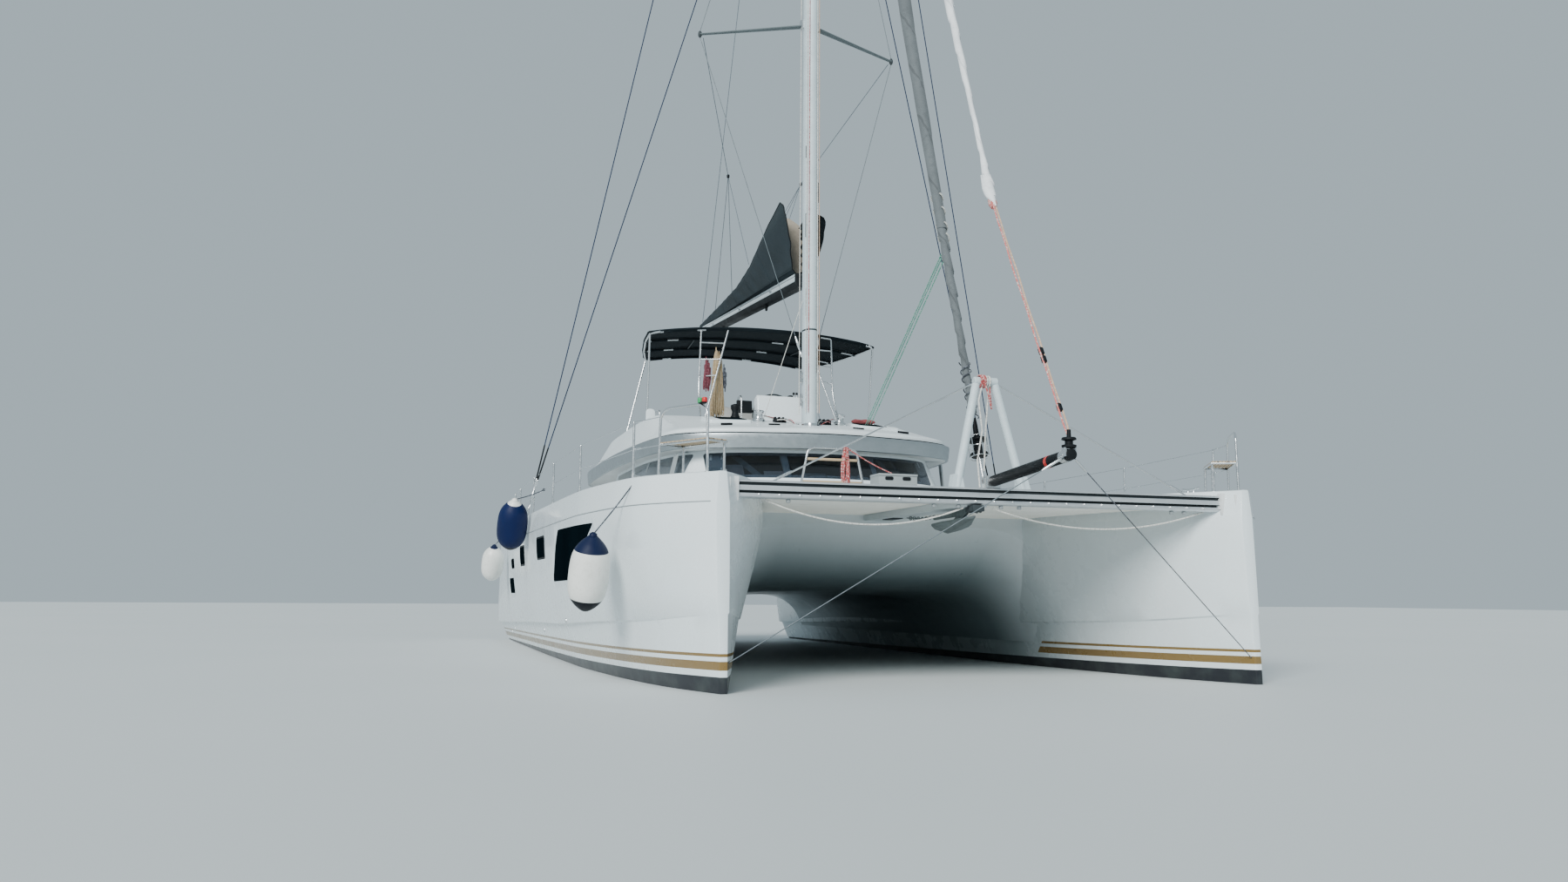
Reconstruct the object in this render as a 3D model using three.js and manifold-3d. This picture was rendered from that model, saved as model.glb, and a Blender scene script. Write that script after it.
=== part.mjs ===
// Cruising sailing catamaran with a flybridge, afloat, sails furled.
// Millimetres. +X is forward, +Y is to port and +Z is up. The origin is amidships at the waterline.

import * as THREE from 'three';
import { mergeVertices } from 'three/addons/utils/BufferGeometryUtils.js';
import Module from 'manifold-3d';

const wasm = await Module();
wasm.setup();

// Driving sizes
const seat = 0.3;                // gap left where two pieces touch
const halfLength = 6900;         // waterline length is twice this
const hullCentre = 2790;         // each hull's centreline, off the boat's
const sheerZ = 1975;             // deck edge
const jointZ = 1700;             // hull to deck moulding line
const stemRake = 0.063;          // metres aft for each metre up at the stem
const soleZ = 1060;              // saloon and cockpit floor
const tunnelZ = 900;             // underside of the bridgedeck
const roofZ = 2800;              // underside of the roof
const fasciaTopZ = 3000;
const mouldingZ = 3020;          // where the flybridge moulding starts
const coamingZ = 3500;
const mastX = 960;
const mastFootZ = 3220;
const mastTopZ = 20600;
const boomPivotX = 720;
const sides = [['starboard', -1], ['port', 1]];

// Finishes
const finish = (color, roughness, metalness = 0) =>
  new THREE.MeshStandardMaterial({ color, roughness, metalness });
const gelcoat = () => finish(0xe9edf0, 0.3);
const darkGlass = () => finish(0x1b2126, 0.1);
const satinSilver = () => finish(0x9da3a8, 0.4, 0.6);
const alloy = () => finish(0xc4c9cc, 0.4, 0.8);
const stainless = () => finish(0xcfd3d6, 0.2, 1);
const charcoalCloth = () => finish(0x3a4044, 0.9);
const blackPaint = () => finish(0x17181a, 0.5);

// Closed geometry to solid and back
function toSolid(geometry) {
  const bare = geometry.clone();
  bare.deleteAttribute('normal');
  bare.deleteAttribute('uv');
  const merged = mergeVertices(bare, 1e-3);
  const index = merged.index.array;
  const triVerts = [];
  for (let i = 0; i < index.length; i += 3) {
    const [a, b, c] = [index[i], index[i + 1], index[i + 2]];
    if (a !== b && b !== c && a !== c) triVerts.push(a, b, c);
  }
  const vertProperties = new Float32Array(merged.attributes.position.array);
  return new wasm.Manifold(new wasm.Mesh({ numProp: 3, vertProperties, triVerts: new Uint32Array(triVerts) }));
}

function toGeometry(solid) {
  const mesh = solid.getMesh();
  const geometry = new THREE.BufferGeometry();
  geometry.setAttribute('position', new THREE.BufferAttribute(new Float32Array(mesh.vertProperties), 3));
  geometry.setIndex(new THREE.BufferAttribute(new Uint32Array(mesh.triVerts), 1));
  geometry.computeVertexNormals();
  return geometry;
}

const join = (...solids) => solids.reduce((whole, next) => whole.add(next));
const cut = (solid, ...tools) => tools.reduce((left, tool) => left.subtract(tool), solid);

// A closed body through rings of [x, y, z] points, all with the same count
function loft(rings) {
  const count = rings[0].length;
  const faces = [];
  for (let r = 0; r + 1 < rings.length; r++) {
    for (let i = 0; i < count; i++) {
      const a = r * count + i;
      const b = r * count + (i + 1) % count;
      faces.push([a, b, b + count], [a, b + count, a + count]);
    }
  }
  const cap = (ring, offset, forward) => {
    const flat = flatten(ring);
    const turn = Math.sign(THREE.ShapeUtils.area(flat));
    for (const [a, b, c] of THREE.ShapeUtils.triangulateShape(flat, [])) {
      const same = Math.sign(THREE.ShapeUtils.area([flat[a], flat[b], flat[c]])) === turn;
      const face = same === forward ? [a, b, c] : [a, c, b];
      faces.push(face.map((k) => k + offset));
    }
  };
  cap(rings[0], 0, false);
  cap(rings.at(-1), (rings.length - 1) * count, true);
  const points = rings.flat().map((p) => new THREE.Vector3(...p));
  let volume = 0;
  for (const [a, b, c] of faces) volume += points[a].dot(points[b].clone().cross(points[c]));
  const geometry = new THREE.BufferGeometry().setFromPoints(points);
  geometry.setIndex(faces.flatMap(([a, b, c]) => (volume > 0 ? [a, b, c] : [a, c, b])));
  return toSolid(geometry);
}

// A ring's points in its own plane, for the cap
function flatten(ring) {
  const points = ring.map((p) => new THREE.Vector3(...p));
  const normal = new THREE.Vector3();
  points.forEach((p, i) => normal.add(p.clone().cross(points[(i + 1) % points.length])));
  normal.normalize();
  const helper = Math.abs(normal.x) > 0.8 ? new THREE.Vector3(0, 1, 0) : new THREE.Vector3(1, 0, 0);
  const u = helper.cross(normal).normalize();
  const v = normal.clone().cross(u);
  return points.map((p) => new THREE.Vector2(p.dot(u), p.dot(v)));
}

function box(x0, x1, y0, y1, z0, z1) {
  const geometry = new THREE.BoxGeometry(Math.abs(x1 - x0), Math.abs(y1 - y0), Math.abs(z1 - z0));
  return toSolid(geometry.translate((x0 + x1) / 2, (y0 + y1) / 2, (z0 + z1) / 2));
}

// A prism: the outline's pairs fill the two axes other than the one that it is drawn out along
function prism(outline, axis, from, to) {
  const place = { x: (a, b, t) => [t, a, b], y: (a, b, t) => [a, t, b], z: (a, b, t) => [a, b, t] }[axis];
  return loft([from, to].map((t) => outline.map(([a, b]) => place(a, b, t))));
}

// A round bar through points, mitred at each bend, with one radius or one for each point
function bar(points, radius, count = 8) {
  const radii = Array.isArray(radius) ? radius : points.map(() => radius);
  const path = points.map((p) => new THREE.Vector3(...p));
  const way = path.slice(1).map((p, i) => p.clone().sub(path[i]).normalize());
  const helper = Math.abs(way[0].z) > 0.9 ? new THREE.Vector3(1, 0, 0) : new THREE.Vector3(0, 0, 1);
  let u = helper.cross(way[0]).normalize();
  const rings = path.map((centre, i) => {
    const before = way[Math.max(0, i - 1)];
    const after = way[Math.min(way.length - 1, i)];
    const plane = before.clone().add(after).normalize();
    u = u.sub(before.clone().multiplyScalar(u.dot(before))).normalize();
    const v = before.clone().cross(u);
    return Array.from({ length: count }, (_, k) => {
      const angle = ((k + 0.5) * 2 * Math.PI) / count;
      const offset = u.clone().multiplyScalar(radii[i] * Math.cos(angle));
      offset.add(v.clone().multiplyScalar(radii[i] * Math.sin(angle)));
      offset.sub(before.clone().multiplyScalar(offset.dot(plane) / before.dot(plane)));
      return offset.add(centre).toArray();
    });
  });
  return loft(rings);
}

// A turned body on the Z axis from [radius, z] pairs that start and end on the axis
function turned(profile, count = 16) {
  const geometry = new THREE.LatheGeometry(profile.map(([r, z]) => new THREE.Vector2(r, z)), count);
  return toSolid(geometry.rotateX(Math.PI / 2));
}

const ellipse = (x, y, z, rx, ry, count) => Array.from({ length: count }, (_, k) => {
  const angle = ((k + 0.5) * 2 * Math.PI) / count;
  return [x + rx * Math.cos(angle), y + ry * Math.sin(angle), z];
});

// Mirrors a half outline of [x, y] pairs, given from bow to stern on port, into a closed one
const bothSides = (half) => [...half, ...half.filter(([, y]) => y > 0).reverse().map(([x, y]) => [x, -y])];

// Moves a closed outline inward by a distance, each edge parallel to itself
function inset(outline, distance) {
  const points = outline.map(([x, y]) => new THREE.Vector2(x, y));
  const turn = Math.sign(THREE.ShapeUtils.area(points));
  return points.map((p, i) => {
    const before = p.clone().sub(points.at(i - 1)).normalize();
    const after = points[(i + 1) % points.length].clone().sub(p).normalize();
    const normal = new THREE.Vector2(-before.y - after.y, before.x + after.x).normalize();
    const spread = Math.max(0.5, normal.x * -before.y + normal.y * before.x);
    return [p.x + (turn * distance * normal.x) / spread, p.y + (turn * distance * normal.y) / spread];
  });
}

const atHeight = (outline, z) => outline.map(([x, y]) => [x, y, z]);

const boat = new THREE.Group();

function add(name, solid, material, parent = boat) {
  const mesh = new THREE.Mesh(toGeometry(solid), material);
  mesh.name = name;
  parent.add(mesh);
  return mesh;
}

// Hulls. Half-breadths are off the hull's own centreline, outboard and inboard.
const stations = [
  // x, keelZ, water, kneeZ, low, high, jointOut, deckOut, jointIn, deckIn
  [6900, -380, 30, 690, 40, 52, 62, 36, 62, 36],
  [6600, -460, 120, 670, 185, 200, 300, 262, 262, 222],
  [5900, -530, 300, 620, 405, 425, 665, 630, 610, 565],
  [5000, -600, 430, 580, 565, 590, 835, 800, 900, 860],
  [4000, -660, 520, 550, 670, 705, 930, 900, 1060, 1030],
  [2200, -720, 600, 490, 740, 795, 960, 935, 1040, 1040],
  [-500, -720, 605, 450, 755, 825, 980, 960, 1000, 1000],
  [-3000, -620, 585, 400, 745, 815, 955, 935, 970, 970],
  [-5200, -420, 565, 350, 720, 785, 890, 870, 930, 930],
  [-6900, -150, 540, 320, 690, 755, 790, 770, 880, 880],
].map(([x, keelZ, water, kneeZ, low, high, jointOut, deckOut, jointIn, deckIn]) =>
  ({ x, keelZ, water, kneeZ, low, high, jointOut, deckOut, jointIn, deckIn }));
const rakedLength = 1000;        // how far aft of the stem its rake reaches
const kneeStep = 18;

// One hull's body in the boat's frame, grown outward by a distance
function hullForm(side, grow = 0) {
  return loft(stations.map((s, i) => {
    const end = i === 0 ? grow : i === stations.length - 1 ? -grow : 0;
    const lean = Math.max(0, (s.x - halfLength + rakedLength) / rakedLength) * stemRake;
    const half = [
      [s.water * 0.72, s.keelZ * 0.62], [s.water, 0], [s.low, s.kneeZ], [s.high, s.kneeZ + kneeStep],
    ];
    const outboard = [...half, [s.jointOut, jointZ], [s.deckOut, sheerZ + grow]];
    const inboard = [...half, [s.jointIn, jointZ], [s.deckIn, sheerZ + grow]];
    const section = [
      [0, s.keelZ - grow],
      ...outboard.map(([y, z]) => [y + grow, z]),
      ...inboard.reverse().map(([y, z]) => [-y - grow, z]),
    ];
    return section.map(([y, z]) => [s.x + end - lean * z, side * (hullCentre + y), z]);
  }));
}

// A half-breadth at any x, read off the stations
function breadthAt(x, column) {
  const i = Math.max(1, stations.findIndex((s) => s.x <= x));
  const [fore, aft] = [stations[i - 1], stations[i]];
  return aft[column] + ((fore[column] - aft[column]) * (x - aft.x)) / (fore.x - aft.x);
}

const hullFull = sides.map(([, side]) => hullForm(side));
const hullSeats = sides.map(([, side]) => hullForm(side, seat));
const clearOfHulls = (solid) => cut(solid, ...hullSeats);

// Stern steps: each floor from its front edge to the transom
const landing = { front: -4450, z: 1120 };
const sternFloors = [[landing.front, landing.z], [-5600, 750], [-6150, 380]];
const wellHalf = 700;
const passage = { front: -4450, back: -4950, inner: 1600 };
const bulwark = { front: -5200, backZ: 620 };

// Engine pits under a lid in the landing
const lid = { front: -4600, back: -5420, half: 380, thickness: 40, gap: 5 };
const pit = { front: -4660, back: -5360, half: 320, floorZ: -120 };
const engineBlock = { front: -4740, back: -5340, half: 230, topZ: 560 };

const rudder = { stockX: -6250, stockRadius: 25, boreRadius: 25.8, boreTopZ: 150, topZ: -330, footZ: -1250 };

// The large window let into each hull's outboard side: [x, z]
const hullWindow = [[4800, 1590], [3700, 1020], [2100, 1010], [2750, 1610]];
const paneDepth = 12;
const skinInside = sides.map(([, side]) => hullForm(side, -paneDepth));

sides.forEach(([name, side], i) => {
  const centre = side * hullCentre;
  const across = (half) => [centre - half, centre + half];
  const well = sternFloors.map(([front, z]) => box(front, -7100, ...across(wellHalf), z, 2500));
  const passageCut = box(
    passage.front, passage.back, side * passage.inner, centre, landing.z, 2500);
  const slope = prism(
    [[bulwark.front, sheerZ + 1], [bulwark.front, 2500], [-7100, 2500], [-7100, bulwark.backZ]],
    'y', centre - 1200, centre + 1200);
  const lidSeat = box(
    lid.front + 1, lid.back - lid.gap, ...across(lid.half + lid.gap), landing.z - lid.thickness, 2500);
  const pitCut = box(pit.front, pit.back, ...across(pit.half), pit.floorZ, 2500);
  const bore = bar(
    [[rudder.stockX, centre, -900], [rudder.stockX, centre, rudder.boreTopZ]], rudder.boreRadius, 16);
  const windowCut = prism(hullWindow, 'y', side * (hullCentre + 400), side * 4200);
  const windowRecess = cut(windowCut, skinInside[i]);
  const hull = cut(hullFull[i], ...well, passageCut, slope, lidSeat, pitCut, bore, windowRecess);
  add(`hull_${name}`, hull, gelcoat());

  const pane = prism(inset(hullWindow, 1), 'y', side * (hullCentre + 400), side * 4200)
    .intersect(hullForm(side, -2));
  add(`hull_window_${name}`, cut(pane, hullForm(side, -paneDepth + seat)), darkGlass());

  // Stub keel with a flat sole
  const keelSections = [
    // z, foreX, aftX, half thickness
    [-300, 1000, -1750, 150],
    [-1100, 820, -1600, 130],
    [-1450, 700, -1500, 100],
  ];
  const foil = [[1, 0], [0.85, 0.7], [0.55, 1], [0.2, 0.75], [0, 0.1]];
  const keel = loft(keelSections.map(([z, fore, aft, half]) => bothSides(foil).map(([along, wide]) =>
    [aft + (fore - aft) * along, centre + wide * half, z])));
  add(`keel_${name}`, clearOfHulls(keel), blackPaint());

  // Saildrive leg: strut and pod
  const shaftZ = -850;
  const strut = loft([[-200, 130], [shaftZ, 105]].map(([z, half]) =>
    ellipse(-5150, centre, z, half, half * 0.4, 12)));
  const pod = turned([[0, 0], [45, 8], [62, 90], [66, 250], [52, 420], [0, 420]], 16)
    .rotate([0, -90, 0]).translate([-5000, centre, shaftZ]);
  add(`saildrive_${name}`, clearOfHulls(join(strut, pod)), satinSilver());

  const engine = box(
    engineBlock.front, engineBlock.back, ...across(engineBlock.half), pit.floorZ + seat, engineBlock.topZ);
  add(`engine_${name}`, engine, satinSilver());

  // Engine hatch lid, hinged at its front edge
  const lidSolid = box(
    lid.front, lid.back, ...across(lid.half), landing.z - lid.thickness + seat, landing.z);
  add(`engine_hatch_${name}`, lidSolid, gelcoat());

  // Propeller: hub and three blades
  const hubX = -5420.5;
  const hub = turned([[0, 0], [50, 0], [48, 60], [30, 120], [0, 130]], 16).rotate([0, -90, 0]);
  const blade = prism([[30, -22], [120, -62], [200, -50], [228, 0], [200, 50], [120, 62], [30, 22]], 'y', -5, 5)
    .rotate([0, -90, 0]).rotate([0, 0, 35]).translate([-60, 0, 0]);
  const blades = [0, 120, 240].map((turn) => blade.rotate([turn, 0, 0]));
  add(`propeller_${name}`, join(hub, ...blades).translate([hubX, centre, shaftZ]), finish(0xa88a4a, 0.35, 1));

  // Rudder: stock and balanced blade
  const rudderSections = [
    // z, foreX, aftX, half thickness
    [rudder.topZ, -5980, -6600, 42],
    [rudder.footZ, -6060, -6480, 26],
  ];
  const rudderBlade = loft(rudderSections.map(([z, fore, aft, half]) => bothSides(foil).map(([along, wide]) =>
    [aft + (fore - aft) * along, centre + wide * half, z])));
  const stock = bar(
    [[rudder.stockX, centre, rudder.topZ - 300], [rudder.stockX, centre, rudder.boreTopZ - 6]],
    rudder.stockRadius, 16);
  add(`rudder_${name}`, join(rudderBlade, stock), blackPaint());
});

// Bridgedeck: a block between the hulls with the tunnel cut from below and the wells from above,
// parted into its middle, the side decks and the aft end with its bench. On the foredeck stand the windlass,
// a rope rail and a locker.
const bridge = { front: 3950, back: -5500, slabHalf: 1150, aftFront: -4450 };
const tunnel = [
  // x, roof height
  [4300, 2100], [3951, 1700], [3700, 1350], [3300, 1110], [2700, 960], [1500, 880], [-1500, tunnelZ],
  [-5800, tunnelZ],
];
const tunnelArch = [
  // y, drop below the roof of the tunnel
  [1150, 0], [1480, 45], [1720, 150], [1900, 310], [2020, 520],
];
const tunnelCut = loft(tunnel.map(([x, roof]) => bothSides([
  [-1200, 2700], ...[...tunnelArch].reverse().map(([y, drop]) => [roof - drop, y]),
]).map(([z, y]) => [x, y, z])));
const wellInner = 1700;
const saloonFront = 2150;
const benchZ = 1500;
const bridgeBlock = box(bridge.front, bridge.back, -2300, 2300, 300, sheerZ);
const bridgeWells = [
  box(saloonFront, -4950, -wellInner, wellInner, soleZ, 2500),
  box(-4900, -5350, -wellInner, wellInner, benchZ, 2500),
  ...sides.map(([, side]) => box(passage.front, passage.back, side * passage.inner, side * 2400, landing.z, 2500)),
];
const bridgeWhole = clearOfHulls(cut(bridgeBlock, tunnelCut, ...bridgeWells));
const bridgePart = (front, back, y0, y1) => bridgeWhole.intersect(box(front, back, y0, y1, 0, 2500));
const windlass = turned([[0, -20], [100, -20], [100, 55], [60, 80], [55, 120], [75, 150], [0, 160]], 16)
  .translate([3780, -180, sheerZ]);
const ropeRail = bar([
  [3420, -980, sheerZ - 10], [3420, -850, 2600], [3420, -790, 2640], [3420, -280, 2640], [3420, -220, 2600],
  [3420, -90, sheerZ - 10]], 13, 8);
const foreLocker = box(3260, 3560, 20, 520, sheerZ - 10, 2340);
add('bridgedeck', join(
  bridgePart(bridge.front + 1, bridge.aftFront, -bridge.slabHalf, bridge.slabHalf),
  windlass, ropeRail, box(3400, 3440, -920, -150, 2210, 2240), foreLocker), gelcoat());
add('cockpit_bench', bridgePart(bridge.aftFront - seat, bridge.back - 1, -bridge.slabHalf, bridge.slabHalf), gelcoat());
sides.forEach(([name, side]) => {
  const inner = side * (bridge.slabHalf + seat);
  add(`side_deck_${name}`, bridgePart(bridge.front + 1, bridge.aftFront, inner, side * 2400), gelcoat());
  add(`cockpit_side_${name}`, bridgePart(bridge.aftFront - seat, bridge.back - 1, inner, side * 2010), gelcoat());
});

// Deckhouse walls lean inward from the deck to the roof
const wallFoot = bothSides([
  [2400, 0], [2280, 800], [2040, 1420], [1660, 1820], [1180, 2040], [600, 2130], [-200, 2200], [-2600, 2220]]);
const wallHead = bothSides([
  [1760, 0], [1660, 720], [1460, 1300], [1180, 1660], [820, 1860], [400, 1960], [-300, 2080], [-2600, 2100]]);
const wallThickness = 70;
const deckhouse = (shrink) => loft([
  atHeight(inset(wallFoot, shrink), sheerZ + seat),
  atHeight(inset(wallHead, shrink), roofZ - seat),
]);
const glassDepth = 12;
const frontBand = [1330, 2700, -1620, 1620, 2400, 2760];
const sideBand = (side) => [-2420, 1150, side * 1680, side * 2400, 2150, 2760];
const shrunkBox = ([x0, x1, y0, y1, z0, z1], by) => {
  const ends = (a, b) => (a < b ? [a + by, b - by] : [a - by, b + by]);
  return box(...ends(x0, x1), ...ends(y0, y1), ...ends(z0, z1));
};
const glassSkin = cut(deckhouse(0), deckhouse(glassDepth));
const paneBack = cut(deckhouse(-50), deckhouse(glassDepth + seat));
const innerBay = [
  ...[[-580, 580], [660, 1400], [-1400, -660]].map(([y0, y1]) => box(1300, 2800, y0, y1, 2440, 2720)),
  ...sides.flatMap(([, side]) => [[-2300, -480], [-330, 900]].map(([x0, x1]) =>
    box(x0, x1, side * 1700, side * 2400, 2200, 2720))),
];
const aftOpening = box(-2500, -2700, -2045, 2045, 1900, 2900);
const walls = cut(
  deckhouse(0), loft([
    atHeight(inset(wallFoot, wallThickness), sheerZ), atHeight(inset(wallHead, wallThickness), roofZ)]),
  box(...frontBand).intersect(paneBack), ...sides.map(([, side]) => box(...sideBand(side)).intersect(paneBack)),
  ...innerBay, aftOpening);
add('cabin_walls', walls, gelcoat());
add('front_glazing', glassSkin.intersect(shrunkBox(frontBand, seat)), darkGlass());
sides.forEach(([name, side]) => {
  add(`side_glazing_${name}`, glassSkin.intersect(shrunkBox(sideBand(side), seat)), darkGlass());
});

// Aft bulkhead with its doorway, a fixed light and the door's sill rail
const bulkhead = { front: -2540, back: -2600 };
const doorway = { y0: 50, y1: 950, topZ: 2620 };
const bulkheadOutline = [
  [-wellInner + seat, soleZ + seat], [wellInner - seat, soleZ + seat], [wellInner - seat, sheerZ + seat],
  [2040, sheerZ + seat], [2010, roofZ - seat], [-2010, roofZ - seat], [-2040, sheerZ + seat],
  [-wellInner + seat, sheerZ + seat],
];
const sillTopZ = soleZ + 25;
const bulkheadSolid = join(
  cut(
    prism(bulkheadOutline, 'x', bulkhead.front, bulkhead.back),
    box(bulkhead.front + 10, bulkhead.back - 10, doorway.y0, doorway.y1, sillTopZ, doorway.topZ),
    box(bulkhead.front + 10, bulkhead.back - 10, -900, -60, 1500, doorway.topZ)),
  box(bulkhead.back + 1, bulkhead.back - 60, -980, 1030, soleZ + seat, sillTopZ));
add('aft_bulkhead', bulkheadSolid, gelcoat());

// Sliding door: frame and pane
const door = { front: -2606, back: -2650, y0: 0, y1: 1000, z0: sillTopZ + 0.5, z1: 2680, rail: 80 };
const paneBox = [
  door.front - 12, door.back + 12, door.y0 + door.rail, door.y1 - door.rail, door.z0 + door.rail,
  door.z1 - door.rail];
add('saloon_door', cut(
  box(door.front, door.back, door.y0, door.y1, door.z0, door.z1), shrunkBox(paneBox, -seat),
  box(door.front + 9, door.back - 9, door.y0 + 100, door.y1 - 100, door.z0 + 100, door.z1 - 100)), alloy());
add('saloon_door_glass', shrunkBox(paneBox, 0), darkGlass());

// Saloon furniture, with the table's foot plate fixed to the port settee
add('saloon_furniture', join(
  box(-2200, 1500, -wellInner + seat, -1080, soleZ + seat, 1900),
  box(1200, saloonFront - seat, -wellInner + seat, wellInner - seat, soleZ + seat, 1480),
  box(-700, 1500, 950, wellInner - seat, soleZ + seat, 1480),
  box(-700, 1500, 1560, wellInner - seat, 1400, 1880),
  box(250, 450, 150, 960, soleZ + seat, soleZ + 40),
  bar([[350, 250, soleZ + 30], [350, 250, 1740]], 60, 12),
  box(-150, 850, -150, 700, 1720, 1760)), finish(0xa5876a, 0.6));

// Roof slab, its silver fascia and the two posts that carry its aft end
const roofOutline = bothSides([
  [2000, 0], [1880, 800], [1620, 1600], [1260, 2030], [600, 2210], [-1000, 2345], [-2800, 2360], [-4700, 2270],
  [-5200, 2130], [-5600, 1800]]);
const fasciaThickness = 60;
const ceilingZ = 2920;
const stairHole = box(-3450, -4450, 950, 1650, 2700, 3600);
const roofSlab = cut(
  loft([
    atHeight(inset(roofOutline, fasciaThickness + seat), roofZ),
    atHeight(inset(roofOutline, fasciaThickness + seat), mouldingZ - seat)]),
  box(1050, -5330, -1800, 1800, 2600, ceilingZ), stairHole);
add('coachroof', roofSlab, gelcoat());
add('roof_fascia', cut(
  loft([atHeight(inset(roofOutline, 25), roofZ), atHeight(roofOutline, fasciaTopZ)]),
  loft([
    atHeight(inset(roofOutline, fasciaThickness), roofZ - 10),
    atHeight(inset(roofOutline, fasciaThickness), fasciaTopZ + 10)])), satinSilver());
sides.forEach(([name, side]) => {
  const post = bar([[-5425, side * 1600, sheerZ + seat], [-5425, side * 1600, roofZ - seat]], 38, 12);
  add(`roof_post_${name}`, post, alloy());
});

// Flybridge moulding: rises from the roof's edge to the coaming round the upper cockpit
const coamingHead = bothSides([
  [-260, 0], [-280, 700], [-320, 1300], [-370, 1740], [-430, 1900], [-1000, 1985], [-2600, 2000], [-4200, 1930],
  [-4330, 1850], [-4400, 1700]]);
const moulding = (grow) => loft([
  atHeight(inset(roofOutline, 75 - grow), mouldingZ),
  atHeight(inset(roofOutline, 150 - grow), 3100),
  atHeight(inset(coamingHead, -grow), coamingZ + grow / 2)]);
const flySoleZ = 3080;
const flyWell = box(-780, -4250, -1700, 1700, flySoleZ, 3700);
const centreNotch = box(200, -800, -820, 820, 3290, 3700);
const mastStep = box(mastX - 230, mastX + 230, -190, 190, 3060, mastFootZ);
const aftDeck = box(-4400, -6100, -2300, 2300, 3160, 3700);
const roofWinch = turned([[0, -60], [95, -60], [95, 25], [60, 45], [55, 80], [78, 140], [60, 160], [0, 160]], 16);
const roofSlope = (x, y) => {
  const edge = 1850 - 100 * (Math.abs(y) / 1000) ** 2.2;
  return 3100 + (coamingZ - 3100) * (edge - x) / (edge + 260);
};
const roofHatch = (side) => loft([-60, 26].map((rise) => [
  [300, 820], [860, 820], [860, 1420], [300, 1420]].map(([x, y]) => [x, side * y, roofSlope(x, y) + rise])));
const flybridge = cut(
  join(moulding(0), mastStep, ...sides.flatMap(([, side]) => [
    roofWinch.translate([520, side * 620, roofSlope(520, 620)]), roofHatch(side)])),
  flyWell, centreNotch, aftDeck, stairHole, box(-4200, -4500, 900, 1700, flySoleZ, 3700),
  box(mastX - 229, mastX + 229, -189, 189, mastFootZ, 3700));
add('flybridge', flybridge, gelcoat());
const flybridgeSeat = moulding(2 * seat);

// Stairs from the cockpit to the flybridge
const stairSteps = Array.from({ length: 7 }, (_, k) => {
  const [x, z] = [-4680 + k * 170, soleZ + 250 * (k + 1)];
  return box(x - 110, x + 110, 1060, 1540, z - 30, z);
});
const stringer = (y) => prism(
  [[-4860, soleZ + seat], [-4660, soleZ + seat], [-3480, 2900], [-3480, flySoleZ - 20], [-3600, flySoleZ - 20]],
  'y', y, y + 25);
add('flybridge_stairs', join(stringer(1050), stringer(1525), ...stairSteps), gelcoat());

// Helm: console, seat and wheel
const helm = { front: -860, back: -1180, y0: -220, y1: 560, topZ: 3980 };
const wheelCentre = [-1330, 170, 3700];
add('helm_console', join(
  prism(
    [[helm.front, flySoleZ + seat], [helm.front - 60, helm.topZ - 40], [helm.front - 110, helm.topZ],
      [helm.back + 60, helm.topZ - 60], [helm.back, 3600], [helm.back, flySoleZ + seat]],
    'y', helm.y0, helm.y1),
  bar([[helm.back + 60, 170, 3700], [-1260, 170, 3700]], 35, 12)), gelcoat());
const wheelRadius = 350;
const rim = toSolid(new THREE.TorusGeometry(wheelRadius, 14, 8, 36)).rotate([0, 90, 0]);
const spokes = [0, 72, 144, 216, 288].map((turn) => bar([[0, 0, 0], [0, 0, wheelRadius]], 9, 6)
  .rotate([turn, 0, 0]));
const wheelHub = turned([[0, -40], [45, -40], [45, 30], [0, 30]], 16).rotate([0, -90, 0]);
add('helm_wheel', join(rim, wheelHub, ...spokes).translate([wheelCentre[0] + 29.5, ...wheelCentre.slice(1)]), stainless());
add('flybridge_seat', join(
  box(-1950, -2450, -420, 760, flySoleZ + seat, 3520),
  box(-2350, -2450, -420, 760, 3400, 3980)), finish(0xd8d8d2, 0.8));

// Forward crossbeam with the anchor beam, and the striker frame on it with its stays out along the beam
const beam = { x: 6555, half: 60, bottomZ: 1750, topZ: 1920 };
const anchorBeam = { y: -180, half: 155, bottomZ: 1735, topZ: 1830 };
const beamSection = [[-0.6, 0], [0.6, 0], [1, 0.25], [1, 0.75], [0.6, 1], [-0.6, 1], [-1, 0.75], [-1, 0.25]]
  .map(([a, b]) => [beam.x + a * beam.half, beam.bottomZ + b * (beam.topZ - beam.bottomZ)]);
const strikerTop = [6450, 90, 3000];
const strikerPoint = (side, y = strikerTop[1]) => [strikerTop[0], side * y, strikerTop[2]];
add('crossbeam', join(
  clearOfHulls(prism(beamSection, 'y', -2780, 2780)),
  box(bridge.front + seat, beam.x, anchorBeam.y - anchorBeam.half, anchorBeam.y + anchorBeam.half,
    anchorBeam.bottomZ, anchorBeam.topZ),
  bar([strikerPoint(-1, 130), strikerPoint(1, 130)], 45, 10),
  ...sides.flatMap(([, side]) => [
    bar([[6520, side * 362, beam.topZ - 40], strikerPoint(side)], 45, 10),
    bar([strikerPoint(side), [beam.x - 20, side * 2250, beam.topZ - 20]], 9, 6)])), alloy());

// Bowsprit with its stays to the bows
const beamTopSeat = beam.topZ + seat;
const pole = { back: [6500, 0, 1980], tip: [8090, 0, 2100], radius: 55 };
const poleSolid = cut(bar([pole.back, pole.tip], pole.radius, 12), box(6300, 6700, -300, 300, 1700, beamTopSeat));
const whiskers = sides.map(([, side]) => bar([[8040, side * 30, 2090], [6820, side * 2790, 230]], 6, 6));
add('bowsprit', join(poleSolid, clearOfHulls(join(...whiskers))), blackPaint());

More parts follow.
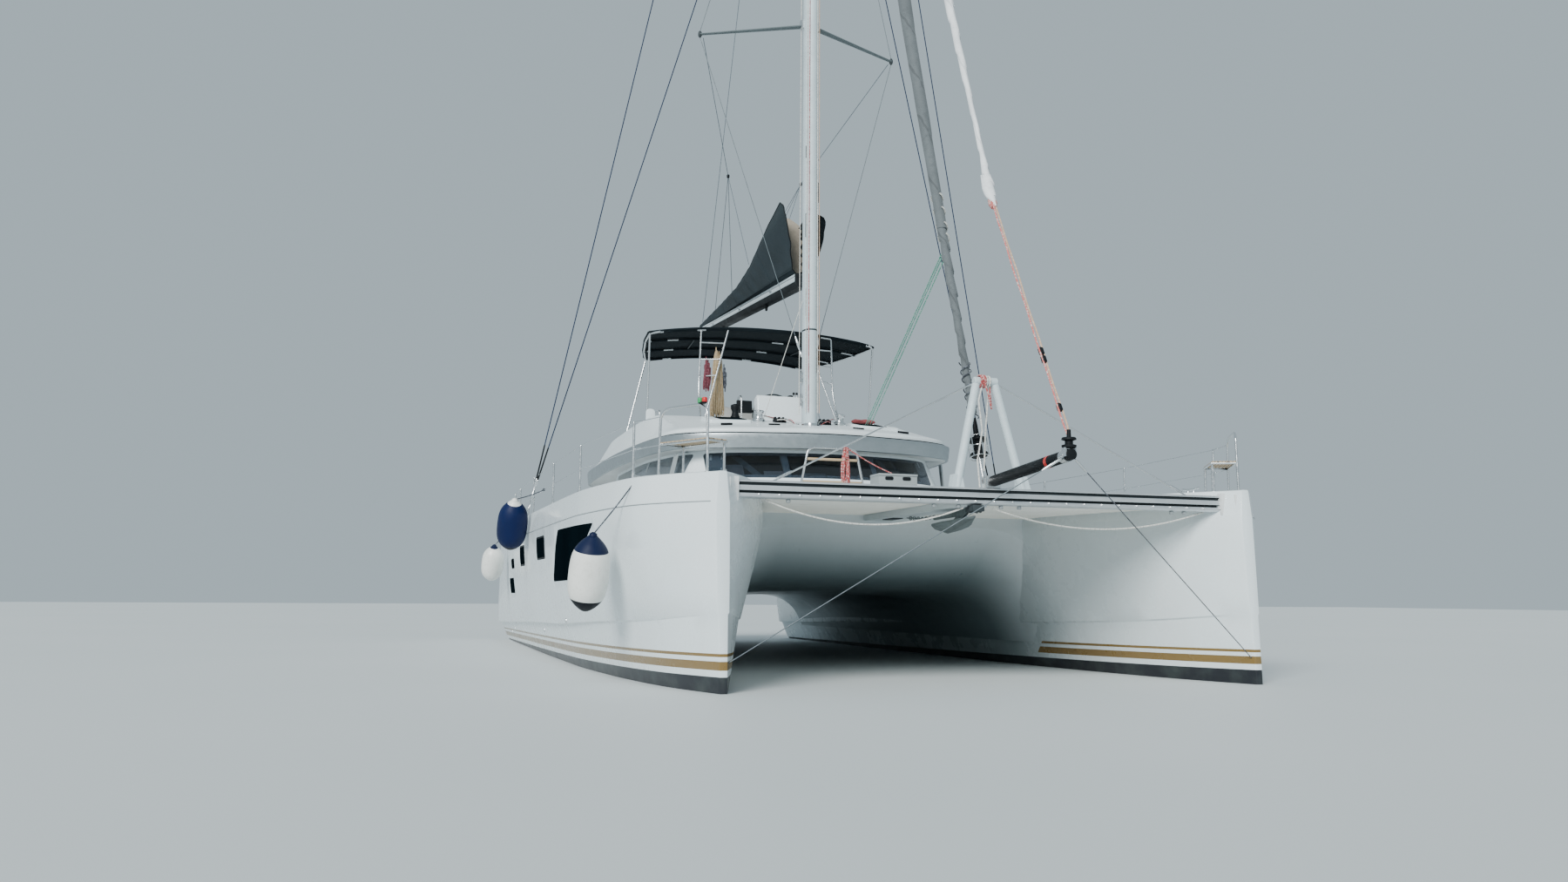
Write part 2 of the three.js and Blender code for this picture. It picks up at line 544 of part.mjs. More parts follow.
// Anchor under the beam
add('anchor', join(
  box(5600, 6420, -15, 15, 1650, anchorBeam.bottomZ - seat),
  loft([
    [[6560, 0, 1650], [5980, -210, 1590], [5920, 0, 1520], [5980, 210, 1590]],
    [[6560, 0, 1625], [5980, -210, 1565], [5920, 0, 1495], [5980, 210, 1565]]]),
  box(6000, 6240, -15, 15, 1540, 1700)).translate([0, anchorBeam.y, 0]), finish(0x4a5052, 0.5, 0.8));

// Trampolines between the beam, the hulls and the bridgedeck
sides.forEach(([name, side]) => {
  const innerY = anchorBeam.y + side * (anchorBeam.half + seat);
  const net = box(bridge.front + seat, beam.x - beam.half - seat, innerY, side * 2700, 1800, 1812);
  add(`trampoline_${name}`, clearOfHulls(net), finish(0xd9d3c4, 0.9));
});

// Mast with its spreaders, and the diamond stays
const mastForm = (grow) => loft([
  ellipse(mastX, 0, mastFootZ + seat, 150 + grow, 100 + grow, 16),
  ellipse(mastX, 0, 17500, 150 + grow, 100 + grow, 16),
  ellipse(mastX - 20, 0, mastTopZ, 110 + grow, 78 + grow, 16),
]);
const mastSeat = mastForm(seat);
const spreader = { rootX: 890, tipX: 350, tipY: 1530, rootZ: 9240, tipZ: 9130 };
const shroudEnds = [[-400, 20250], [-580, 15000]];   // foot x and height on the mast
const goosePin = bar([[boomPivotX, 0, 5250], [boomPivotX, 0, 5650]], 14, 12);
const gooseneck = cut(
  join(
    box(boomPivotX - 30, mastX - 50, -30, 30, 5290, 5325), box(boomPivotX - 30, mastX - 50, -30, 30, 5555, 5590),
    box(boomPivotX + 62, mastX - 50, -30, 30, 5300, 5580)),
  goosePin);
add('mast', join(mastForm(0), gooseneck, ...sides.map(([, side]) => bar(
  [[spreader.rootX, 0, spreader.rootZ], [spreader.tipX, side * spreader.tipY, spreader.tipZ]],
  [38, 22], 8))), finish(0xbfc6ca, 0.4, 0.3));
sides.forEach(([name, side]) => {
  const diamond = bar([
    [mastX - 60, side * 60, 4150], [spreader.tipX - 5, side * (spreader.tipY + 13), spreader.tipZ],
    [mastX - 60, side * 60, 14500]], 6, 6);
  add(`diamond_stay_${name}`, cut(diamond, mastSeat), stainless());
  const pair = shroudEnds.map(([x, topZ]) => bar([[x, side * 3738, 2040], [mastX - 60, side * 40, topZ]], 8, 6));
  const chainplate = box(-620, -360, side * 3728, side * 3746, sheerZ + seat, 2060);
  add(`shrouds_${name}`, cut(join(chainplate, ...pair), mastSeat), finish(0x23304a, 0.5, 0.5));
});

// Furled genoa on the forestay and furled gennaker on its own stay
const forestayFoot = [6432, 0, 1860 + seat];
add('furled_genoa', cut(
  bar(
    [forestayFoot, [6300, 0, 2270], [6275, 0, 2350], [6240, 0, 2480], [6180, 0, 2680], [4450, 0, 7970],
      [1420, 0, 17500], [1000, 0, 18800]],
    [22, 22, 90, 90, 40, 78, 55, 12], 10),
  mastSeat, box(6300, 6600, -100, 100, 1700, forestayFoot[2])), finish(0x7f868b, 0.9));
const tackZ = 2160;
add('furled_gennaker', cut(
  join(
    bar([[8040, 0, tackZ], [8040, 0, tackZ + 90]], 65, 12),
    bar(
      [[8040, 0, tackZ + 40], [6760, 0, 4620], [6620, 0, 4900], [5690, 0, 7390], [1900, 0, 17300], [1000, 0, 19500]],
      [12, 12, 62, 66, 40, 10], 8)),
  mastSeat), finish(0xe4e6e8, 0.9));

// Boom and sail bag, turning together at the gooseneck
const boom = { front: boomPivotX - 60, back: -5600, half: 110, rise: 0.064, topZ: 5540, backDepth: 150, depth: 205 };
const boomTop = (x) => boom.topZ + boom.rise * (boom.front - x);
const boomSection = (x, depth) => [
  [-0.5, depth], [0.5, depth], [1, depth * 0.55], [1, 0], [-1, 0], [-1, depth * 0.55],
].map(([along, drop]) => [x, boom.half * along, boomTop(x) - drop]);
add('boom', join(
  loft([boomSection(boom.front, boom.depth), boomSection(boom.back, boom.backDepth)]),
  bar([[boomPivotX, 0, 5350], [boomPivotX, 0, 5530]], 25, 12), box(boomPivotX, boomPivotX - 100, -25, 25, 5350, 5530),
  bar([[boomPivotX, 0, 5296], [boomPivotX, 0, 5584]], 13, 12)), finish(0xb9c0c4, 0.4, 0.4));
const bagSections = [
  // x at the boom, x at the top, half width low, half width high, top height
  [560, 20, 130, 290, 6720],
  [-100, -740, 160, 270, 6440],
  [-1000, -1600, 155, 220, 6190],
  [-2100, -2500, 140, 175, 6070],
  [-3600, -3750, 120, 135, 6030],
  [-5350, -5350, 90, 90, 6000],
];
add('sail_bag', loft(bagSections.map(([lowX, highX, low, high, topZ]) => {
  const footZ = boomTop(lowX) + 2 * seat;
  return [
    [-low * 0.6, 0], [low * 0.6, 0], [low, 0.08], [high, 0.78], [high * 0.4, 1], [-high * 0.4, 1], [-high, 0.78],
    [-low, 0.08],
  ].map(([y, up]) => [lowX + (highX - lowX) * up, y, footZ + (topZ - footZ) * up]);
})), charcoalCloth());

// Bimini canopy on its stainless frame, with the two ladders up from the roof
const bimini = { edgeZ: 4950, crown: 130, thickness: 24, tube: 16 };
const biminiSections = [
  // x, half width
  [-1120, 1760], [-1300, 1890], [-1950, 1830], [-2780, 1690], [-3600, 1500],
];
const arc = [-1, -0.94, -0.75, -0.4, 0, 0.4, 0.75, 0.94, 1];
const archPoint = (x, half, t, drop) => [x, half * t, bimini.edgeZ + bimini.crown * (1 - t * t) - drop];
add('bimini_canopy', loft(biminiSections.map(([x, half]) => [
  ...arc.map((t) => archPoint(x, half, t, 0)),
  ...[...arc].reverse().map((t) => archPoint(x, half, t, bimini.thickness))])), charcoalCloth());
const bowDrop = bimini.thickness + bimini.tube - 0.7;
const bowInset = 26;
const ladder = { footX: -810, footZ: 3450, footY: 1150, outerY: 1080, innerY: 640, bendZ: 4000 };
function ladderSide(side) {
  const frontX = biminiSections[0][0] - bowInset;
  const frontHalf = biminiSections[0][1] - bowInset;
  const top = (y) => archPoint(frontX, frontHalf, (side * y) / frontHalf, bowDrop);
  const [innerTop, outerTop] = [top(ladder.innerY), top(ladder.outerY)];
  const innerFoot = [ladder.footX, side * (ladder.footY - 40), ladder.footZ];
  const bend = [frontX, side * (ladder.outerY + 30), ladder.bendZ];
  const rungs = [4250, 4520, 4790].map((z) => {
    const along = (z - ladder.footZ) / (innerTop[2] - ladder.footZ);
    const onInner = innerFoot.map((value, k) => value + (innerTop[k] - value) * along);
    return bar([onInner, [frontX, side * (ladder.outerY + 10), z]], 11, 6);
  });
  return join(
    bar([[ladder.footX, side * ladder.footY, ladder.footZ], bend, outerTop], 15, 8),
    bar([innerFoot, innerTop], 15, 8), ...rungs);
}
const biminiFrame = join(
  ...[[0, -bowInset], [2, 0], [3, 0], [4, bowInset]].map(([i, inward]) => {
    const [x, half] = biminiSections[i];
    return bar(arc.map((t) => archPoint(x + inward, half - bowInset, t, bowDrop)), bimini.tube, 8);
  }),
  ...sides.flatMap(([, side]) => [
    bar(
      biminiSections.map(([x, half]) => archPoint(x, half - bowInset, side, bowDrop)), bimini.tube, 8),
    ...[[-1500, 1], [-3400, 4]].map(([footX, i]) => bar(
      [[footX, side * 1850, coamingZ - 60],
        archPoint(biminiSections[i][0], biminiSections[i][1] - bowInset, side, bowDrop)], bimini.tube, 8)),
    ladderSide(side),
  ]));
add('bimini_frame', cut(biminiFrame, flybridgeSeat), stainless());

// Guardrails: stanchions and two lifelines each side, with the seat at the bow
const railX = [5500, 3350, 1200, -950, -3100, -4300];
const railInset = 130;
const railY = (x) => hullCentre + breadthAt(x, 'deckOut') - railInset;
const railTopZ = 2560;
sides.forEach(([name, side]) => {
  const stanchions = railX.map((x) => bar(
    [[x, side * railY(x), sheerZ + seat], [x, side * railY(x), railTopZ]], 13, 8));
  const seatFrame = bar([
    [6560, side * 2880, sheerZ + seat], [6540, side * 2880, 2560], [6460, side * 2930, 2620],
    [6060, side * 3160, 2620], [5980, side * 3200, 2560], [5960, side * 3210, sheerZ + seat]], 13, 8);
  const seatPlate = prism(
    [[6540, 2880], [5975, 3200], [5880, 2950], [6420, 2660]].map(([x, y]) => [x, side * y]), 'z', 2280, 2305);
  const seatLegs = [[5900, 2955], [6400, 2680]].map(([x, y]) => bar(
    [[x, side * y, sheerZ + seat], [x, side * y, 2290]], 13, 8));
  const lines = [2280, 2550].map((z) => bar(
    [[5970, side * 3205, z], ...railX.map((x) => [x, side * railY(x), z])], 5, 6));
  const rail = join(...stanchions, seatFrame, seatPlate, ...seatLegs, ...lines);
  add(`guardrail_${name}`, clearOfHulls(rail), stainless());
});

// Fenders hung on the starboard side: [name, top, bottom, radius, line's upper end, colour]
const fenders = [
  ['bow', [5600, -3760, 1420], [5380, -3790, 700], 195, [5880, -3395, 1962], 0xe6e8ea],
  ['middle', [150, -3990, 2130], [-250, -4000, 1480], 205, [260, -railY(260), 2280], 0x1f3f78],
  ['aft', [-3250, -3970, 1620], [-3550, -3980, 1080], 175, [-3150, -3712, 1962], 0xe6e8ea],
];
const lifelineSeat = bar(railX.map((x) => [x, -railY(x), 2280]), 5 + seat * 2, 8);
for (const [name, top, bottom, radius, upper, color] of fenders) {
  const axis = new THREE.Vector3(...top).sub(new THREE.Vector3(...bottom));
  const length = axis.length();
  const shape = turned([
    [0, 0], [radius * 0.3, 8], [radius * 0.72, length * 0.1], [radius, length * 0.26], [radius, length * 0.74],
    [radius * 0.72, length * 0.9], [radius * 0.3, length - 8], [0, length]], 16);
  const turn = new THREE.Quaternion().setFromUnitVectors(new THREE.Vector3(0, 0, 1), axis.normalize());
  const matrix = new THREE.Matrix4().compose(new THREE.Vector3(...bottom), turn, new THREE.Vector3(1, 1, 1));
  const hung = join(shape.transform(matrix.elements), bar([top, upper], 7, 6));
  add(`fender_${name}`, cut(clearOfHulls(hung), lifelineSeat), finish(color, 0.4));
}

export default boat;
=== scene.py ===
import bpy
import bmesh
import math
import random
from mathutils import Matrix, Vector, noise


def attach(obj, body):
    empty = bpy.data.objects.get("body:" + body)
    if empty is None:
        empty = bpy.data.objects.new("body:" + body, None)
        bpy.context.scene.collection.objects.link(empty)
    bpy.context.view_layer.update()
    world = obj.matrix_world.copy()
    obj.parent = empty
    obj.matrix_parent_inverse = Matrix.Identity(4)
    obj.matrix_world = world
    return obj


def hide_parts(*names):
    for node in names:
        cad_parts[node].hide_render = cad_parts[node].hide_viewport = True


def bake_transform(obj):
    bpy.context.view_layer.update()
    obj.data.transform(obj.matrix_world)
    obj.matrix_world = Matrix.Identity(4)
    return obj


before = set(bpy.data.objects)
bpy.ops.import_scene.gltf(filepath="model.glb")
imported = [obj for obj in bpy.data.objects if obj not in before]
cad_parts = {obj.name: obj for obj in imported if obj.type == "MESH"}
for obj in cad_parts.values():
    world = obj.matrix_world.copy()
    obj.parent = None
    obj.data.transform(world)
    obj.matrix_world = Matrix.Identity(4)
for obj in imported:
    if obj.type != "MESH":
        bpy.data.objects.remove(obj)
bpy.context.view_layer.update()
print("frame loaded, nodes:", len(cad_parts))
bothSides = (("starboard", -1), ("port", 1))
looks = {}


# meshes

def newShape():
    return {"verts": [], "faces": [], "mats": [], "uvs": []}


def addFaces(shape, points, faces, mat=0, uvs=None):
    base = len(shape["verts"])
    shape["verts"] += [tuple(p) for p in points]
    for k, face in enumerate(faces):
        shape["faces"].append([base + i for i in face])
        shape["mats"].append(mat)
        shape["uvs"].append(uvs[k] if uvs else [(0, 0)] * len(face))


def turns(count, extra=0):
    # cosine and sine of each step round a circle
    return [(math.cos(2 * math.pi * k / count), math.sin(2 * math.pi * k / count)) for k in range(count + extra)]


def addLoft(shape, rings, mat=0, caps=True, closed=True, around=1.0, along=1.0):
    # a skin over rings of points, its UV map in metres where around and along are given in metres
    count, last = len(rings[0]), len(rings) - 1
    span = count if closed else count - 1
    faces, uvs = [], []
    for r in range(last):
        v0, v1 = along * r / last, along * (r + 1) / last
        for i in range(span):
            a, b = r * count + i, r * count + (i + 1) % count
            u0, u1 = around * i / span, around * (i + 1) / span
            faces.append([a, b, b + count, a + count])
            uvs.append([(u0, v0), (u1, v0), (u1, v1), (u0, v1)])
    if caps and closed:
        faces += [list(range(count))[::-1], [last * count + i for i in range(count)]]
        uvs += [[(0, 0)] * count] * 2
    addFaces(shape, [p for ring in rings for p in ring], faces, mat, uvs)


def addSlab(shape, outer, inner, mat=0, place=lambda c, r: (0, 0)):
    # a thin closed slab between two grids of points; place maps a grid point onto the cloth in metres
    cols, rows = len(outer) - 1, len(outer[0]) - 1
    at = lambda layer, c, r: (layer * (cols + 1) + c) * (rows + 1) + r
    cells = [(layer, c, r) for layer in (0, 1) for c in range(cols) for r in range(rows)]
    corners = ((0, 0), (1, 0), (1, 1), (0, 1))
    faces = [[at(layer, c + i, r + j) for i, j in corners] for layer, c, r in cells]
    uvs = [[place(c + i, r + j) for i, j in corners] for _, c, r in cells]
    faces += [[at(0, c, r), at(0, c + 1, r), at(1, c + 1, r), at(1, c, r)] for c in range(cols) for r in (0, rows)]
    faces += [[at(0, c, r), at(0, c, r + 1), at(1, c, r + 1), at(1, c, r)] for r in range(rows) for c in (0, cols)]
    uvs += [[(0, 0)] * 4] * (len(faces) - len(uvs))
    addFaces(shape, [p for grid in (outer, inner) for line in grid for p in line], faces, mat, uvs)


def addHoop(shape, path, radius, count):
    # a closed ring of tube along pairs of a centre and its outward direction, turned about across
    rings = [[p + out * radius * c + across * radius * s for c, s in turns(count)] for p, out, across in path]
    n = len(rings)
    faces = [[i * count + j, i * count + (j + 1) % count, (i + 1) % n * count + (j + 1) % count, (i + 1) % n * count + j]
             for i in range(n) for j in range(count)]
    addFaces(shape, [p for ring in rings for p in ring], faces)


def crossTo(way):
    helper = Vector((1, 0, 0)) if abs(way.z) > 0.9 else Vector((0, 0, 1))
    return helper.cross(way).normalized()


def addTube(shape, points, radius, count=10, mat=0, caps=True):
    # a round tube with a steady pair of cross directions along its path
    path = [Vector(p) for p in points]
    radii = radius if isinstance(radius, (list, tuple)) else [radius] * len(path)
    ways = [(b - a).normalized() for a, b in zip(path, path[1:])]
    u = crossTo(ways[0])
    rings = []
    for i, (centre, r) in enumerate(zip(path, radii)):
        plane = (ways[max(0, i - 1)] + ways[min(len(ways) - 1, i)]).normalized()
        u = (u - plane * u.dot(plane)).normalized()
        v = plane.cross(u)
        rings.append([centre + u * r * c + v * r * s for c, s in turns(count)])
    length = sum((b - a).length for a, b in zip(path, path[1:]))
    addLoft(shape, rings, mat, caps, True, 2 * math.pi * max(radii), length)


def addPrism(shape, outline, offset, mat=0):
    # a flat outline of 3-D points carried along an offset
    addLoft(shape, [[Vector(p) for p in outline], [Vector(p) + Vector(offset) for p in outline]], mat)


def addBox(shape, low, high, mat=0):
    (x0, y0, z0), (x1, y1, z1) = low, high
    addPrism(shape, [(x0, y0, z0), (x1, y0, z0), (x1, y1, z0), (x0, y1, z0)], (0, 0, z1 - z0), mat)


def addTurned(shape, profile, foot, axis, count=20, mat=0):
    # radius and height pairs turned round an axis from a foot point, ends closed
    way = Vector(axis).normalized()
    u = crossTo(way)
    v = way.cross(u)
    addLoft(shape, [[Vector(foot) + way * h + (u * c + v * s) * max(r, 0.0004) for c, s in turns(count)]
                    for r, h in profile], mat)


def smoothPath(points, steps=6, closed=False):
    # a curve through every point, rounded between them
    pts = [Vector(p) for p in points]
    n = len(pts)
    out = []
    for i in range(n if closed else n - 1):
        p1, p2 = pts[i], pts[(i + 1) % n]
        p0 = pts[i - 1] if closed or i > 0 else p1 * 2 - p2
        p3 = pts[(i + 2) % n] if closed or i + 2 < n else p2 * 2 - p1
        d1, d2, d3 = [max((b - a).length, 1e-6) ** 0.5 for a, b in ((p0, p1), (p1, p2), (p2, p3))]
        m1 = ((p1 - p0) / d1 - (p2 - p0) / (d1 + d2) + (p2 - p1) / d2) * d2
        m2 = ((p2 - p1) / d2 - (p3 - p1) / (d2 + d3) + (p3 - p2) / d3) * d2
        for t in (k / steps for k in range(steps)):
            out.append(p1 * (2 * t ** 3 - 3 * t ** 2 + 1) + m1 * (t ** 3 - 2 * t ** 2 + t)
                       + p2 * (3 * t ** 2 - 2 * t ** 3) + m2 * (t ** 3 - t ** 2))
    return out if closed else out + [pts[-1]]


def bend(a, b, c, radius, steps):
    # points round the corner b on the way from a to c
    reach = min(radius, (a - b).length * 0.45, (c - b).length * 0.45)
    start, end = b + (a - b).normalized() * reach, b + (c - b).normalized() * reach
    return [start * (1 - t) ** 2 + b * 2 * t * (1 - t) + end * t ** 2 for t in (k / steps for k in range(steps + 1))]


def roundedPath(points, radius, steps=5):
    pts = [Vector(p) for p in points]
    bends = [p for a, b, c in zip(pts, pts[1:], pts[2:]) for p in bend(a, b, c, radius, steps)]
    return [pts[0]] + bends + [pts[-1]]


def roundedOutline(points, radius, steps=4):
    # a closed 2-D outline with its corners rounded
    pts = [Vector(p) for p in points]
    return [tuple(p) for i, b in enumerate(pts) for p in bend(pts[i - 1], b, pts[(i + 1) % len(pts)], radius, steps)]


def sagPath(start, end, sag, steps=16):
    a, b = Vector(start), Vector(end)
    return [a.lerp(b, t) - Vector((0, 0, 4 * sag * t * (1 - t))) for t in (k / steps for k in range(steps + 1))]


def insetOutline(outline, distance):
    # each edge moved inward, parallel to itself
    pts = [Vector(p[:2]) for p in outline]
    area = sum(a.x * b.y - b.x * a.y for a, b in zip(pts, pts[1:] + pts[:1]))
    move = distance * math.copysign(1, area)
    out = []
    for i, p in enumerate(pts):
        before, after = (p - pts[i - 1]).normalized(), (pts[(i + 1) % len(pts)] - p).normalized()
        normal = Vector((-before.y - after.y, before.x + after.x)).normalized()
        lean = max(0.5, normal.x * -before.y + normal.y * before.x)
        out.append((p.x + move * normal.x / lean, p.y + move * normal.y / lean))
    return out


def atHeight(outline, z):
    return [(x, y, z) for x, y in outline]


def rectangle(x0, x1, y0, y1):
    return [(x0, y0), (x1, y0), (x1, y1), (x0, y1)]


# objects

def newObject(name, mesh):
    obj = bpy.data.objects.new(name, mesh)
    bpy.context.scene.collection.objects.link(obj)
    return obj


def lookList(names):
    return [looks[name] for name in names.split()]


def makeObject(name, shape, mats=""):
    mesh = bpy.data.meshes.new(name)
    mesh.from_pydata(shape["verts"], [], shape["faces"])
    for look in lookList(mats):
        mesh.materials.append(look)
    uvLayer = mesh.uv_layers.new(name="surface")
    uvLayer.data.foreach_set("uv", [value for face in shape["uvs"] for pair in face for value in pair])
    mesh.polygons.foreach_set("material_index", shape["mats"])
    return newObject(name, mesh)


def tidyNormals(obj, merge=0.00005):
    work = bmesh.new()
    work.from_mesh(obj.data)
    bmesh.ops.remove_doubles(work, verts=work.verts, dist=merge)
    bmesh.ops.dissolve_degenerate(work, dist=merge, edges=work.edges)
    bmesh.ops.recalc_face_normals(work, faces=work.faces)
    work.to_mesh(obj.data)
    work.free()


def applyModifiers(obj):
    mesh = bpy.data.meshes.new_from_object(obj.evaluated_get(bpy.context.evaluated_depsgraph_get()))
    obj.modifiers.clear()
    old, obj.data = obj.data, mesh
    bpy.data.meshes.remove(old)


def bevelEdges(obj, width, segments=2, angle=32):
    bevel = obj.modifiers.new("edges", "BEVEL")
    bevel.width, bevel.segments = width, segments
    bevel.limit_method, bevel.angle_limit = "ANGLE", math.radians(angle)
    bevel.harden_normals = False
    applyModifiers(obj)


def placePiece(obj, mats, body="boat", replaces=(), angle=35):
    # looks by name, shading, and what the piece rides on and stands for
    wanted = lookList(mats)
    if list(obj.data.materials) != wanted:
        obj.data.materials.clear()
        for look in wanted:
            obj.data.materials.append(look)
    obj.data.polygons.foreach_set("use_smooth", [True] * len(obj.data.polygons))
    obj.data.set_sharp_from_angle(angle=math.radians(angle))
    if body:
        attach(obj, body)
    if replaces:
        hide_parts(*([replaces] if isinstance(replaces, str) else replaces))
    return obj


def finishShape(name, shape, mats, body="boat", replaces=(), angle=35, bevel=0, segments=2):
    obj = makeObject(name, shape, mats)
    tidyNormals(obj)
    if bevel:
        bevelEdges(obj, bevel, segments)
    return placePiece(obj, mats, body, replaces, angle)


def joinInto(obj, others):
    # one mesh out of several closed forms
    work = bmesh.new()
    for part in [obj] + others:
        work.from_mesh(part.data)
    work.to_mesh(obj.data)
    work.free()
    for part in others:
        bpy.data.objects.remove(part)
    return obj


def toolFrom(shape, name="tool"):
    obj = makeObject(name, shape)
    tidyNormals(obj)
    return obj


def boxTool(x0, x1, y0, y1, z0, z1):
    shape = newShape()
    low, high = zip(sorted((x0, x1)), sorted((y0, y1)), sorted((z0, z1)))
    addBox(shape, low, high)
    return toolFrom(shape)


def carve(obj, tools, how="DIFFERENCE", solver="MANIFOLD"):
    for tool in tools:
        step = obj.modifiers.new("cut", "BOOLEAN")
        step.operation, step.solver, step.object = how, solver, tool
    applyModifiers(obj)
    for tool in tools:
        bpy.data.objects.remove(tool)
    return obj


def smoothCopy(node, name, mats, body, bevel):
    # a CAD solid with its loose triangles merged, its edges eased and its faces shaded smooth
    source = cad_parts[node]
    obj = newObject(name, source.data.copy())
    work = bmesh.new()
    work.from_mesh(obj.data)
    work.transform(source.matrix_world)
    bmesh.ops.remove_doubles(work, verts=work.verts, dist=0.0001)
    bmesh.ops.dissolve_limit(work, angle_limit=math.radians(1), verts=work.verts, edges=work.edges)
    work.to_mesh(obj.data)
    work.free()
    bevelEdges(obj, bevel)
    return placePiece(obj, mats, body, node)


# nodes

def addNode(kind, links, **settings):
    # a node in the tree of the first socket among its links
    node = next(v for v in links.values() if isinstance(v, bpy.types.NodeSocket)).id_data.nodes.new(kind)
    return setNode(node, links, **settings)


def setNode(node, links, **settings):
    for key, value in settings.items():
        setattr(node, key, value)
    for key, value in links.items():
        if isinstance(value, bpy.types.NodeSocket):
            node.id_data.links.new(value, node.inputs[key])
        else:
            node.inputs[key].default_value = value
    return node


def startGroup(name, kind, inputs, outputs):
    tree = bpy.data.node_groups.new(name, kind)
    for label, sort, *value in inputs:
        socket = tree.interface.new_socket(name=label, in_out="INPUT", socket_type="NodeSocket" + sort)
        if value:
            socket.default_value = value[0]
    for label, sort in outputs:
        tree.interface.new_socket(name=label, in_out="OUTPUT", socket_type="NodeSocket" + sort)
    return tree, tree.nodes.new("NodeGroupInput").outputs, tree.nodes.new("NodeGroupOutput").inputs


def calc(operation, a, b=0.0, clamp=False, c=None):
    links = {0: a, 1: b} if c is None else {0: a, 1: b, 2: c}
    return addNode("ShaderNodeMath", links, operation=operation, use_clamp=clamp).outputs[0]


def buildRepeat():
    # copies of one item set along a line of points, each turned to follow it
    tree, into, out = startGroup("repeatAlong", "GeometryNodeTree", [
        ("Geometry", "Geometry"), ("Item", "Object"), ("Count", "Int"), ("Twist", "Float"), ("Wobble", "Float"),
        ("Seed", "Int"), ("Look", "Material")], [("Geometry", "Geometry")])
    link = lambda kind, links, **settings: addNode(kind, links, **settings).outputs[0]
    curve = link("GeometryNodeMeshToCurve", {"Mesh": into["Geometry"]})
    spaced = link("GeometryNodeResampleCurve", {"Curve": curve, "Count": into["Count"]})
    ahead = tree.nodes.new("GeometryNodeInputTangent").outputs[0]
    aligned = link("FunctionNodeAlignRotationToVector", {"Vector": ahead}, axis="X")
    angle = calc("MULTIPLY", tree.nodes.new("GeometryNodeInputIndex").outputs[0], into["Twist"])
    chance = addNode("FunctionNodeRandomValue", {"Seed": into["Seed"]}, data_type="FLOAT").outputs[1]
    sway = calc("MULTIPLY_ADD", chance, into["Wobble"], c=angle)
    turn = link("FunctionNodeAxisAngleToRotation", {"Axis": (1.0, 0.0, 0.0), "Angle": sway})
    turned = link("FunctionNodeRotateRotation", {"Rotation": aligned, "Rotate By": turn}, rotation_space="LOCAL")
    item = addNode("GeometryNodeObjectInfo", {"Object": into["Item"]}).outputs["Geometry"]
    placed = link("GeometryNodeInstanceOnPoints", {"Points": spaced, "Instance": item, "Rotation": turned})
    real = link("GeometryNodeRealizeInstances", {"Geometry": placed})
    look = link("GeometryNodeSetMaterial", {"Geometry": real, "Material": into["Look"]})
    tree.links.new(look, out["Geometry"])
    return tree


repeatAlong = buildRepeat()


def repeatItem(item, path, count, look, twist=0.0, wobble=0.0, seed=1):
    # item is a shape round the origin, its own x axis lying along the path; gives one plain mesh object
    unit = toolFrom(item, "item")
    mesh = bpy.data.meshes.new("path")
    mesh.from_pydata([tuple(p) for p in path], [(k, k + 1) for k in range(len(path) - 1)], [])
    obj = newObject("row", mesh)
    made = obj.modifiers.new("repeat", "NODES")
    made.node_group = repeatAlong
    values = {"Item": unit, "Count": count, "Twist": twist, "Wobble": wobble, "Seed": seed, "Look": looks[look]}
    for socket in repeatAlong.interface.items_tree:
        if socket.in_out == "INPUT" and socket.name in values:
            made[socket.identifier] = values[socket.name]
    bpy.context.view_layer.update()
    applyModifiers(obj)
    bpy.data.objects.remove(unit)
    return obj


def placeRows(name, rows, look):
    # rows made by repeatItem, merged into one piece
    joinInto(rows[0], rows[1:]).name = name
    return placePiece(rows[0], look)


# shared surface effects

def times(a, b):
    return calc("MULTIPLY", a, b)


def plus(a, b, clamp=False):
    return calc("ADD", a, b, clamp)


def over(a, b):
    return calc("GREATER_THAN", a, b)


def under(a, b):
    return calc("LESS_THAN", a, b)


def absolute(a):
    return calc("ABSOLUTE", a)


def mixColours(amount, a, b):
    a, b = [(*c, 1) if isinstance(c, tuple) else c for c in (a, b)]
    return addNode("ShaderNodeMix", {"Factor": amount, 6: a, 7: b}, data_type="RGBA", blend_type="MIX").outputs[2]


def spread(value, low, high, outLow=0.0, outHigh=1.0):
    return addNode("ShaderNodeMapRange", {"Value": value, 1: low, 2: high, 3: outLow, 4: outHigh}).outputs[0]


def noiseAt(place, scale, **more):
    return addNode("ShaderNodeTexNoise", {"Vector": place, "Scale": scale, **more}).outputs


def vectorMath(operation, a, b):
    return addNode("ShaderNodeVectorMath", {0: a, "Scale" if operation == "SCALE" else 1: b}, operation=operation).outputs[0]


def axes(place):
    return addNode("ShaderNodeSeparateXYZ", {0: place}).outputs


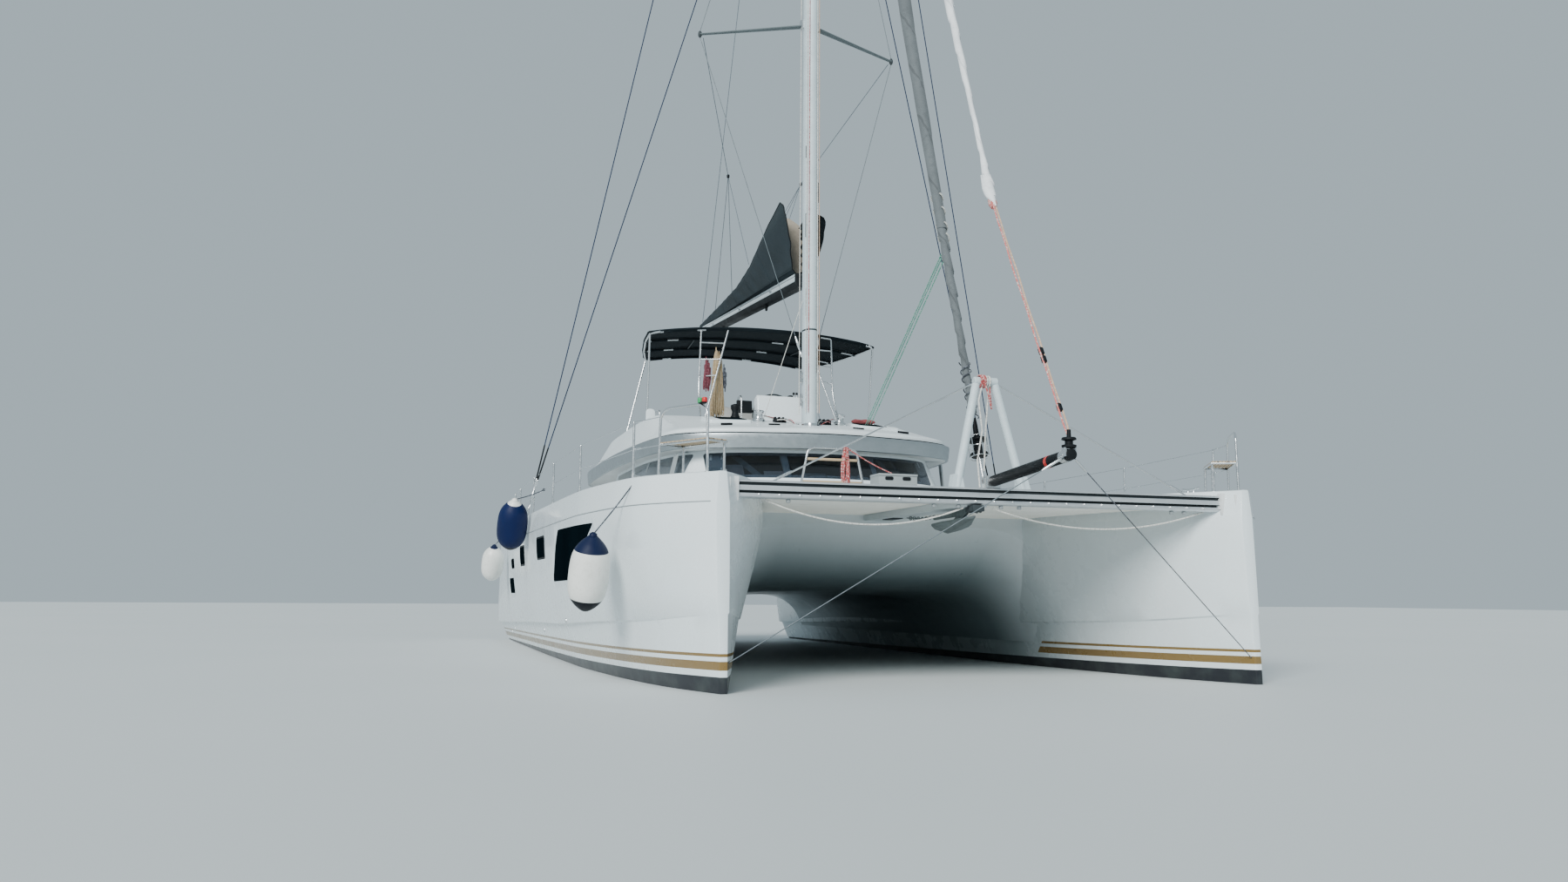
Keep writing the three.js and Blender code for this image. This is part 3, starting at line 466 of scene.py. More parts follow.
def buildMottle():
    # broad tone drift, fine speckle and smears of dirt
    tree, into, out = startGroup("mottledTone", "ShaderNodeTree", [
        ("Vector", "Vector"), ("Base", "Color", (0.8, 0.8, 0.8, 1)), ("Dirt", "Color", (0.4, 0.4, 0.38, 1)),
        ("Drift", "Float", 0.06), ("Grime", "Float", 0.1), ("Scale", "Float", 1.0),
        ("Rough", "Float", 0.3), ("Rough Spread", "Float", 0.1), ("Grain", "Float", 120.0)],
        [("Color", "Color"), ("Roughness", "Float"), ("Height", "Float")])
    place, scale = into["Vector"], into["Scale"]
    broad = noiseAt(place, scale, Detail=4.0)[0]
    smear = noiseAt(place, times(scale, 5.3), Detail=6.0, Roughness=0.65)[0]
    grain = noiseAt(place, into["Grain"], Detail=2.0)[0]
    lighter = plus(times(spread(broad, 0.3, 0.7, -1.0, 1.0), into["Drift"]), 1.0)
    dirt = times(spread(smear, 0.5, 0.8), into["Grime"])
    rough = times(spread(smear, 0.3, 0.7, -0.5, 1.0), into["Rough Spread"])
    tree.links.new(mixColours(dirt, vectorMath("SCALE", into["Base"], lighter), into["Dirt"]), out["Color"])
    tree.links.new(plus(rough, into["Rough"], True), out["Roughness"])
    tree.links.new(plus(grain, times(smear, 0.5)), out["Height"])
    return tree


def buildWeave():
    # over-and-under threads on a flat map in metres
    tree, into, out = startGroup("threadWeave", "ShaderNodeTree", [
        ("Vector", "Vector"), ("Threads", "Float", 300.0), ("Slack", "Float", 0.15)],
        [("Height", "Float"), ("Holes", "Float")])
    loose = vectorMath("SCALE", noiseAt(into["Vector"], 9.0)[1], 0.004)
    placed = vectorMath("ADD", into["Vector"], loose)
    waves = [absolute(calc("SINE", times(times(axis, into["Threads"]), math.pi))) for axis in axes(placed)[:2]]
    checker = addNode("ShaderNodeTexChecker", {"Vector": placed, "Color1": (1, 1, 1, 1), "Color2": (0, 0, 0, 1),
                                               "Scale": into["Threads"]}).outputs[1]
    tree.links.new(mixColours(checker, *waves), out["Height"])
    tree.links.new(times(*waves), out["Holes"])
    return tree


def buildStreaks():
    # marks drawn out along one direction: rain runs, brushing, draw lines
    tree, into, out = startGroup("drawnStreaks", "ShaderNodeTree", [
        ("Vector", "Vector"), ("Stretch", "Vector", (1, 1, 0.05)), ("Scale", "Float", 6.0)],
        [("Mask", "Float"), ("Fine", "Float")])
    placed = vectorMath("MULTIPLY", into["Vector"], into["Stretch"])
    long = noiseAt(placed, into["Scale"], Detail=5.0, Roughness=0.6)[0]
    tree.links.new(spread(long, 0.52, 0.8), out["Mask"])
    tree.links.new(noiseAt(placed, times(into["Scale"], 9.0))[0], out["Fine"])
    return tree


mottledTone, threadWeave, drawnStreaks = buildMottle(), buildWeave(), buildStreaks()


def useGroup(group, place, **values):
    node = place.id_data.nodes.new("ShaderNodeGroup")
    node.node_tree = group
    return setNode(node, {"Vector": place, **values}).outputs


def mottled(place, base, dirt, drift, grime, scale, rough, roughSpread, grain):
    return useGroup(mottledTone, place, Base=(*base, 1), Dirt=(*dirt, 1), Drift=drift, Grime=grime, Scale=scale,
                    Rough=rough, **{"Rough Spread": roughSpread}, Grain=grain)


def startMaterial(name, **constants):
    # gives the shader and the two places that textures read: the object's own and its map
    mat = bpy.data.materials.new(name)
    mat.use_nodes = True
    shader = mat.node_tree.nodes["Principled BSDF"]
    for key, value in constants.items():
        shader.inputs[key.replace("_", " ")].default_value = value
    where = mat.node_tree.nodes.new("ShaderNodeTexCoord").outputs
    return mat, shader, where["Object"], where["UV"]


def joinShader(shader, colour, rough, height, distance, strength):
    bump = addNode("ShaderNodeBump", {"Height": height, "Strength": strength, "Distance": distance})
    links = {"Base Color": colour, "Normal": bump.outputs[0]}
    setNode(shader, {**links, "Roughness": rough} if rough else links)


def paintedFinish(name, base, rough=0.35, drift=0.05, grime=0.1, dirt=(0.35, 0.34, 0.3), scale=1.2, grain=220,
                  bump=0.0004, **constants):
    # paint, moulded plastic and gelcoat: tone drift, smears and a fine orange-peel skin
    mat, shader, place, _ = startMaterial(name, **constants)
    tone = mottled(place, base, dirt, drift, grime, scale, rough, 0.12, grain)
    joinShader(shader, *tone, bump, 0.25)
    return mat


def metalFinish(name, base, rough=0.3, stretch=(1, 1, 0.04), scale=40, grime=0.15, metal=1.0, dirt=(0.12, 0.12, 0.12)):
    # drawn or brushed metal with handling marks
    mat, shader, place, _ = startMaterial(name, Metallic=metal)
    colour, roughness, _ = mottled(place, base, dirt, 0.06, grime, 3.0, rough, 0.15, 90.0)
    mask, fine = useGroup(drawnStreaks, place, Stretch=stretch, Scale=scale)
    joinShader(shader, mixColours(times(mask, 0.22), colour, tuple(c * 0.62 for c in base)),
               plus(roughness, times(fine, 0.1)), fine, 0.0003, 0.2)
    return mat


def clothFinish(name, base, threads=260, rough=0.9, grime=0.2, dirt=(0.2, 0.19, 0.17), sheen=0.3, onMap=False):
    # woven cloth: threads from the flat map or the object's place, fading and soiling
    mat, shader, place, flat = startMaterial(name, Sheen_Weight=sheen, Sheen_Roughness=0.5, Specular_IOR_Level=0.15)
    colour, roughness, _ = mottled(place, base, dirt, 0.12, grime, 2.2, rough, 0.1, 60.0)
    height, _ = useGroup(threadWeave, flat if onMap else place, Threads=threads)
    # painted shade in the hollows between the threads: the cloth is darker where the weave is low
    weaveHollowShade = mixColours(times(height, 0.35), tuple(c * 0.7 for c in base), colour)
    joinShader(shader, mixColours(0.65, weaveHollowShade, colour), roughness, height, 0.0012, 0.5)
    return mat


def ropeFinish(name, base, fleck):
    # braided rope: slanted strands on the tube's own map, in metres
    strands = 90
    mat, shader, place, flat = startMaterial(name, Roughness=0.85, Sheen_Weight=0.2)
    u, v, _ = axes(flat)
    runs = [plus(times(v, strands), times(u, slant * strands)) for slant in (1.0, -1.0)]
    braid = calc("MAXIMUM", *[absolute(calc("SINE", times(run, math.pi))) for run in runs])
    spots = times(spread(noiseAt(place, 55.0)[0], 0.52, 0.6), braid)
    joinShader(shader, mixColours(spots, base, fleck), None, braid, 0.003, 0.6)
    return mat


def glassFinish(name, tint, seeThrough, rough=0.04, mirror=0.5):
    mat, shader, place, _ = startMaterial(name, Transmission_Weight=seeThrough, IOR=1.5, Specular_IOR_Level=mirror)
    joinShader(shader, *mottled(place, tint, (0.3, 0.32, 0.33), 0.1, 0.06, 1.5, rough, 0.05, 40.0), 0.0002, 0.1)
    return mat


def hullFinish():
    # white gelcoat over a dark boot-top, with two bronze stripes that follow it and end slanted inboard, and painted
    # shade between the hulls
    look = {"white": (0.76, 0.83, 0.855), "boot": (0.002, 0.004, 0.009), "stripe": (0.20, 0.125, 0.035),
            "bootAtMiddle": 0.086, "bootRise": 0.0085, "thick": (0.058, 0.135), "thin": (0.175, 0.203),
            "inboardEnd": 3.55, "slant": 1.1, "half": 2.79}
    mat, shader, place, _ = startMaterial("hullGelcoat", Coat_Weight=0.35, Coat_Roughness=0.06)
    x, y, z = axes(place)
    above = calc("SUBTRACT", z, plus(times(x, look["bootRise"]), look["bootAtMiddle"]))
    thick, thin = [times(over(above, low), under(above, high)) for low, high in (look["thick"], look["thin"])]
    end = calc("SUBTRACT", x, times(z, look["slant"]))
    ends = calc("MAXIMUM", over(absolute(y), look["half"]), over(end, look["inboardEnd"] - look["slant"] * 0.25))
    colour, roughness, height = mottled(place, look["white"], (0.5, 0.5, 0.44), 0.025, 0.10, 0.5, 0.26, 0.08, 300.0)
    # rain runs low on the topsides, and painted shade on the inner sides between the hulls, darker low down and fading
    # out toward the bow and the stern
    runs, _ = useGroup(drawnStreaks, place, Stretch=(1.0, 1.0, 0.07), Scale=3.2)
    stained = mixColours(times(times(runs, spread(z, 0.9, 0.1)), 0.22), colour, (0.42, 0.41, 0.32))
    inboard = times(spread(absolute(y), look["half"], 2.45), spread(x, 4.4, 2.9))
    inboardShade = times(times(inboard, spread(z, 1.5, 0.5)), spread(x, -5.0, -3.5, 0.0, 0.62))
    striped = mixColours(times(plus(thick, thin), ends), mixColours(inboardShade, stained, (0.10, 0.16, 0.17)), look["stripe"])
    slime = spread(noiseAt(place, 4.0, Detail=8.0)[0], 0.45, 0.75, 0.0, 0.5)
    wet = under(above, 0.0)
    joinShader(shader, mixColours(wet, striped, mixColours(slime, look["boot"], (0.05, 0.065, 0.06))),
               plus(roughness, times(wet, 0.3)), height, 0.0004, 0.12)
    return mat


def deckFinish():
    # white gelcoat, with a raised non-skid pattern on what faces up, and painted shade on the faces not turned up, low
    # under the bridgedeck
    mat, shader, place, _ = startMaterial("deckGelcoat", Coat_Weight=0.2)
    up = axes(mat.node_tree.nodes.new("ShaderNodeNewGeometry").outputs["Normal"])[2]
    x, y, z = axes(place)
    flat = spread(up, 0.93, 0.97)
    colour, roughness, height = mottled(place, (0.76, 0.825, 0.85), (0.45, 0.44, 0.4), 0.03, 0.14, 0.9, 0.32, 0.1, 260.0)
    dots = addNode("ShaderNodeTexVoronoi", {"Vector": place, "Scale": 110.0}).outputs[0]
    grip = times(spread(dots, 0.2, 0.55, 1.0, 0.0), flat)
    grey = mixColours(times(flat, 0.3), colour, (0.60, 0.63, 0.64))
    low = times(under(up, 0.1), spread(z, 1.85, 1.05))
    # painted shade on the faces not turned up, darker toward the bottom; at the inner sides of the hulls it fades
    # forward, as the painted shade on the hulls does
    leg = times(spread(absolute(y), 1.3, 1.9), spread(x, 2.6, 4.2))
    shade = calc("MAXIMUM", times(low, calc("SUBTRACT", 0.84, leg)), 0.0)
    joinShader(shader, mixColours(shade, grey, (0.075, 0.135, 0.15)), plus(roughness, times(flat, 0.25), True),
               plus(height, times(grip, 3.0)), 0.0008, 0.3)
    return mat


def slattedWood(name, base, stripe, across=1, width=0.05, caulk=(0.03, 0.028, 0.025)):
    # teak planks with dark seams
    mat, shader, place, _ = startMaterial(name)
    rows = calc("DIVIDE", axes(place)[across], width)
    seam = over(absolute(calc("SUBTRACT", calc("FRACT", rows), 0.5)), 0.46)
    stretch = [18.0, 18.0, 18.0]
    stretch[1 - across if across < 2 else 0] = 1.4
    mask, fine = useGroup(drawnStreaks, place, Stretch=stretch, Scale=2.0)
    plank = addNode("ShaderNodeTexWhiteNoise", {"W": calc("FLOOR", rows)}, noise_dimensions="1D").outputs[0]
    toned = mixColours(times(plank, 0.35), mixColours(mask, base, stripe), stripe)
    joinShader(shader, mixColours(seam, toned, caulk), spread(fine, 0.3, 0.7, 0.5, 0.75),
               calc("SUBTRACT", fine, seam), 0.001, 0.4)
    return mat


def netFinish():
    # open woven webbing: raised cords with small dark holes between
    mat, shader, place, _ = startMaterial("trampolineNet", Roughness=0.9, Subsurface_Weight=0.85, Subsurface_Scale=0.05,
                                          Subsurface_Radius=(1.0, 1.0, 0.9))
    height, holes = useGroup(threadWeave, place, Threads=52.0)
    colour = mottled(place, (0.90, 0.87, 0.78), (0.4, 0.37, 0.3), 0.08, 0.25, 1.1, 0.9, 0.05, 80.0)[0]
    hole = times(spread(holes, 0.08, 0.3, 1.0, 0.0), 0.3)
    joinShader(shader, mixColours(hole, colour, (0.4, 0.39, 0.33)), None, height, 0.004, 0.7)
    return mat


def sailFinish(name, base, shade, wraps):
    # sailcloth wound round its stay: the edges of the wraps spiral along the map, with painted shadow along each edge
    mat, shader, place, flat = startMaterial(name, Sheen_Weight=0.1)
    u, v, _ = axes(flat)
    wobble = noiseAt(place, 1.8, Detail=3.0)[0]
    ramp = calc("FRACT", plus(plus(times(v, wraps), times(u, 1.9)), times(wobble, 0.7)))
    colour, roughness, _ = mottled(place, base, shade, 0.14, 0.45, 2.6, 0.8, 0.1, 70.0)
    # the darker shade colour is also smeared over the cloth; along the edge of each wrap it is painted shadow under the
    # overlapping cloth
    joinShader(shader, mixColours(times(over(ramp, 0.93), 0.55), colour, shade), roughness, ramp, 0.012, 0.55)
    return mat


# every look by its short name: the material's name, its colour, then what its finish takes

dim = {level: {"Specular_IOR_Level": level} for level in (0.0, 0.1, 0.15, 0.2, 0.3)}
paints = {
    "mould": ("mouldedGelcoat", (0.77, 0.83, 0.855), 0.28, 0.025, 0.08, {"Coat_Weight": 0.3}),
    "plank": ("plankGelcoat", (0.74, 0.80, 0.82), 0.4, 0.04, 0.15),
    "liner": ("whiteLiner", (0.66, 0.67, 0.66), 0.5, 0.05, 0.1),
    "black": ("blackTrim", (0.007, 0.009, 0.011), 0.5, 0.1, 0.2, (0.03, 0.03, 0.03), dim[0.15]),
    "darkGrey": ("darkFitting", (0.035, 0.045, 0.05), 0.5, 0.1, 0.2, (0.10, 0.11, 0.11), dim[0.3]),
    "greyPlastic": ("greyPlastic", (0.30, 0.33, 0.34), 0.45, 0.06, 0.15),
    "whitePlastic": ("whitePlastic", (0.74, 0.76, 0.76), 0.4, 0.04, 0.12),
    "antifoul": ("antifouling", (0.024, 0.028, 0.034), 0.75, 0.15, 0.4, (0.07, 0.085, 0.075), 2.5, 90, 0.002),
    "redPaint": ("redPaint", (0.5, 0.03, 0.025), 0.4, 0.06, 0.12),
    "green": ("greenLens", (0.02, 0.32, 0.1), 0.2, 0.06, 0.1),
    "redLens": ("redLens", (0.55, 0.02, 0.02), 0.2, 0.06, 0.1),
    "enginePaint": ("enginePaint", (0.42, 0.45, 0.46), 0.45, 0.08, 0.3, (0.1, 0.09, 0.07)),
    # dark lining: painted shade for the saloon's inner faces seen through the glazing
    "lining": ("cabinShadeLining", (0.045, 0.043, 0.042), 0.7, 0.08, 0.1, dim[0.1]),
    "blind": ("cabinBlind", (0.62, 0.56, 0.55), 0.7, 0.06, 0.15),
    "shroud": ("sheathedRigging", (0.012, 0.024, 0.06), 0.55, 0.1, 0.2, (0.04, 0.05, 0.08), dim[0.2]),
    "fenderWhite": ("fenderWhite", (0.80, 0.80, 0.76), 0.32, 0.05, 0.35, (0.45, 0.43, 0.36), 4.5, 160, 0.0008),
    "fenderBlue": ("fenderBlue", (0.0008, 0.008, 0.052), 0.5, 0.1, 0.25, (0.006, 0.016, 0.05), 4.5, 160, 0.0008, dim[0.2]),
    "navy": ("darkNavyEnd", (0.002, 0.003, 0.008), 0.5, 0.1, 0.2, (0.01, 0.011, 0.015), dim[0.2]),
    "navyBlue": ("navyEnd", (0.003, 0.009, 0.040), 0.5, 0.1, 0.2, (0.02, 0.025, 0.04), dim[0.2]),
    "hullGlass": ("hullWindow", (0.002, 0.005, 0.007), 0.3, 0.2, 0.1, (0.008, 0.012, 0.013), dim[0.0]),
}
metals = {
    "silver": ("satinSilverBand", (0.36, 0.40, 0.42), 0.30, (0.05, 0.05, 1.0), 30, 0.06, 0.8),
    "alloy": ("anodisedAlloy", (0.66, 0.69, 0.71), 0.38, (1, 0.04, 1), 30, 0.12, 0.85),
    "mast": ("mastPaint", (0.56, 0.65, 0.685), 0.55, (1, 1, 0.03), 24, 0.10, 0.08),
    "wire": ("rodRigging", (0.12, 0.145, 0.16), 0.45, (1, 1, 0.1), 20, 0.1, 0.6),
    "spreader": ("spreaderAlloy", (0.16, 0.19, 0.20), 0.5, (1, 0.05, 1), 24, 0.12, 0.3),
    "boomAlloy": ("boomPaint", (0.50, 0.57, 0.60), 0.55, (0.03, 1, 1), 24, 0.10, 0.1),
    "steel": ("polishedStainless", (0.72, 0.74, 0.75), 0.16, (1, 1, 0.2), 20, 0.06),
    "galvanised": ("anchorSteel", (0.20, 0.235, 0.24), 0.5, (1, 1, 1), 14, 0.4, 0.7, (0.11, 0.12, 0.10)),
    "bronze": ("propellerBronze", (0.62, 0.42, 0.16), 0.3, (1, 0.2, 1), 20, 0.3, 1.0, (0.1, 0.16, 0.12)),
    "legAlloy": ("driveLegAlloy", (0.30, 0.32, 0.34), 0.5, (1, 1, 0.2), 12, 0.4, 0.6, (0.1, 0.12, 0.1)),
}
cloths = {
    "charcoal": ("charcoalCanvas", (0.010, 0.016, 0.020), 300, 0.9, 0.25, (0.025, 0.032, 0.034), 0.0, True),
    "bagCloth": ("bagCloth", (0.022, 0.034, 0.041), 260, 0.88, 0.35, (0.05, 0.062, 0.068), 0.02, True),
    "tan": ("sailStack", (0.36, 0.31, 0.25), 220, 0.85, 0.5, (0.16, 0.13, 0.1), 0.15, True),
    "redCloth": ("redCloth", (0.30, 0.07, 0.075), 300, 0.9, 0.25, (0.14, 0.05, 0.05), 0.1),
    "seatCloth": ("seatCloth", (0.62, 0.61, 0.58), 340, 0.85, 0.2, (0.35, 0.34, 0.31), 0.3),
    "greySeat": ("greySeatCloth", (0.2, 0.215, 0.225), 340, 0.85, 0.2, (0.3, 0.3, 0.3), 0.35),
}
ropes = {
    "slateRope": ((0.10, 0.13, 0.16), (0.2, 0.24, 0.27)), "whiteRope": ((0.72, 0.71, 0.66), (0.42, 0.42, 0.4)),
    "redRope": ((0.42, 0.06, 0.06), (0.7, 0.55, 0.52)), "wineRope": ((0.13, 0.015, 0.03), (0.26, 0.1, 0.12)),
    "strawRope": ((0.33, 0.24, 0.13), (0.5, 0.4, 0.27)), "pinkRope": ((0.62, 0.16, 0.14), (0.75, 0.6, 0.55)),
    "tanRope": ((0.55, 0.36, 0.24), (0.7, 0.55, 0.42)), "darkRope": ((0.03, 0.035, 0.05), (0.2, 0.22, 0.26)),
    "greenRope": ((0.05, 0.36, 0.25), (0.5, 0.65, 0.55)),
}
for look, (*settings, last) in paints.items():
    looks[look] = paintedFinish(*settings, **last) if isinstance(last, dict) else paintedFinish(*settings, last)
looks.update({look: metalFinish(*settings) for look, settings in metals.items()})
looks.update({look: clothFinish(*settings) for look, settings in cloths.items()})
looks.update({look: ropeFinish(look, *colours) for look, colours in ropes.items()})
looks.update({
    "hull": hullFinish(), "deck": deckFinish(), "net": netFinish(),
    "genoa": sailFinish("greySunstrip", (0.112, 0.128, 0.136), (0.05, 0.056, 0.06), 1.35),
    "gennaker": sailFinish("whiteSailcloth", (0.80, 0.82, 0.84), (0.5, 0.53, 0.56), 1.1),
    "teak": slattedWood("teakSlats", (0.42, 0.27, 0.15), (0.26, 0.16, 0.085)),
    "teakFore": slattedWood("teakPlanks", (0.50, 0.37, 0.23), (0.34, 0.24, 0.14), 0),
    "joinery": slattedWood("cabinJoinery", (0.36, 0.27, 0.19), (0.25, 0.18, 0.12), 2, 0.32, (0.12, 0.09, 0.06)),
    "frontGlass": glassFinish("tintedGlazing", (0.20, 0.24, 0.29), 1.0, 0.04, 0.03),
    "sideGlass": glassFinish("sideGlazing", (0.34, 0.39, 0.43), 0.8, 0.08, 0.5),
    "lens": glassFinish("clearPane", (0.7, 0.75, 0.75), 0.8),
})
print("materials made:", len(looks))


# camera, light and floor

def makeCamera():
    view = {"place": (17.672, -5.664, 0.863), "yaw": 17.567, "pitch": 7.012, "roll": 0.368, "lens": 28.802}
    yaw, pitch, roll = [math.radians(view[key]) for key in ("yaw", "pitch", "roll")]
    ahead = Vector((-math.cos(yaw) * math.cos(pitch), math.sin(yaw) * math.cos(pitch), math.sin(pitch)))
    right = ahead.cross(Vector((0, 0, 1))).normalized()
    up = right.cross(ahead)
    r = right * math.cos(roll) + up * math.sin(roll)
    u = up * math.cos(roll) - right * math.sin(roll)
    data = bpy.data.cameras.new("photoCamera")
    data.lens, data.sensor_width, data.clip_end = view["lens"], 36, 400
    camera = newObject("photoCamera", data)
    camera.matrix_world = Matrix([(r[k], u[k], -ahead[k], view["place"][k]) for k in range(3)] + [(0, 0, 0, 1)])
    bpy.context.scene.camera = camera


def makeStudio():
    size = {"floor": 90.0, "sky": 0.62, "sun": 4.2, "sunAngle": 25.0, "sunTurn": (60, 0, 50)}
    shape = newShape()
    half = size["floor"]
    addFaces(shape, atHeight(rectangle(-half, half, -half, half), 0), [[0, 1, 2, 3]])
    floor = makeObject("studioFloor", shape)
    mat, shader, place, _ = startMaterial("paleFloor", Roughness=0.6)
    tone = noiseAt(place, 0.15)[0]
    setNode(shader, {"Base Color": mixColours(tone, (0.60, 0.64, 0.65), (0.66, 0.69, 0.70))})
    floor.data.materials.append(mat)
    world = bpy.data.worlds.new("paleSky")
    world.use_nodes = True
    setNode(world.node_tree.nodes["Background"], {"Color": (0.70, 0.85, 0.93, 1), "Strength": size["sky"]})
    bpy.context.scene.world = world
    sun = bpy.data.lights.new("softSun", "SUN")
    sun.energy, sun.angle, sun.color = size["sun"], math.radians(size["sunAngle"]), (0.98, 1.0, 0.98)
    newObject("softSun", sun).rotation_euler = [math.radians(v) for v in size["sunTurn"]]


makeCamera()
makeStudio()


# hulls

hullSize = {
    "centre": 2.79, "half": 6.9, "sheer": 1.975, "joint": 1.70, "kneeStep": 0.018, "rake": 0.063,
    "landing": 1.12, "wellHalf": 0.70, "deckRound": 0.022,
    "floors": [(-4.45, 1.12), (-5.6, 0.75), (-6.15, 0.38)],
    "passage": (-4.45, -4.95, 1.6), "lid": (-4.6, -5.42, 0.38, 0.04, 0.005), "pit": (-4.66, -5.36, 0.32, -0.12),
    "bore": (-6.25, 0.0258, 0.15), "outlets": ((-5.16, 0.20), (0.0, 0.37), (-4.4, 0.27), (2.6, 0.55)),
}
stations = [
    # x, keelZ, water, kneeZ, low, high, jointOut, deckOut, jointIn, deckIn
    (6.9, -0.38, 0.03, 0.69, 0.04, 0.052, 0.062, 0.036, 0.062, 0.036),
    (6.6, -0.46, 0.12, 0.67, 0.185, 0.2, 0.3, 0.262, 0.262, 0.222),
    (5.9, -0.53, 0.3, 0.62, 0.405, 0.425, 0.665, 0.63, 0.61, 0.565),
    (5.0, -0.6, 0.43, 0.58, 0.565, 0.59, 0.835, 0.8, 0.9, 0.86),
    (4.0, -0.66, 0.52, 0.55, 0.67, 0.705, 0.93, 0.9, 1.06, 1.03),
    (2.2, -0.72, 0.6, 0.49, 0.74, 0.795, 0.96, 0.935, 1.04, 1.04),
    (-0.5, -0.72, 0.605, 0.45, 0.755, 0.825, 0.98, 0.96, 1.0, 1.0),
    (-3.0, -0.62, 0.585, 0.4, 0.745, 0.815, 0.955, 0.935, 0.97, 0.97),
    (-5.2, -0.42, 0.565, 0.35, 0.72, 0.785, 0.89, 0.87, 0.93, 0.93),
    (-6.9, -0.15, 0.54, 0.32, 0.69, 0.755, 0.79, 0.77, 0.88, 0.88),
]


def stationAt(x):
    # one row of the table at any x, on curves that never overshoot the table
    rows = stations[::-1]
    x = min(max(x, rows[0][0]), rows[-1][0])
    i = max(k for k in range(len(rows) - 1) if rows[k][0] <= x + 1e-9)
    gaps = [b[0] - a[0] for a, b in zip(rows, rows[1:])]
    t = (x - rows[i][0]) / gaps[i]
    out = []
    for c in range(1, 10):
        d = [(b[c] - a[c]) / w for a, b, w in zip(rows, rows[1:], gaps)]
        def slope(k):
            if k == 0 or k == len(rows) - 1:
                return d[min(k, len(d) - 1)]
            if d[k - 1] * d[k] <= 0:
                return 0.0
            w1, w2 = 2 * gaps[k] + gaps[k - 1], gaps[k] + 2 * gaps[k - 1]
            return (w1 + w2) / (w1 / d[k - 1] + w2 / d[k])
        out.append((2 * t ** 3 - 3 * t ** 2 + 1) * rows[i][c] + (t ** 3 - 2 * t ** 2 + t) * slope(i) * gaps[i]
                   + (3 * t ** 2 - 2 * t ** 3) * rows[i + 1][c] + (t ** 3 - t ** 2) * slope(i + 1) * gaps[i])
    return out


def hullSection(x, side, grow=0.0):
    keelZ, water, kneeZ, low, high, jointOut, deckOut, jointIn, deckIn = stationAt(x)
    top, joint = hullSize["sheer"], hullSize["joint"]
    soft = min(hullSize["deckRound"], deckOut * 0.3)
    bilge = smoothPath([(0, 0, keelZ), (water * 0.72, 0, keelZ * 0.62), (water, 0, 0), (low, 0, kneeZ)], 5)
    half = [(p.x, p.z) for p in bilge[1:]] + [(high, kneeZ + hullSize["kneeStep"])]
    def upper(jointY, deckY):
        line = [(high + (jointY - high) * math.sin(t * math.pi / 2) * (0.86 + 0.14 * t), kneeZ + (joint - kneeZ) * t)
                for t in (0.25, 0.5, 0.75)]
        return line + [(jointY, joint), (jointY - 0.004, joint + 0.012),
                       (deckY + (jointY - deckY) * 0.12, top - soft * 1.1), (deckY - soft * 0.3, top - soft * 0.3),
                       (deckY - soft * 1.1, top + grow)]
    outer, inner = half + upper(jointOut, deckOut), half + upper(jointIn, deckIn)
    ring = [(0, keelZ - grow)] + [(y + grow, z) for y, z in outer] + [(-y - grow, z) for y, z in reversed(inner)]
    lean = max(0.0, (x - 5.9) / 1.0) * hullSize["rake"]
    return [(x - lean * z, side * (hullSize["centre"] + y), z) for y, z in ring]


def hullForm(side, grow, name):
    xs = [-6.9 + 13.6 * k / 84 for k in range(85)] + [6.76, 6.82, 6.87, 6.9]
    rings = [hullSection(x, side, grow) for x in xs]
    for end, push in ((0, -grow), (-1, grow)):
        rings[end] = [(x + push, y, z) for x, y, z in rings[end]]
    shape = newShape()
    addLoft(shape, rings)
    obj = makeObject(name, shape)
    tidyNormals(obj, 0.00002)
    return obj


def sideAt(x, z):
    # outboard half-breadth off the hull's centreline at a height on the topsides
    section = hullSection(x, 1)
    ring = [(p[1] - hullSize["centre"], p[2]) for p in section[:len(section) // 2 + 1]]
    for (y0, z0), (y1, z1) in zip(ring, ring[1:]):
        if z0 <= z <= z1 and z1 > z0:
            return y0 + (y1 - y0) * (z - z0) / (z1 - z0)
    return ring[-1][0]


def skinPatch(shape, outline, side, outer, inner, mat=0, columns=24, rows=4):
    # a slab that follows the topsides, between two distances off the skin
    x0, x1 = min(p[0] for p in outline), max(p[0] for p in outline)
    def column(c, offset):
        x = x0 + (x1 - x0) * (0.0005 + 0.999 * (0.5 - 0.5 * math.cos(math.pi * c / columns)))
        hits = [za + (zb - za) * (x - xa) / (xb - xa) for (xa, za), (xb, zb) in zip(outline, outline[1:] + outline[:1])
                if min(xa, xb) - 1e-9 <= x <= max(xa, xb) + 1e-9 and abs(xb - xa) > 1e-9]
        zs = [min(hits) + (max(hits) - min(hits)) * r / rows for r in range(rows + 1)]
        return [(x, side * (hullSize["centre"] + sideAt(x, z) + offset), z) for z in zs]
    addSlab(shape, *[[column(c, offset) for c in range(columns + 1)] for offset in (outer, inner)], mat)


windowSize = {
    "large": [(4.8, 1.59), (3.7, 1.02), (2.1, 1.01), (2.75, 1.61)],
    "upright": [[(0.78, 1.30), (1.60, 1.30), (1.60, 1.60), (0.78, 1.60)],
                [(-1.31, 1.26), (-0.65, 1.26), (-0.65, 1.56), (-1.31, 1.56)],
                [(-2.8, 1.25), (-2.3, 1.25), (-2.3, 1.41), (-2.8, 1.41)]],
    "slot": [(-3.36, 0.87), (-2.55, 0.87), (-2.55, 1.11), (-3.36, 1.11)],
    "corner": 0.045,
}


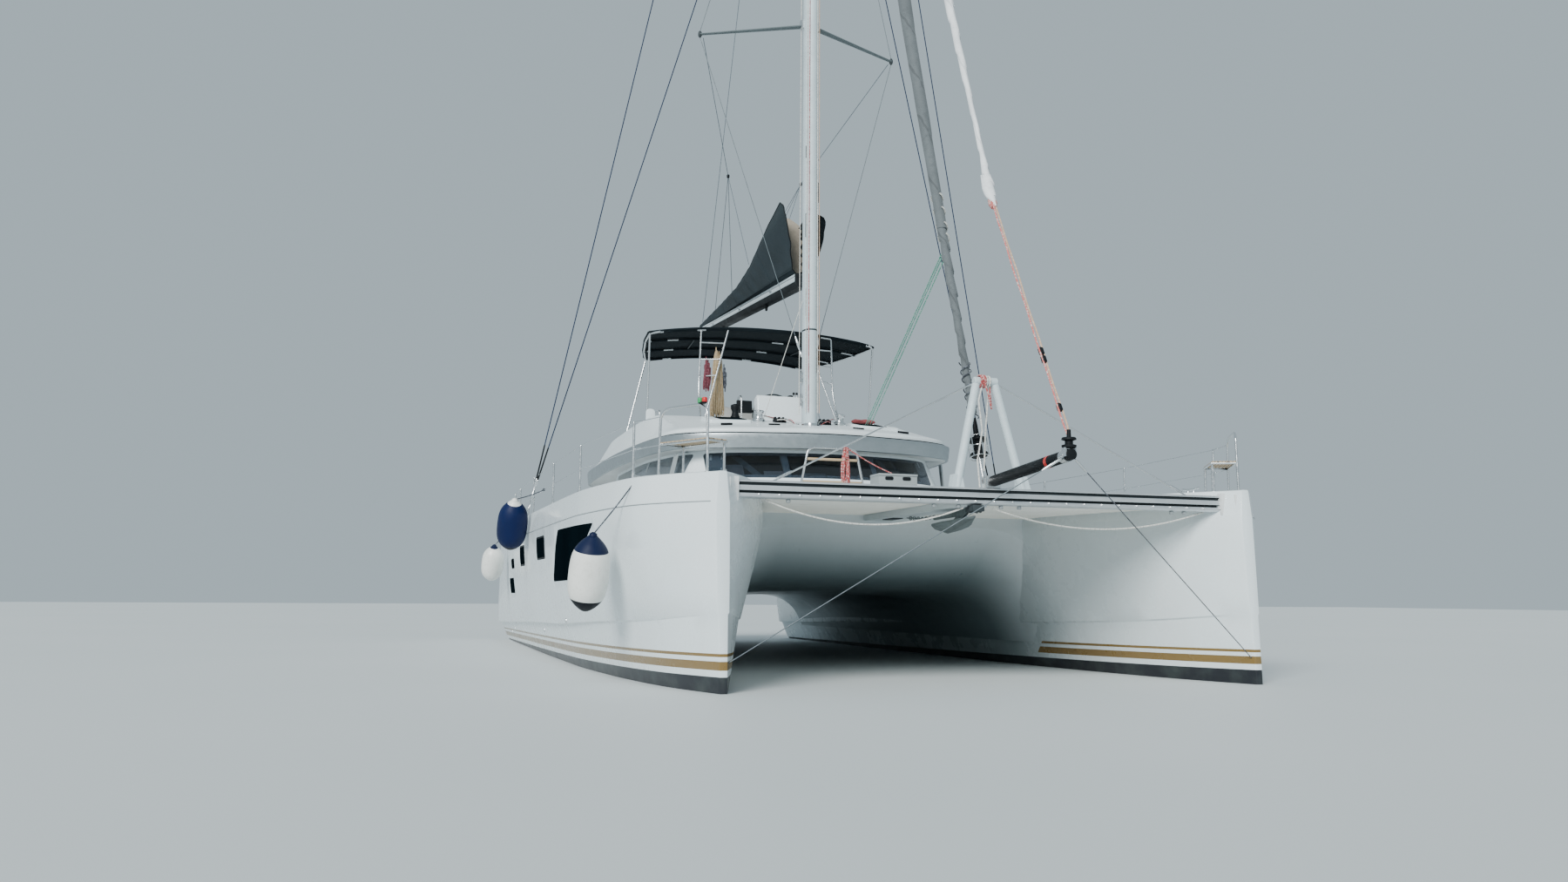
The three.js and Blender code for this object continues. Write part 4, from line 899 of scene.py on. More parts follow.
def makeHull(name, side):
    s = hullSize
    centre, above = side * s["centre"], 2.6
    hull = hullForm(side, 0.0, "hullShell_" + name)
    tools = [boxTool(front, -7.2, centre - s["wellHalf"], centre + s["wellHalf"], z, above) for front, z in s["floors"]]
    front, back, inner = s["passage"]
    tools.append(boxTool(front, back, side * inner, centre, s["landing"], above))
    slope = newShape()
    addPrism(slope, [(x, centre - 1.3, z) for x, z in ((-5.2, 1.9765), (-5.2, 2.6), (-7.2, 2.6), (-7.1, 0.62))], (0, 2.6, 0))
    front, back, half, thick, gap = s["lid"]
    tools += [toolFrom(slope),
              boxTool(front + 0.001, back - gap, centre - half - gap, centre + half + gap, s["landing"] - thick, above)]
    front, back, half, floorZ = s["pit"]
    tools.append(boxTool(front, back, centre - half, centre + half, floorZ, above))
    x, radius, topZ = s["bore"]
    bore, recess = newShape(), newShape()
    addTurned(bore, [(radius, 0), (radius, 1.05)], (x, centre, topZ - 1.05), (0, 0, 1), 20)
    large = roundedOutline(windowSize["large"], 0.06)
    skinPatch(recess, large, side, 0.2, -0.012)
    tools += [toolFrom(bore), toolFrom(recess)]
    rounded = lambda outline: roundedOutline(outline, windowSize["corner"])
    for outline in windowSize["upright"] + [windowSize["slot"]]:
        shallow = newShape()
        skinPatch(shallow, rounded(outline), side, 0.2, -0.008, columns=10)
        tools.append(toolFrom(shallow))
    carve(hull, tools)
    bevelEdges(hull, 0.006, 2, 38)
    placePiece(hull, "hull", "boat", "hull_" + name, 32)

    pane = newShape()
    middle = Vector((3.34, 1.31))
    inset = [tuple(Vector(p) + (middle - Vector(p)).normalized() * 0.004) for p in large]
    skinPatch(pane, inset, side, -0.002, -0.0115, 0, 30)
    finishShape("hullWindowPane_" + name, pane, "hullGlass", "boat", "hull_window_" + name)
    small = newShape()
    for outline in windowSize["upright"]:
        skinPatch(small, rounded(outline), side, -0.0005, -0.0075, 0, 10)
        middle = Vector((sum(p[0] for p in outline) / 4, sum(p[1] for p in outline) / 4))
        opening = [tuple(middle + (Vector(p) - middle) * 0.82) for p in outline]
        skinPatch(small, roundedOutline(opening, 0.03), side, 0.006, -0.001, 1, 10)
    skinPatch(small, rounded(windowSize["slot"]), side, -0.001, -0.0075, 1, 10)
    finishShape("smallLights_" + name, small, "black hullGlass")
    outlets = newShape()
    for x, z in s["outlets"]:
        addTurned(outlets, [(0.012, 0.006), (0.013, 0.012), (0.026, 0.010), (0.032, 0.0), (0.032, -0.02)],
                  (x, side * (s["centre"] + sideAt(x, z)), z), (0, side, 0), 16)
    finishShape("throughHullFittings_" + name, outlets, "steel")
    seam, line = newShape(), []
    for x in (-5.2 + 12.05 * k / 89 for k in range(90)):
        topsides = [p for p in hullSection(x, side) if p[2] >= s["joint"] - 1e-6 and side * p[1] > s["centre"]]
        line.append(Vector(min(topsides, key=lambda p: abs(p[2] - 1.706))) + Vector((0, side * 0.001, 0)))
    addTube(seam, line, 0.005, 6)
    finishShape("hullDeckSeam_" + name, seam, "greyPlastic")


for name, side in bothSides:
    makeHull(name, side)
print("hulls made")


# what hangs below the hulls

driveSize = {
    # z, fore end, aft end and half thickness of each level
    "keel": [(-0.25, 1.03, -1.78, 0.15), (-0.7, 0.94, -1.68, 0.142), (-1.1, 0.82, -1.6, 0.13), (-1.4, 0.73, -1.52, 0.108),
             (-1.448, 0.68, -1.47, 0.08)],
    "rudder": [(-1.25, -6.07, -6.47, 0.02), (-1.22, -6.058, -6.485, 0.026), (-0.8, -6.01, -6.545, 0.034),
               (-0.36, -5.985, -6.595, 0.041), (-0.33, -6.0, -6.58, 0.036)],
    "leg": [(-0.3, 0.128), (-0.45, 0.122), (-0.6, 0.117), (-0.72, 0.110), (-0.85, 0.105)],
    "torpedo": [(0.01, 0.0), (0.03, 0.004), (0.045, 0.012), (0.056, 0.05), (0.062, 0.09), (0.066, 0.17), (0.066, 0.25),
                (0.060, 0.34), (0.052, 0.41), (0.050, 0.42), (0.0, 0.42)],
    "hub": [(0.0, 0.0), (0.048, 0.0), (0.05, 0.004), (0.048, 0.06), (0.04, 0.09), (0.028, 0.12), (0.012, 0.129), (0, 0.13)],
    # radius, chord, pitch in degrees and shift of each level of a blade
    "blade": [(0.034, 0.075, 52, 0), (0.07, 0.10, 44, -0.004), (0.12, 0.124, 35, -0.008), (0.17, 0.118, 28, -0.006),
              (0.205, 0.086, 24, 0.002), (0.2255, 0.04, 22, 0.010)],
    "shaftZ": -0.85, "hubX": -5.4205,
}


def foilRings(rows, centre):
    half = [(1.0, 0.0), (0.985, 0.22), (0.94, 0.46), (0.85, 0.7), (0.7, 0.9), (0.55, 1.0), (0.4, 0.93), (0.2, 0.6), (0.0, 0.05)]
    ring = half + [(a, -w) for a, w in reversed(half) if w > 0]
    return [[(aft + (fore - aft) * a, centre + w * thick, z) for a, w in ring] for z, fore, aft, thick in rows]


def makeBelow(name, side):
    s = driveSize
    centre = side * hullSize["centre"]
    up, aftward = (0, 0, 1), (-1, 0, 0)
    keel, rudder, leg, screw = newShape(), newShape(), newShape(), newShape()
    addLoft(keel, foilRings(s["keel"], centre))
    finishShape("keelFin_" + name, keel, "antifoul", "boat", "keel_" + name, 40)
    addLoft(rudder, foilRings(s["rudder"], centre))
    addTurned(rudder, [(0.025, 0.0), (0.025, 0.5), (0.022, 0.504)], (-6.25, centre, -0.36), up, 20, 1)
    finishShape("rudderBlade_" + name, rudder, "antifoul steel", "rudder_" + name, "rudder_" + name, 40)
    addLoft(leg, [[(-5.15 + half * c, centre + half * 0.4 * q, z) for c, q in turns(24)] for z, half in s["leg"]])
    addTurned(leg, s["torpedo"], (-5.0, centre, s["shaftZ"]), aftward, 24)
    fin = [(-5.03, -0.9), (-5.3, -0.9), (-5.27, -1.0), (-5.16, -1.0)]
    addLoft(leg, [[(x, centre + w, z) for x, z in fin] for w in (-0.008, 0.008)])
    for k in range(4):
        addBox(leg, (-5.2 + 0.025 * k, centre - 0.048, -0.66), (-5.19 + 0.025 * k, centre + 0.048, -0.58), 1)
    finishShape("driveLeg_" + name, leg, "legAlloy darkGrey", "boat", "saildrive_" + name, 40)
    addTurned(screw, s["hub"], (s["hubX"], centre, s["shaftZ"]), aftward, 24)
    section = ((1, 0), (0.7, 0.5), (0.3, 0.85), (-0.2, 0.9), (-0.7, 0.5), (-1, 0), (-0.7, -0.35), (0, -0.5), (0.7, -0.35))
    for turn in (0, 120, 240):
        spin = Matrix.Rotation(math.radians(turn), 4, "X")
        rings = []
        for r, chord, pitch, off in s["blade"]:
            twist = Matrix.Rotation(math.radians(90 - pitch), 3, "Z")
            flat = [twist @ Vector((w * 0.0065, a * chord / 2 + off, 0)) for a, w in section]
            rings.append([spin @ Vector((s["hubX"] - 0.06 + c.x, c.y, r)) + Vector((0, centre, s["shaftZ"])) for c in flat])
        addLoft(screw, rings)
    finishShape("bladedPropeller_" + name, screw, "bronze", "propeller_" + name, "propeller_" + name, 40)
    engine = newShape()
    x0, x1, half, low = -4.74, -5.34, 0.23, -0.1197
    addBox(engine, (x1, centre - half, low), (x0, centre + half, low + 0.10), 1)
    addBox(engine, (x1 + 0.04, centre - 0.15, low + 0.10), (x0 - 0.05, centre + 0.15, 0.38))
    addBox(engine, (x1 + 0.07, centre - 0.11, 0.38), (x0 - 0.08, centre + 0.11, 0.50))
    addTurned(engine, [(0.05, 0), (0.05, 0.012), (0.034, 0.02), (0.034, 0.06)], (-5.0, centre + 0.02, 0.50), up, 20, 1)
    addTurned(engine, [(0.055, 0), (0.06, 0.01), (0.06, 0.18), (0.05, 0.2)], (-4.9, centre + 0.165, 0.05), up, 20, 1)
    addTurned(engine, [(0.1, 0), (0.1, 0.03), (0.06, 0.035), (0.06, 0.045)], (x0 - 0.05, centre, 0.16), (1, 0, 0), 24, 1)
    for x in (-4.87 - 0.11 * k for k in range(4)):
        addTurned(engine, [(0.02, 0), (0.02, 0.04), (0.012, 0.045)], (x, centre - 0.05, 0.50), up, 10, 1)
        elbow = [(x, centre - out, z) for out, z in ((0.15, 0.30), (0.2, 0.30), (0.2, 0.18))]
        addTube(engine, roundedPath(elbow, 0.03), 0.016, 8, 1)
    finishShape("engineBlock_" + name, engine, "enginePaint black", "boat", "engine_" + name, 40, 0.008)


for name, side in bothSides:
    makeBelow(name, side)
print("keels, rudders and drives made")


# bridgedeck between the hulls

bridgeSize = {
    "front": 3.949, "back": -5.499, "half": 2.3, "top": 1.975, "sole": 1.06, "well": 1.7, "wellFront": 2.15,
    "tunnel": [(4.3, 2.1), (3.951, 1.7), (3.7, 1.35), (3.3, 1.11), (2.7, 0.96), (1.5, 0.88), (-1.5, 0.9), (-5.8, 0.9)],
    "arch": [(0.0, 0.0), (0.6, 0.004), (1.15, 0.016), (1.48, 0.055), (1.72, 0.15), (1.9, 0.31), (2.02, 0.52)],
    "lids": [(2.62, 3.42, 0.55, 1.75), (2.62, 3.42, -1.75, -0.55), (2.9, 3.6, -0.34, 0.34)],
}


def makeBridgedeck():
    s = bridgeSize
    deck, tunnel = newShape(), newShape()
    addBox(deck, (s["back"], -s["half"], 0.3), (s["front"], s["half"], s["top"]))
    shell = toolFrom(deck, "bridgeShell")
    roof = [(p.x, p.z) for p in smoothPath([(x, 0, z) for x, z in s["tunnel"][:6]], 7)] + s["tunnel"][6:]
    arch = [(p.x, p.y) for p in smoothPath([(y, d, 0) for y, d in s["arch"]], 3)]
    rings = []
    for x, z in roof:
        half = [(y, z - drop) for y, drop in arch] + [(2.7, -1.2)]
        rings.append([(x, y, zz) for y, zz in half] + [(x, -y, zz) for y, zz in reversed(half) if y > 0])
    addLoft(tunnel, rings)
    above = 2.5
    tools = [toolFrom(tunnel), boxTool(s["wellFront"], -4.95, -s["well"], s["well"], s["sole"], above),
             boxTool(-4.9, -5.35, -s["well"], s["well"], 1.5, above)]
    front, back, inner = hullSize["passage"]
    tools += [boxTool(front, back, side * inner, side * 2.4, hullSize["landing"], above) for _, side in bothSides]
    tools += [hullForm(side, 0.0006, "hullTool") for _, side in bothSides]
    wide, low, high = 0.008, s["top"] - 0.012, s["top"] + 0.1
    for x0, x1, y0, y1 in s["lids"]:
        tools += [boxTool(x0, x1, a, a + wide, low, high) for a in (y0, y1 - wide)]
        tools += [boxTool(a, a + wide, y0, y1, low, high) for a in (x0, x1 - wide)]
    carve(shell, tools)
    bevelEdges(shell, 0.012, 3, 38)
    nodes = ["bridgedeck", "cockpit_bench"] + [part + name for name, _ in bothSides for part in ("side_deck_", "cockpit_side_")]
    placePiece(shell, "deck", "boat", nodes, 30)


# deckhouse

houseSize = {
    "foot": [(2.4, 0), (2.28, 0.8), (2.04, 1.42), (1.66, 1.82), (1.18, 2.04), (0.6, 2.13), (-0.2, 2.2), (-2.6, 2.22)],
    "head": [(1.76, 0), (1.66, 0.72), (1.46, 1.3), (1.18, 1.66), (0.82, 1.86), (0.4, 1.96), (-0.3, 2.08), (-2.6, 2.1)],
    "footZ": 1.9753, "headZ": 2.7997, "wall": 0.07, "glass": 0.012,
    # across or along, then height: low and high corner of the glazed bands and of the openings in them
    "frontBand": (-1.62, 1.62, 2.4, 2.76), "sideBand": (-2.42, 1.15, 2.15, 2.76),
    "frontOpenings": ((-0.58, 0.58), (0.66, 1.4), (-1.4, -0.66)), "sideOpenings": ((-2.3, -0.48), (-0.33, 0.9)),
}


def smoothHalf(half, steps=6):
    # a mirrored outline with a rounded nose and a square aft end
    full = [(x, -y, 0) for x, y in reversed(half) if y > 0] + atHeight(half, 0)
    return [(p.x, p.y) for p in smoothPath(full, steps)]


def houseForm(shrink, name="houseForm", lower=0.0, higher=0.0):
    s = houseSize
    foot, head = [insetOutline(smoothHalf(s[end]), shrink) for end in ("foot", "head")]
    def level(z):
        t = (z - s["footZ"]) / (s["headZ"] - s["footZ"])
        return [(a[0] + (b[0] - a[0]) * t, a[1] + (b[1] - a[1]) * t, z) for a, b in zip(foot, head)]
    shape = newShape()
    addLoft(shape, [level(z) for z in (s["footZ"] - lower, 2.15, 2.3, 2.45, 2.6, s["headZ"] + higher)])
    return toolFrom(shape, name)


def bandCut(skin, outline, way):
    # what a rounded outline, carried forward (way 0) or out to one side, holds of a skin
    shape = newShape()
    rounded = roundedOutline(outline, 0.05)
    if way:
        addPrism(shape, [(x, way * 1.66, z) for x, z in rounded], (0, way * 0.8, 0))
    else:
        addPrism(shape, [(1.25, y, z) for y, z in rounded], (1.6, 0, 0))
    return carve(newObject("bandCut", skin.data.copy()), [toolFrom(shape)], "INTERSECT")


def makeDeckhouse():
    s = houseSize
    front, side = rectangle(*s["frontBand"]), rectangle(*s["sideBand"])
    bands = [("front", front, 0), ("side", side, -1), ("side", side, 1)]
    walls = houseForm(0, "cabinWalls")
    carve(walls, [houseForm(s["wall"], "inner", 0.01, 0.01)])
    recess = houseForm(-0.05, "recess", 0.05, 0.05)
    carve(recess, [houseForm(s["glass"] + 0.0006, "core", 0.06, 0.06)], solver="EXACT")
    tools = [bandCut(recess, outline, way) for _, outline, way in bands]
    bpy.data.objects.remove(recess)
    tools += [boxTool(1.3, 2.8, y0, y1, 2.44, 2.72) for y0, y1 in s["frontOpenings"]]
    tools += [boxTool(x0, x1, side * 1.7, side * 2.4, 2.2, 2.72) for _, side in bothSides for x0, x1 in s["sideOpenings"]]
    tools.append(boxTool(-2.5, -2.7, -2.045, 2.045, 1.9, 2.9))
    carve(walls, tools)
    mats = "mould lining"
    walls.data.materials.clear()
    for look in lookList(mats):
        walls.data.materials.append(look)
    # inner faces forward of the aft bulkhead take the dark lining: painted shade inside the saloon
    for face in walls.data.polygons:
        inward = (face.center.x + 0.3) * face.normal.x + face.center.y * face.normal.y < -0.2
        face.material_index = 1 if inward and face.center.x > -2.5 else 0
    bevelEdges(walls, 0.006, 2, 40)
    placePiece(walls, mats, "boat", "cabin_walls", 35)
    # a dark sheet under the roof: painted shade inside the saloon
    roof = newShape()
    addLoft(roof, [atHeight(insetOutline(smoothHalf(s["head"]), 0.074), z) for z in (2.786, 2.798)])
    finishShape("headlining", roof, "lining")

    skin = houseForm(0, "glassSkin")
    carve(skin, [houseForm(s["glass"], "glassCore", 0.01, 0.01)], solver="EXACT")
    for kind, outline, way in bands:
        middle = Vector((sum(p[0] for p in outline) / 4, sum(p[1] for p in outline) / 4))
        small = [tuple(Vector(p) + (middle - Vector(p)).normalized() * 0.0012) for p in outline]
        pane = bandCut(skin, small, way)
        end = {0: "", -1: "_starboard", 1: "_port"}[way]
        pane.name = "glazing_" + kind + end
        placePiece(pane, kind + "Glass", "boat", kind + "_glazing" + end, 40)
    bpy.data.objects.remove(skin)

    trim = newShape()
    z0, z1 = 2.41, 2.75
    t0, t1 = [(z - s["footZ"]) / (s["headZ"] - s["footZ"]) for z in (z0, z1)]
    for y in (-0.62, 0.62):
        noseX = lambda t: 2.4 - 0.64 * t - 0.19 * (y / 0.8) ** 2 + 0.004
        addPrism(trim, [(noseX(t0), y - 0.022, z0), (noseX(t0), y + 0.022, z0), (noseX(t1), y + 0.022, z1),
                        (noseX(t1), y - 0.022, z1)], (-0.012, 0, 0))
    wide = 0.06
    for _, side in bothSides:
        for (xa, za), (xb, zb) in (((-0.62, 2.19), (-0.14, 2.75)), ((1.02, 2.19), (1.12, 2.75))):
            on = lambda x, z: (x, side * (2.205 - 0.14 * (z - 1.975) / 0.82 - 0.075 * max(0, x + 0.2) ** 1.6 + 0.006), z)
            addPrism(trim, [on(xa - wide, za), on(xa + wide, za), on(xb + wide, zb), on(xb - wide, zb)], (0, -side * 0.02, 0))
    finishShape("windowMullions", trim, "greyPlastic")
    inside = newShape()
    nose = lambda y, z: 2.4 - 0.776 * (z - 1.975) - 0.14 * (abs(y) / 0.8) ** 2.2 - 0.075
    def panel(y0, y1, z0, z1, y2, y3, mat=0, depth=0.008):
        corners = [(y0, z0), (y1, z0), (y2, z1), (y3, z1)]
        addPrism(inside, [(nose(y, z), y, z) for y, z in corners], (-depth, 0, 0), mat)
    for a, b, high in ((-1.38, -1.14, 2.60), (-0.90, -0.60, 2.50), (0.70, 0.80, 2.52)):
        panel(a, b, 2.45, high, b, a)
    for y0, y1, wide in ((-0.98, -1.2, 0.05), (0.97, 0.78, 0.045), (1.15, 1.02, 0.02)):
        panel(y0 - wide, y0 + wide, 2.45, 2.71, y1 + wide, y1 - wide, 1, 0.02)
    for y in (-0.25, 0.3):
        panel(y - 0.16, y + 0.16, 2.45, 2.475, y + 0.15, y - 0.15, 1, 0.05)
    finishShape("cabinBlinds", inside, "blind greyPlastic")


def makeDeckCorners():
    # deck between the square saloon well and the rounded foot of the deckhouse
    well, back = 1.703, 2.153
    curve = [p for p in smoothHalf(houseSize["foot"], 8) if 1.25 < p[1] < 1.74]
    shape = newShape()
    for _, side in bothSides:
        ring = [(back, side * 1.25), (back, side * well)] + [(x - 0.03, side * min(y, well)) for x, y in reversed(curve)]
        addPrism(shape, atHeight(ring, 1.93), (0, 0, 0.0449))
    finishShape("deckCorners", shape, "deck")


makeBridgedeck()
makeDeckhouse()
makeDeckCorners()


# aft bulkhead, door and what stands inside

def makeBulkhead():
    smoothCopy("aft_bulkhead", "aftBulkhead", "mould", "boat", 0.006)
    smoothCopy("saloon_door", "doorFrame", "alloy", "saloon_door", 0.003)
    smoothCopy("saloon_door_glass", "doorPane", "sideGlass", "saloon_door", 0.001)
    pull, light, rail = newShape(), newShape(), newShape()
    handle = [(-2.652, 0.05, 1.85), (-2.70, 0.05, 1.85), (-2.70, 0.05, 2.15), (-2.652, 0.05, 2.15)]
    addTube(pull, roundedPath(handle, 0.02), 0.009, 10)
    finishShape("doorPull", pull, "steel", "saloon_door")
    addBox(light, (-2.592, -0.895, 1.505), (-2.584, -0.065, 2.615))
    finishShape("bulkheadLight", light, "sideGlass", bevel=0.001)
    addBox(rail, (-2.606, -0.96, 2.70), (-2.66, 1.02, 2.735))
    for y in (-0.9, 0.0, 0.5, 1.0):
        addTurned(rail, [(0.006, 0), (0.006, 0.004)], (-2.66, y, 2.717), (-1, 0, 0), 10)
    finishShape("doorTopRail", rail, "alloy", bevel=0.002)


def cushionForm(name, low, high, mats):
    # a box-shaped cushion: crowned faces, sides that pull in between the corners, a sewn edge
    crown = 0.02
    work = bmesh.new()
    bmesh.ops.create_cube(work, size=1)
    bmesh.ops.subdivide_edges(work, edges=work.edges[:], cuts=9, use_grid_fill=True)
    size, middle = Vector(high) - Vector(low), (Vector(high) + Vector(low)) / 2
    thin = min(range(3), key=lambda k: size[k])
    a, b = [k for k in range(3) if k != thin]
    for v in work.verts:
        c = v.co * 2
        swell = (1 - c[a] ** 2) * (1 - c[b] ** 2)
        local = Vector([c[k] * size[k] / 2 for k in range(3)])
        for k, other in ((a, b), (b, a)):
            if abs(c[k]) > 0.99:
                local[k] -= math.copysign(0.012 * (1 - c[other] ** 2) + 0.010 * c[thin] ** 2, c[k])
        if c[thin] > 0.99:
            local[thin] += crown * swell ** 0.6 - crown
        if c[thin] > 0:
            local[thin] += 0.0025 * noise.noise(v.co * size * 7 + Vector((len(name), 0, 0)))
        v.co = middle + local
    mesh = bpy.data.meshes.new(name)
    work.to_mesh(mesh)
    work.free()
    obj = newObject(name, mesh)
    bevelEdges(obj, 0.02, 3, 60)
    sub = obj.modifiers.new("soft", "SUBSURF")
    sub.levels = sub.render_levels = 1
    applyModifiers(obj)
    placePiece(obj, mats, "boat", (), 80)


def makeSaloon():
    shape = newShape()
    sole, seat, outer = 1.0603, 1.36, 1.699
    for low, high, mat in (
            ((-2.2, -outer, sole), (1.19, -1.08, 1.87), 0), ((-2.2, -outer, 1.87), (1.2, -1.07, 1.90), 1),
            ((1.2, -outer, sole), (2.1497, outer, seat), 0), ((-0.7, 0.95, sole), (1.2, outer, seat), 0),
            ((-0.7, 1.58, seat), (1.2, outer, 1.8), 0), ((0.25, 0.15, sole), (0.45, 0.95, 1.1), 2)):
        addBox(shape, low, high, mat)
    addTurned(shape, [(0.06, 0), (0.06, 0.62)], (0.35, 0.25, 1.1), (0, 0, 1), 20, 2)
    addPrism(shape, atHeight(roundedOutline(rectangle(-0.15, 0.85, -0.15, 0.7), 0.08), 1.72), (0, 0, 0.04))
    addBox(shape, (-2.0, -1.45, 1.88), (-1.5, -1.15, 1.906), 2)
    finishShape("saloonJoinery", shape, "joinery liner steel", "boat", "saloon_furniture", 35, 0.006)
    for k, (a, b) in enumerate(((-0.68, 0.24), (0.26, 1.18))):
        cushionForm("settee_port_%d" % k, (a, 0.96, 1.361), (b, 1.56, 1.48), "greySeat")
        cushionForm("setteeBack_port_%d" % k, (a, 1.46, 1.49), (b, 1.575, 1.86), "greySeat")
    for k, (a, b) in enumerate(((-1.6, -0.55), (-0.53, 0.53), (0.55, 1.6))):
        cushionForm("settee_fore_%d" % k, (1.22, a, 1.361), (1.98, b, 1.48), "greySeat")
        cushionForm("setteeBack_fore_%d" % k, (1.99, a, 1.49), (2.12, b, 1.84), "greySeat")


def makeCockpit():
    for k, (a, b) in enumerate(((-1.68, -0.57), (-0.56, 0.56), (0.57, 1.68))):
        cushionForm("cockpitSeat_%d" % k, (-5.34, a, 1.501), (-4.92, b, 1.59), "seatCloth")
        cushionForm("cockpitBack_%d" % k, (-5.345, a, 1.60), (-5.25, b, 1.97), "seatCloth")
    sole, lights = newShape(), newShape()
    addBox(sole, (-4.94, -1.66, 1.0605), (-2.67, 1.0, 1.066))
    finishShape("cockpitSole", sole, "teakFore", bevel=0.001)
    for x, y in ((x, y) for x in (-4.8, -4.1, -3.0) for y in (-1.3, 0.0)):
        addTurned(lights, [(0.045, 0.0), (0.045, -0.006), (0.036, -0.009), (0.0, -0.009)], (x, y, 2.92), (0, 0, 1), 16)
    finishShape("ceilingLights", lights, "whitePlastic")


makeBulkhead()
makeSaloon()
makeCockpit()
print("deckhouse and cockpit made")


# roof, its silver band and the flybridge moulding

roofSize = {
    "outline": [(2.0, 0), (1.88, 0.8), (1.62, 1.6), (1.26, 2.03), (0.6, 2.21), (-1.0, 2.345), (-2.8, 2.36), (-4.7, 2.27),
                (-5.2, 2.13), (-5.6, 1.8)],
    "coaming": [(-0.26, 0), (-0.28, 0.7), (-0.32, 1.3), (-0.37, 1.74), (-0.43, 1.9), (-1.0, 1.985), (-2.6, 2.0),
                (-4.2, 1.93), (-4.33, 1.85), (-4.4, 1.7)],
    "low": 2.8, "head": 3.5, "sole": 3.08, "ceiling": 2.92,
    "post": [(0.075, 0.0003), (0.075, 0.008), (0.066, 0.014), (0.038, 0.016), (0.038, 0.806), (0.064, 0.81), (0.072, 0.8245)],
    "winch": [(0.095, -0.05), (0.095, 0.02), (0.085, 0.03), (0.062, 0.045), (0.055, 0.075), (0.058, 0.1), (0.075, 0.12),
              (0.078, 0.145), (0.06, 0.155), (0.025, 0.16), (0.02, 0.15)],
    "stairHole": (-3.45, -4.45, 0.95, 1.65),
}


def closedSmooth(half):
    # mirrored and rounded on both sides, with a straight aft edge
    curve = smoothHalf(half)
    start, end = Vector(curve[0]), Vector(curve[-1])
    return curve + [tuple(end.lerp(start, k / 8)) for k in range(1, 8)]


def makeRoof():
    s = roofSize
    outline = closedSmooth(s["outline"])
    level = lambda inset, z: atHeight(insetOutline(outline, inset), z)
    def stacked(levels, name="tool"):
        shape = newShape()
        addLoft(shape, [level(inset, z) for inset, z in levels])
        return toolFrom(shape, name)
    ring = stacked([(0.030, s["low"]), (0.022, 2.806), (0.012, 2.87), (0.004, 2.94), (0.0005, 2.985), (0.003, 2.996),
                    (0.010, 3.0)], "silverBand")
    carve(ring, [stacked([(0.06, 2.7), (0.06, 3.1)])])
    placePiece(ring, "silver", "boat", "roof_fascia", 40)
    # a black ring in the gap between the silver band and the roof: painted shade in the gap
    gapShade = stacked([(0.052, 2.99), (0.052, 3.0195)], "bandGasket")
    carve(gapShade, [stacked([(0.0597, 2.9), (0.0597, 3.1)])])
    placePiece(gapShade, "black")
    roof = stacked([(0.0603, 2.8002), (0.0603, 3.0197)], "coachroofSlab")
    x0, x1, y0, y1 = s["stairHole"]
    carve(roof, [boxTool(1.05, -5.33, -1.8, 1.8, 2.6, s["ceiling"]), boxTool(x0, x1, y0, y1, 2.7, 3.6)])
    bevelEdges(roof, 0.008, 2, 38)
    placePiece(roof, "liner", "boat", "coachroof", 35)

    head = closedSmooth(s["coaming"])
    shelf = 3.1
    mid = lambda t: [(a[0] + (b[0] - a[0]) * t, a[1] + (b[1] - a[1]) * t) for a, b in zip(insetOutline(outline, 0.15), head)]
    rings = [level(inset, z) for inset, z in ((0.078, 3.02), (0.075, 3.03), (0.082, 3.062), (0.105, 3.085), (0.15, shelf))]
    rings += [atHeight(mid(t), shelf + (s["head"] - shelf) * t) for t in (0.25, 0.5, 0.75, 0.92, 0.975)]
    rings += [atHeight(insetOutline(head, 0.008), s["head"] - 0.004), atHeight(insetOutline(head, 0.03), s["head"])]
    moulding, notch = newShape(), newShape()
    addLoft(moulding, rings)
    fly = toolFrom(moulding, "flybridgeMoulding")
    step = boxTool(0.73, 1.19, -0.19, 0.19, 3.06, 3.22)
    addLoft(notch, [[(x, y, z) for x, y in ((0.25, -half), (0.25, half), (-0.8, half), (-0.8, -half))]
                    for half, z in ((0.72, 3.29), (0.86, 3.7))])
    carve(fly, [step], "UNION", "EXACT")
    above = 3.7
    carve(fly, [boxTool(-0.78, -4.25, -1.7, 1.7, s["sole"], above), toolFrom(notch), boxTool(-4.4, -6.1, -2.3, 2.3, 3.16, above),
                boxTool(x0, x1, y0, y1, 2.9, above), boxTool(-4.2, -4.5, 0.9, 1.7, s["sole"], above),
                boxTool(0.731, 1.189, -0.189, 0.189, 3.22, above)])
    bevelEdges(fly, 0.014, 3, 38)
    placePiece(fly, "deck", "boat", "flybridge", 32)
    for name, side in bothSides:
        post = newShape()
        addTurned(post, s["post"], (-5.425, side * 1.6, 1.975), (0, 0, 1), 24)
        finishShape("roofPost_" + name, post, "alloy", "boat", "roof_post_" + name, 40)


def roofSlope(x, y):
    # height of the sloping front of the moulding
    foot = 1.85 - 0.10 * abs(y) ** 2.2
    return 3.1 + 0.4 * min(1.0, max(0.0, (foot - x) / (foot + 0.26)))


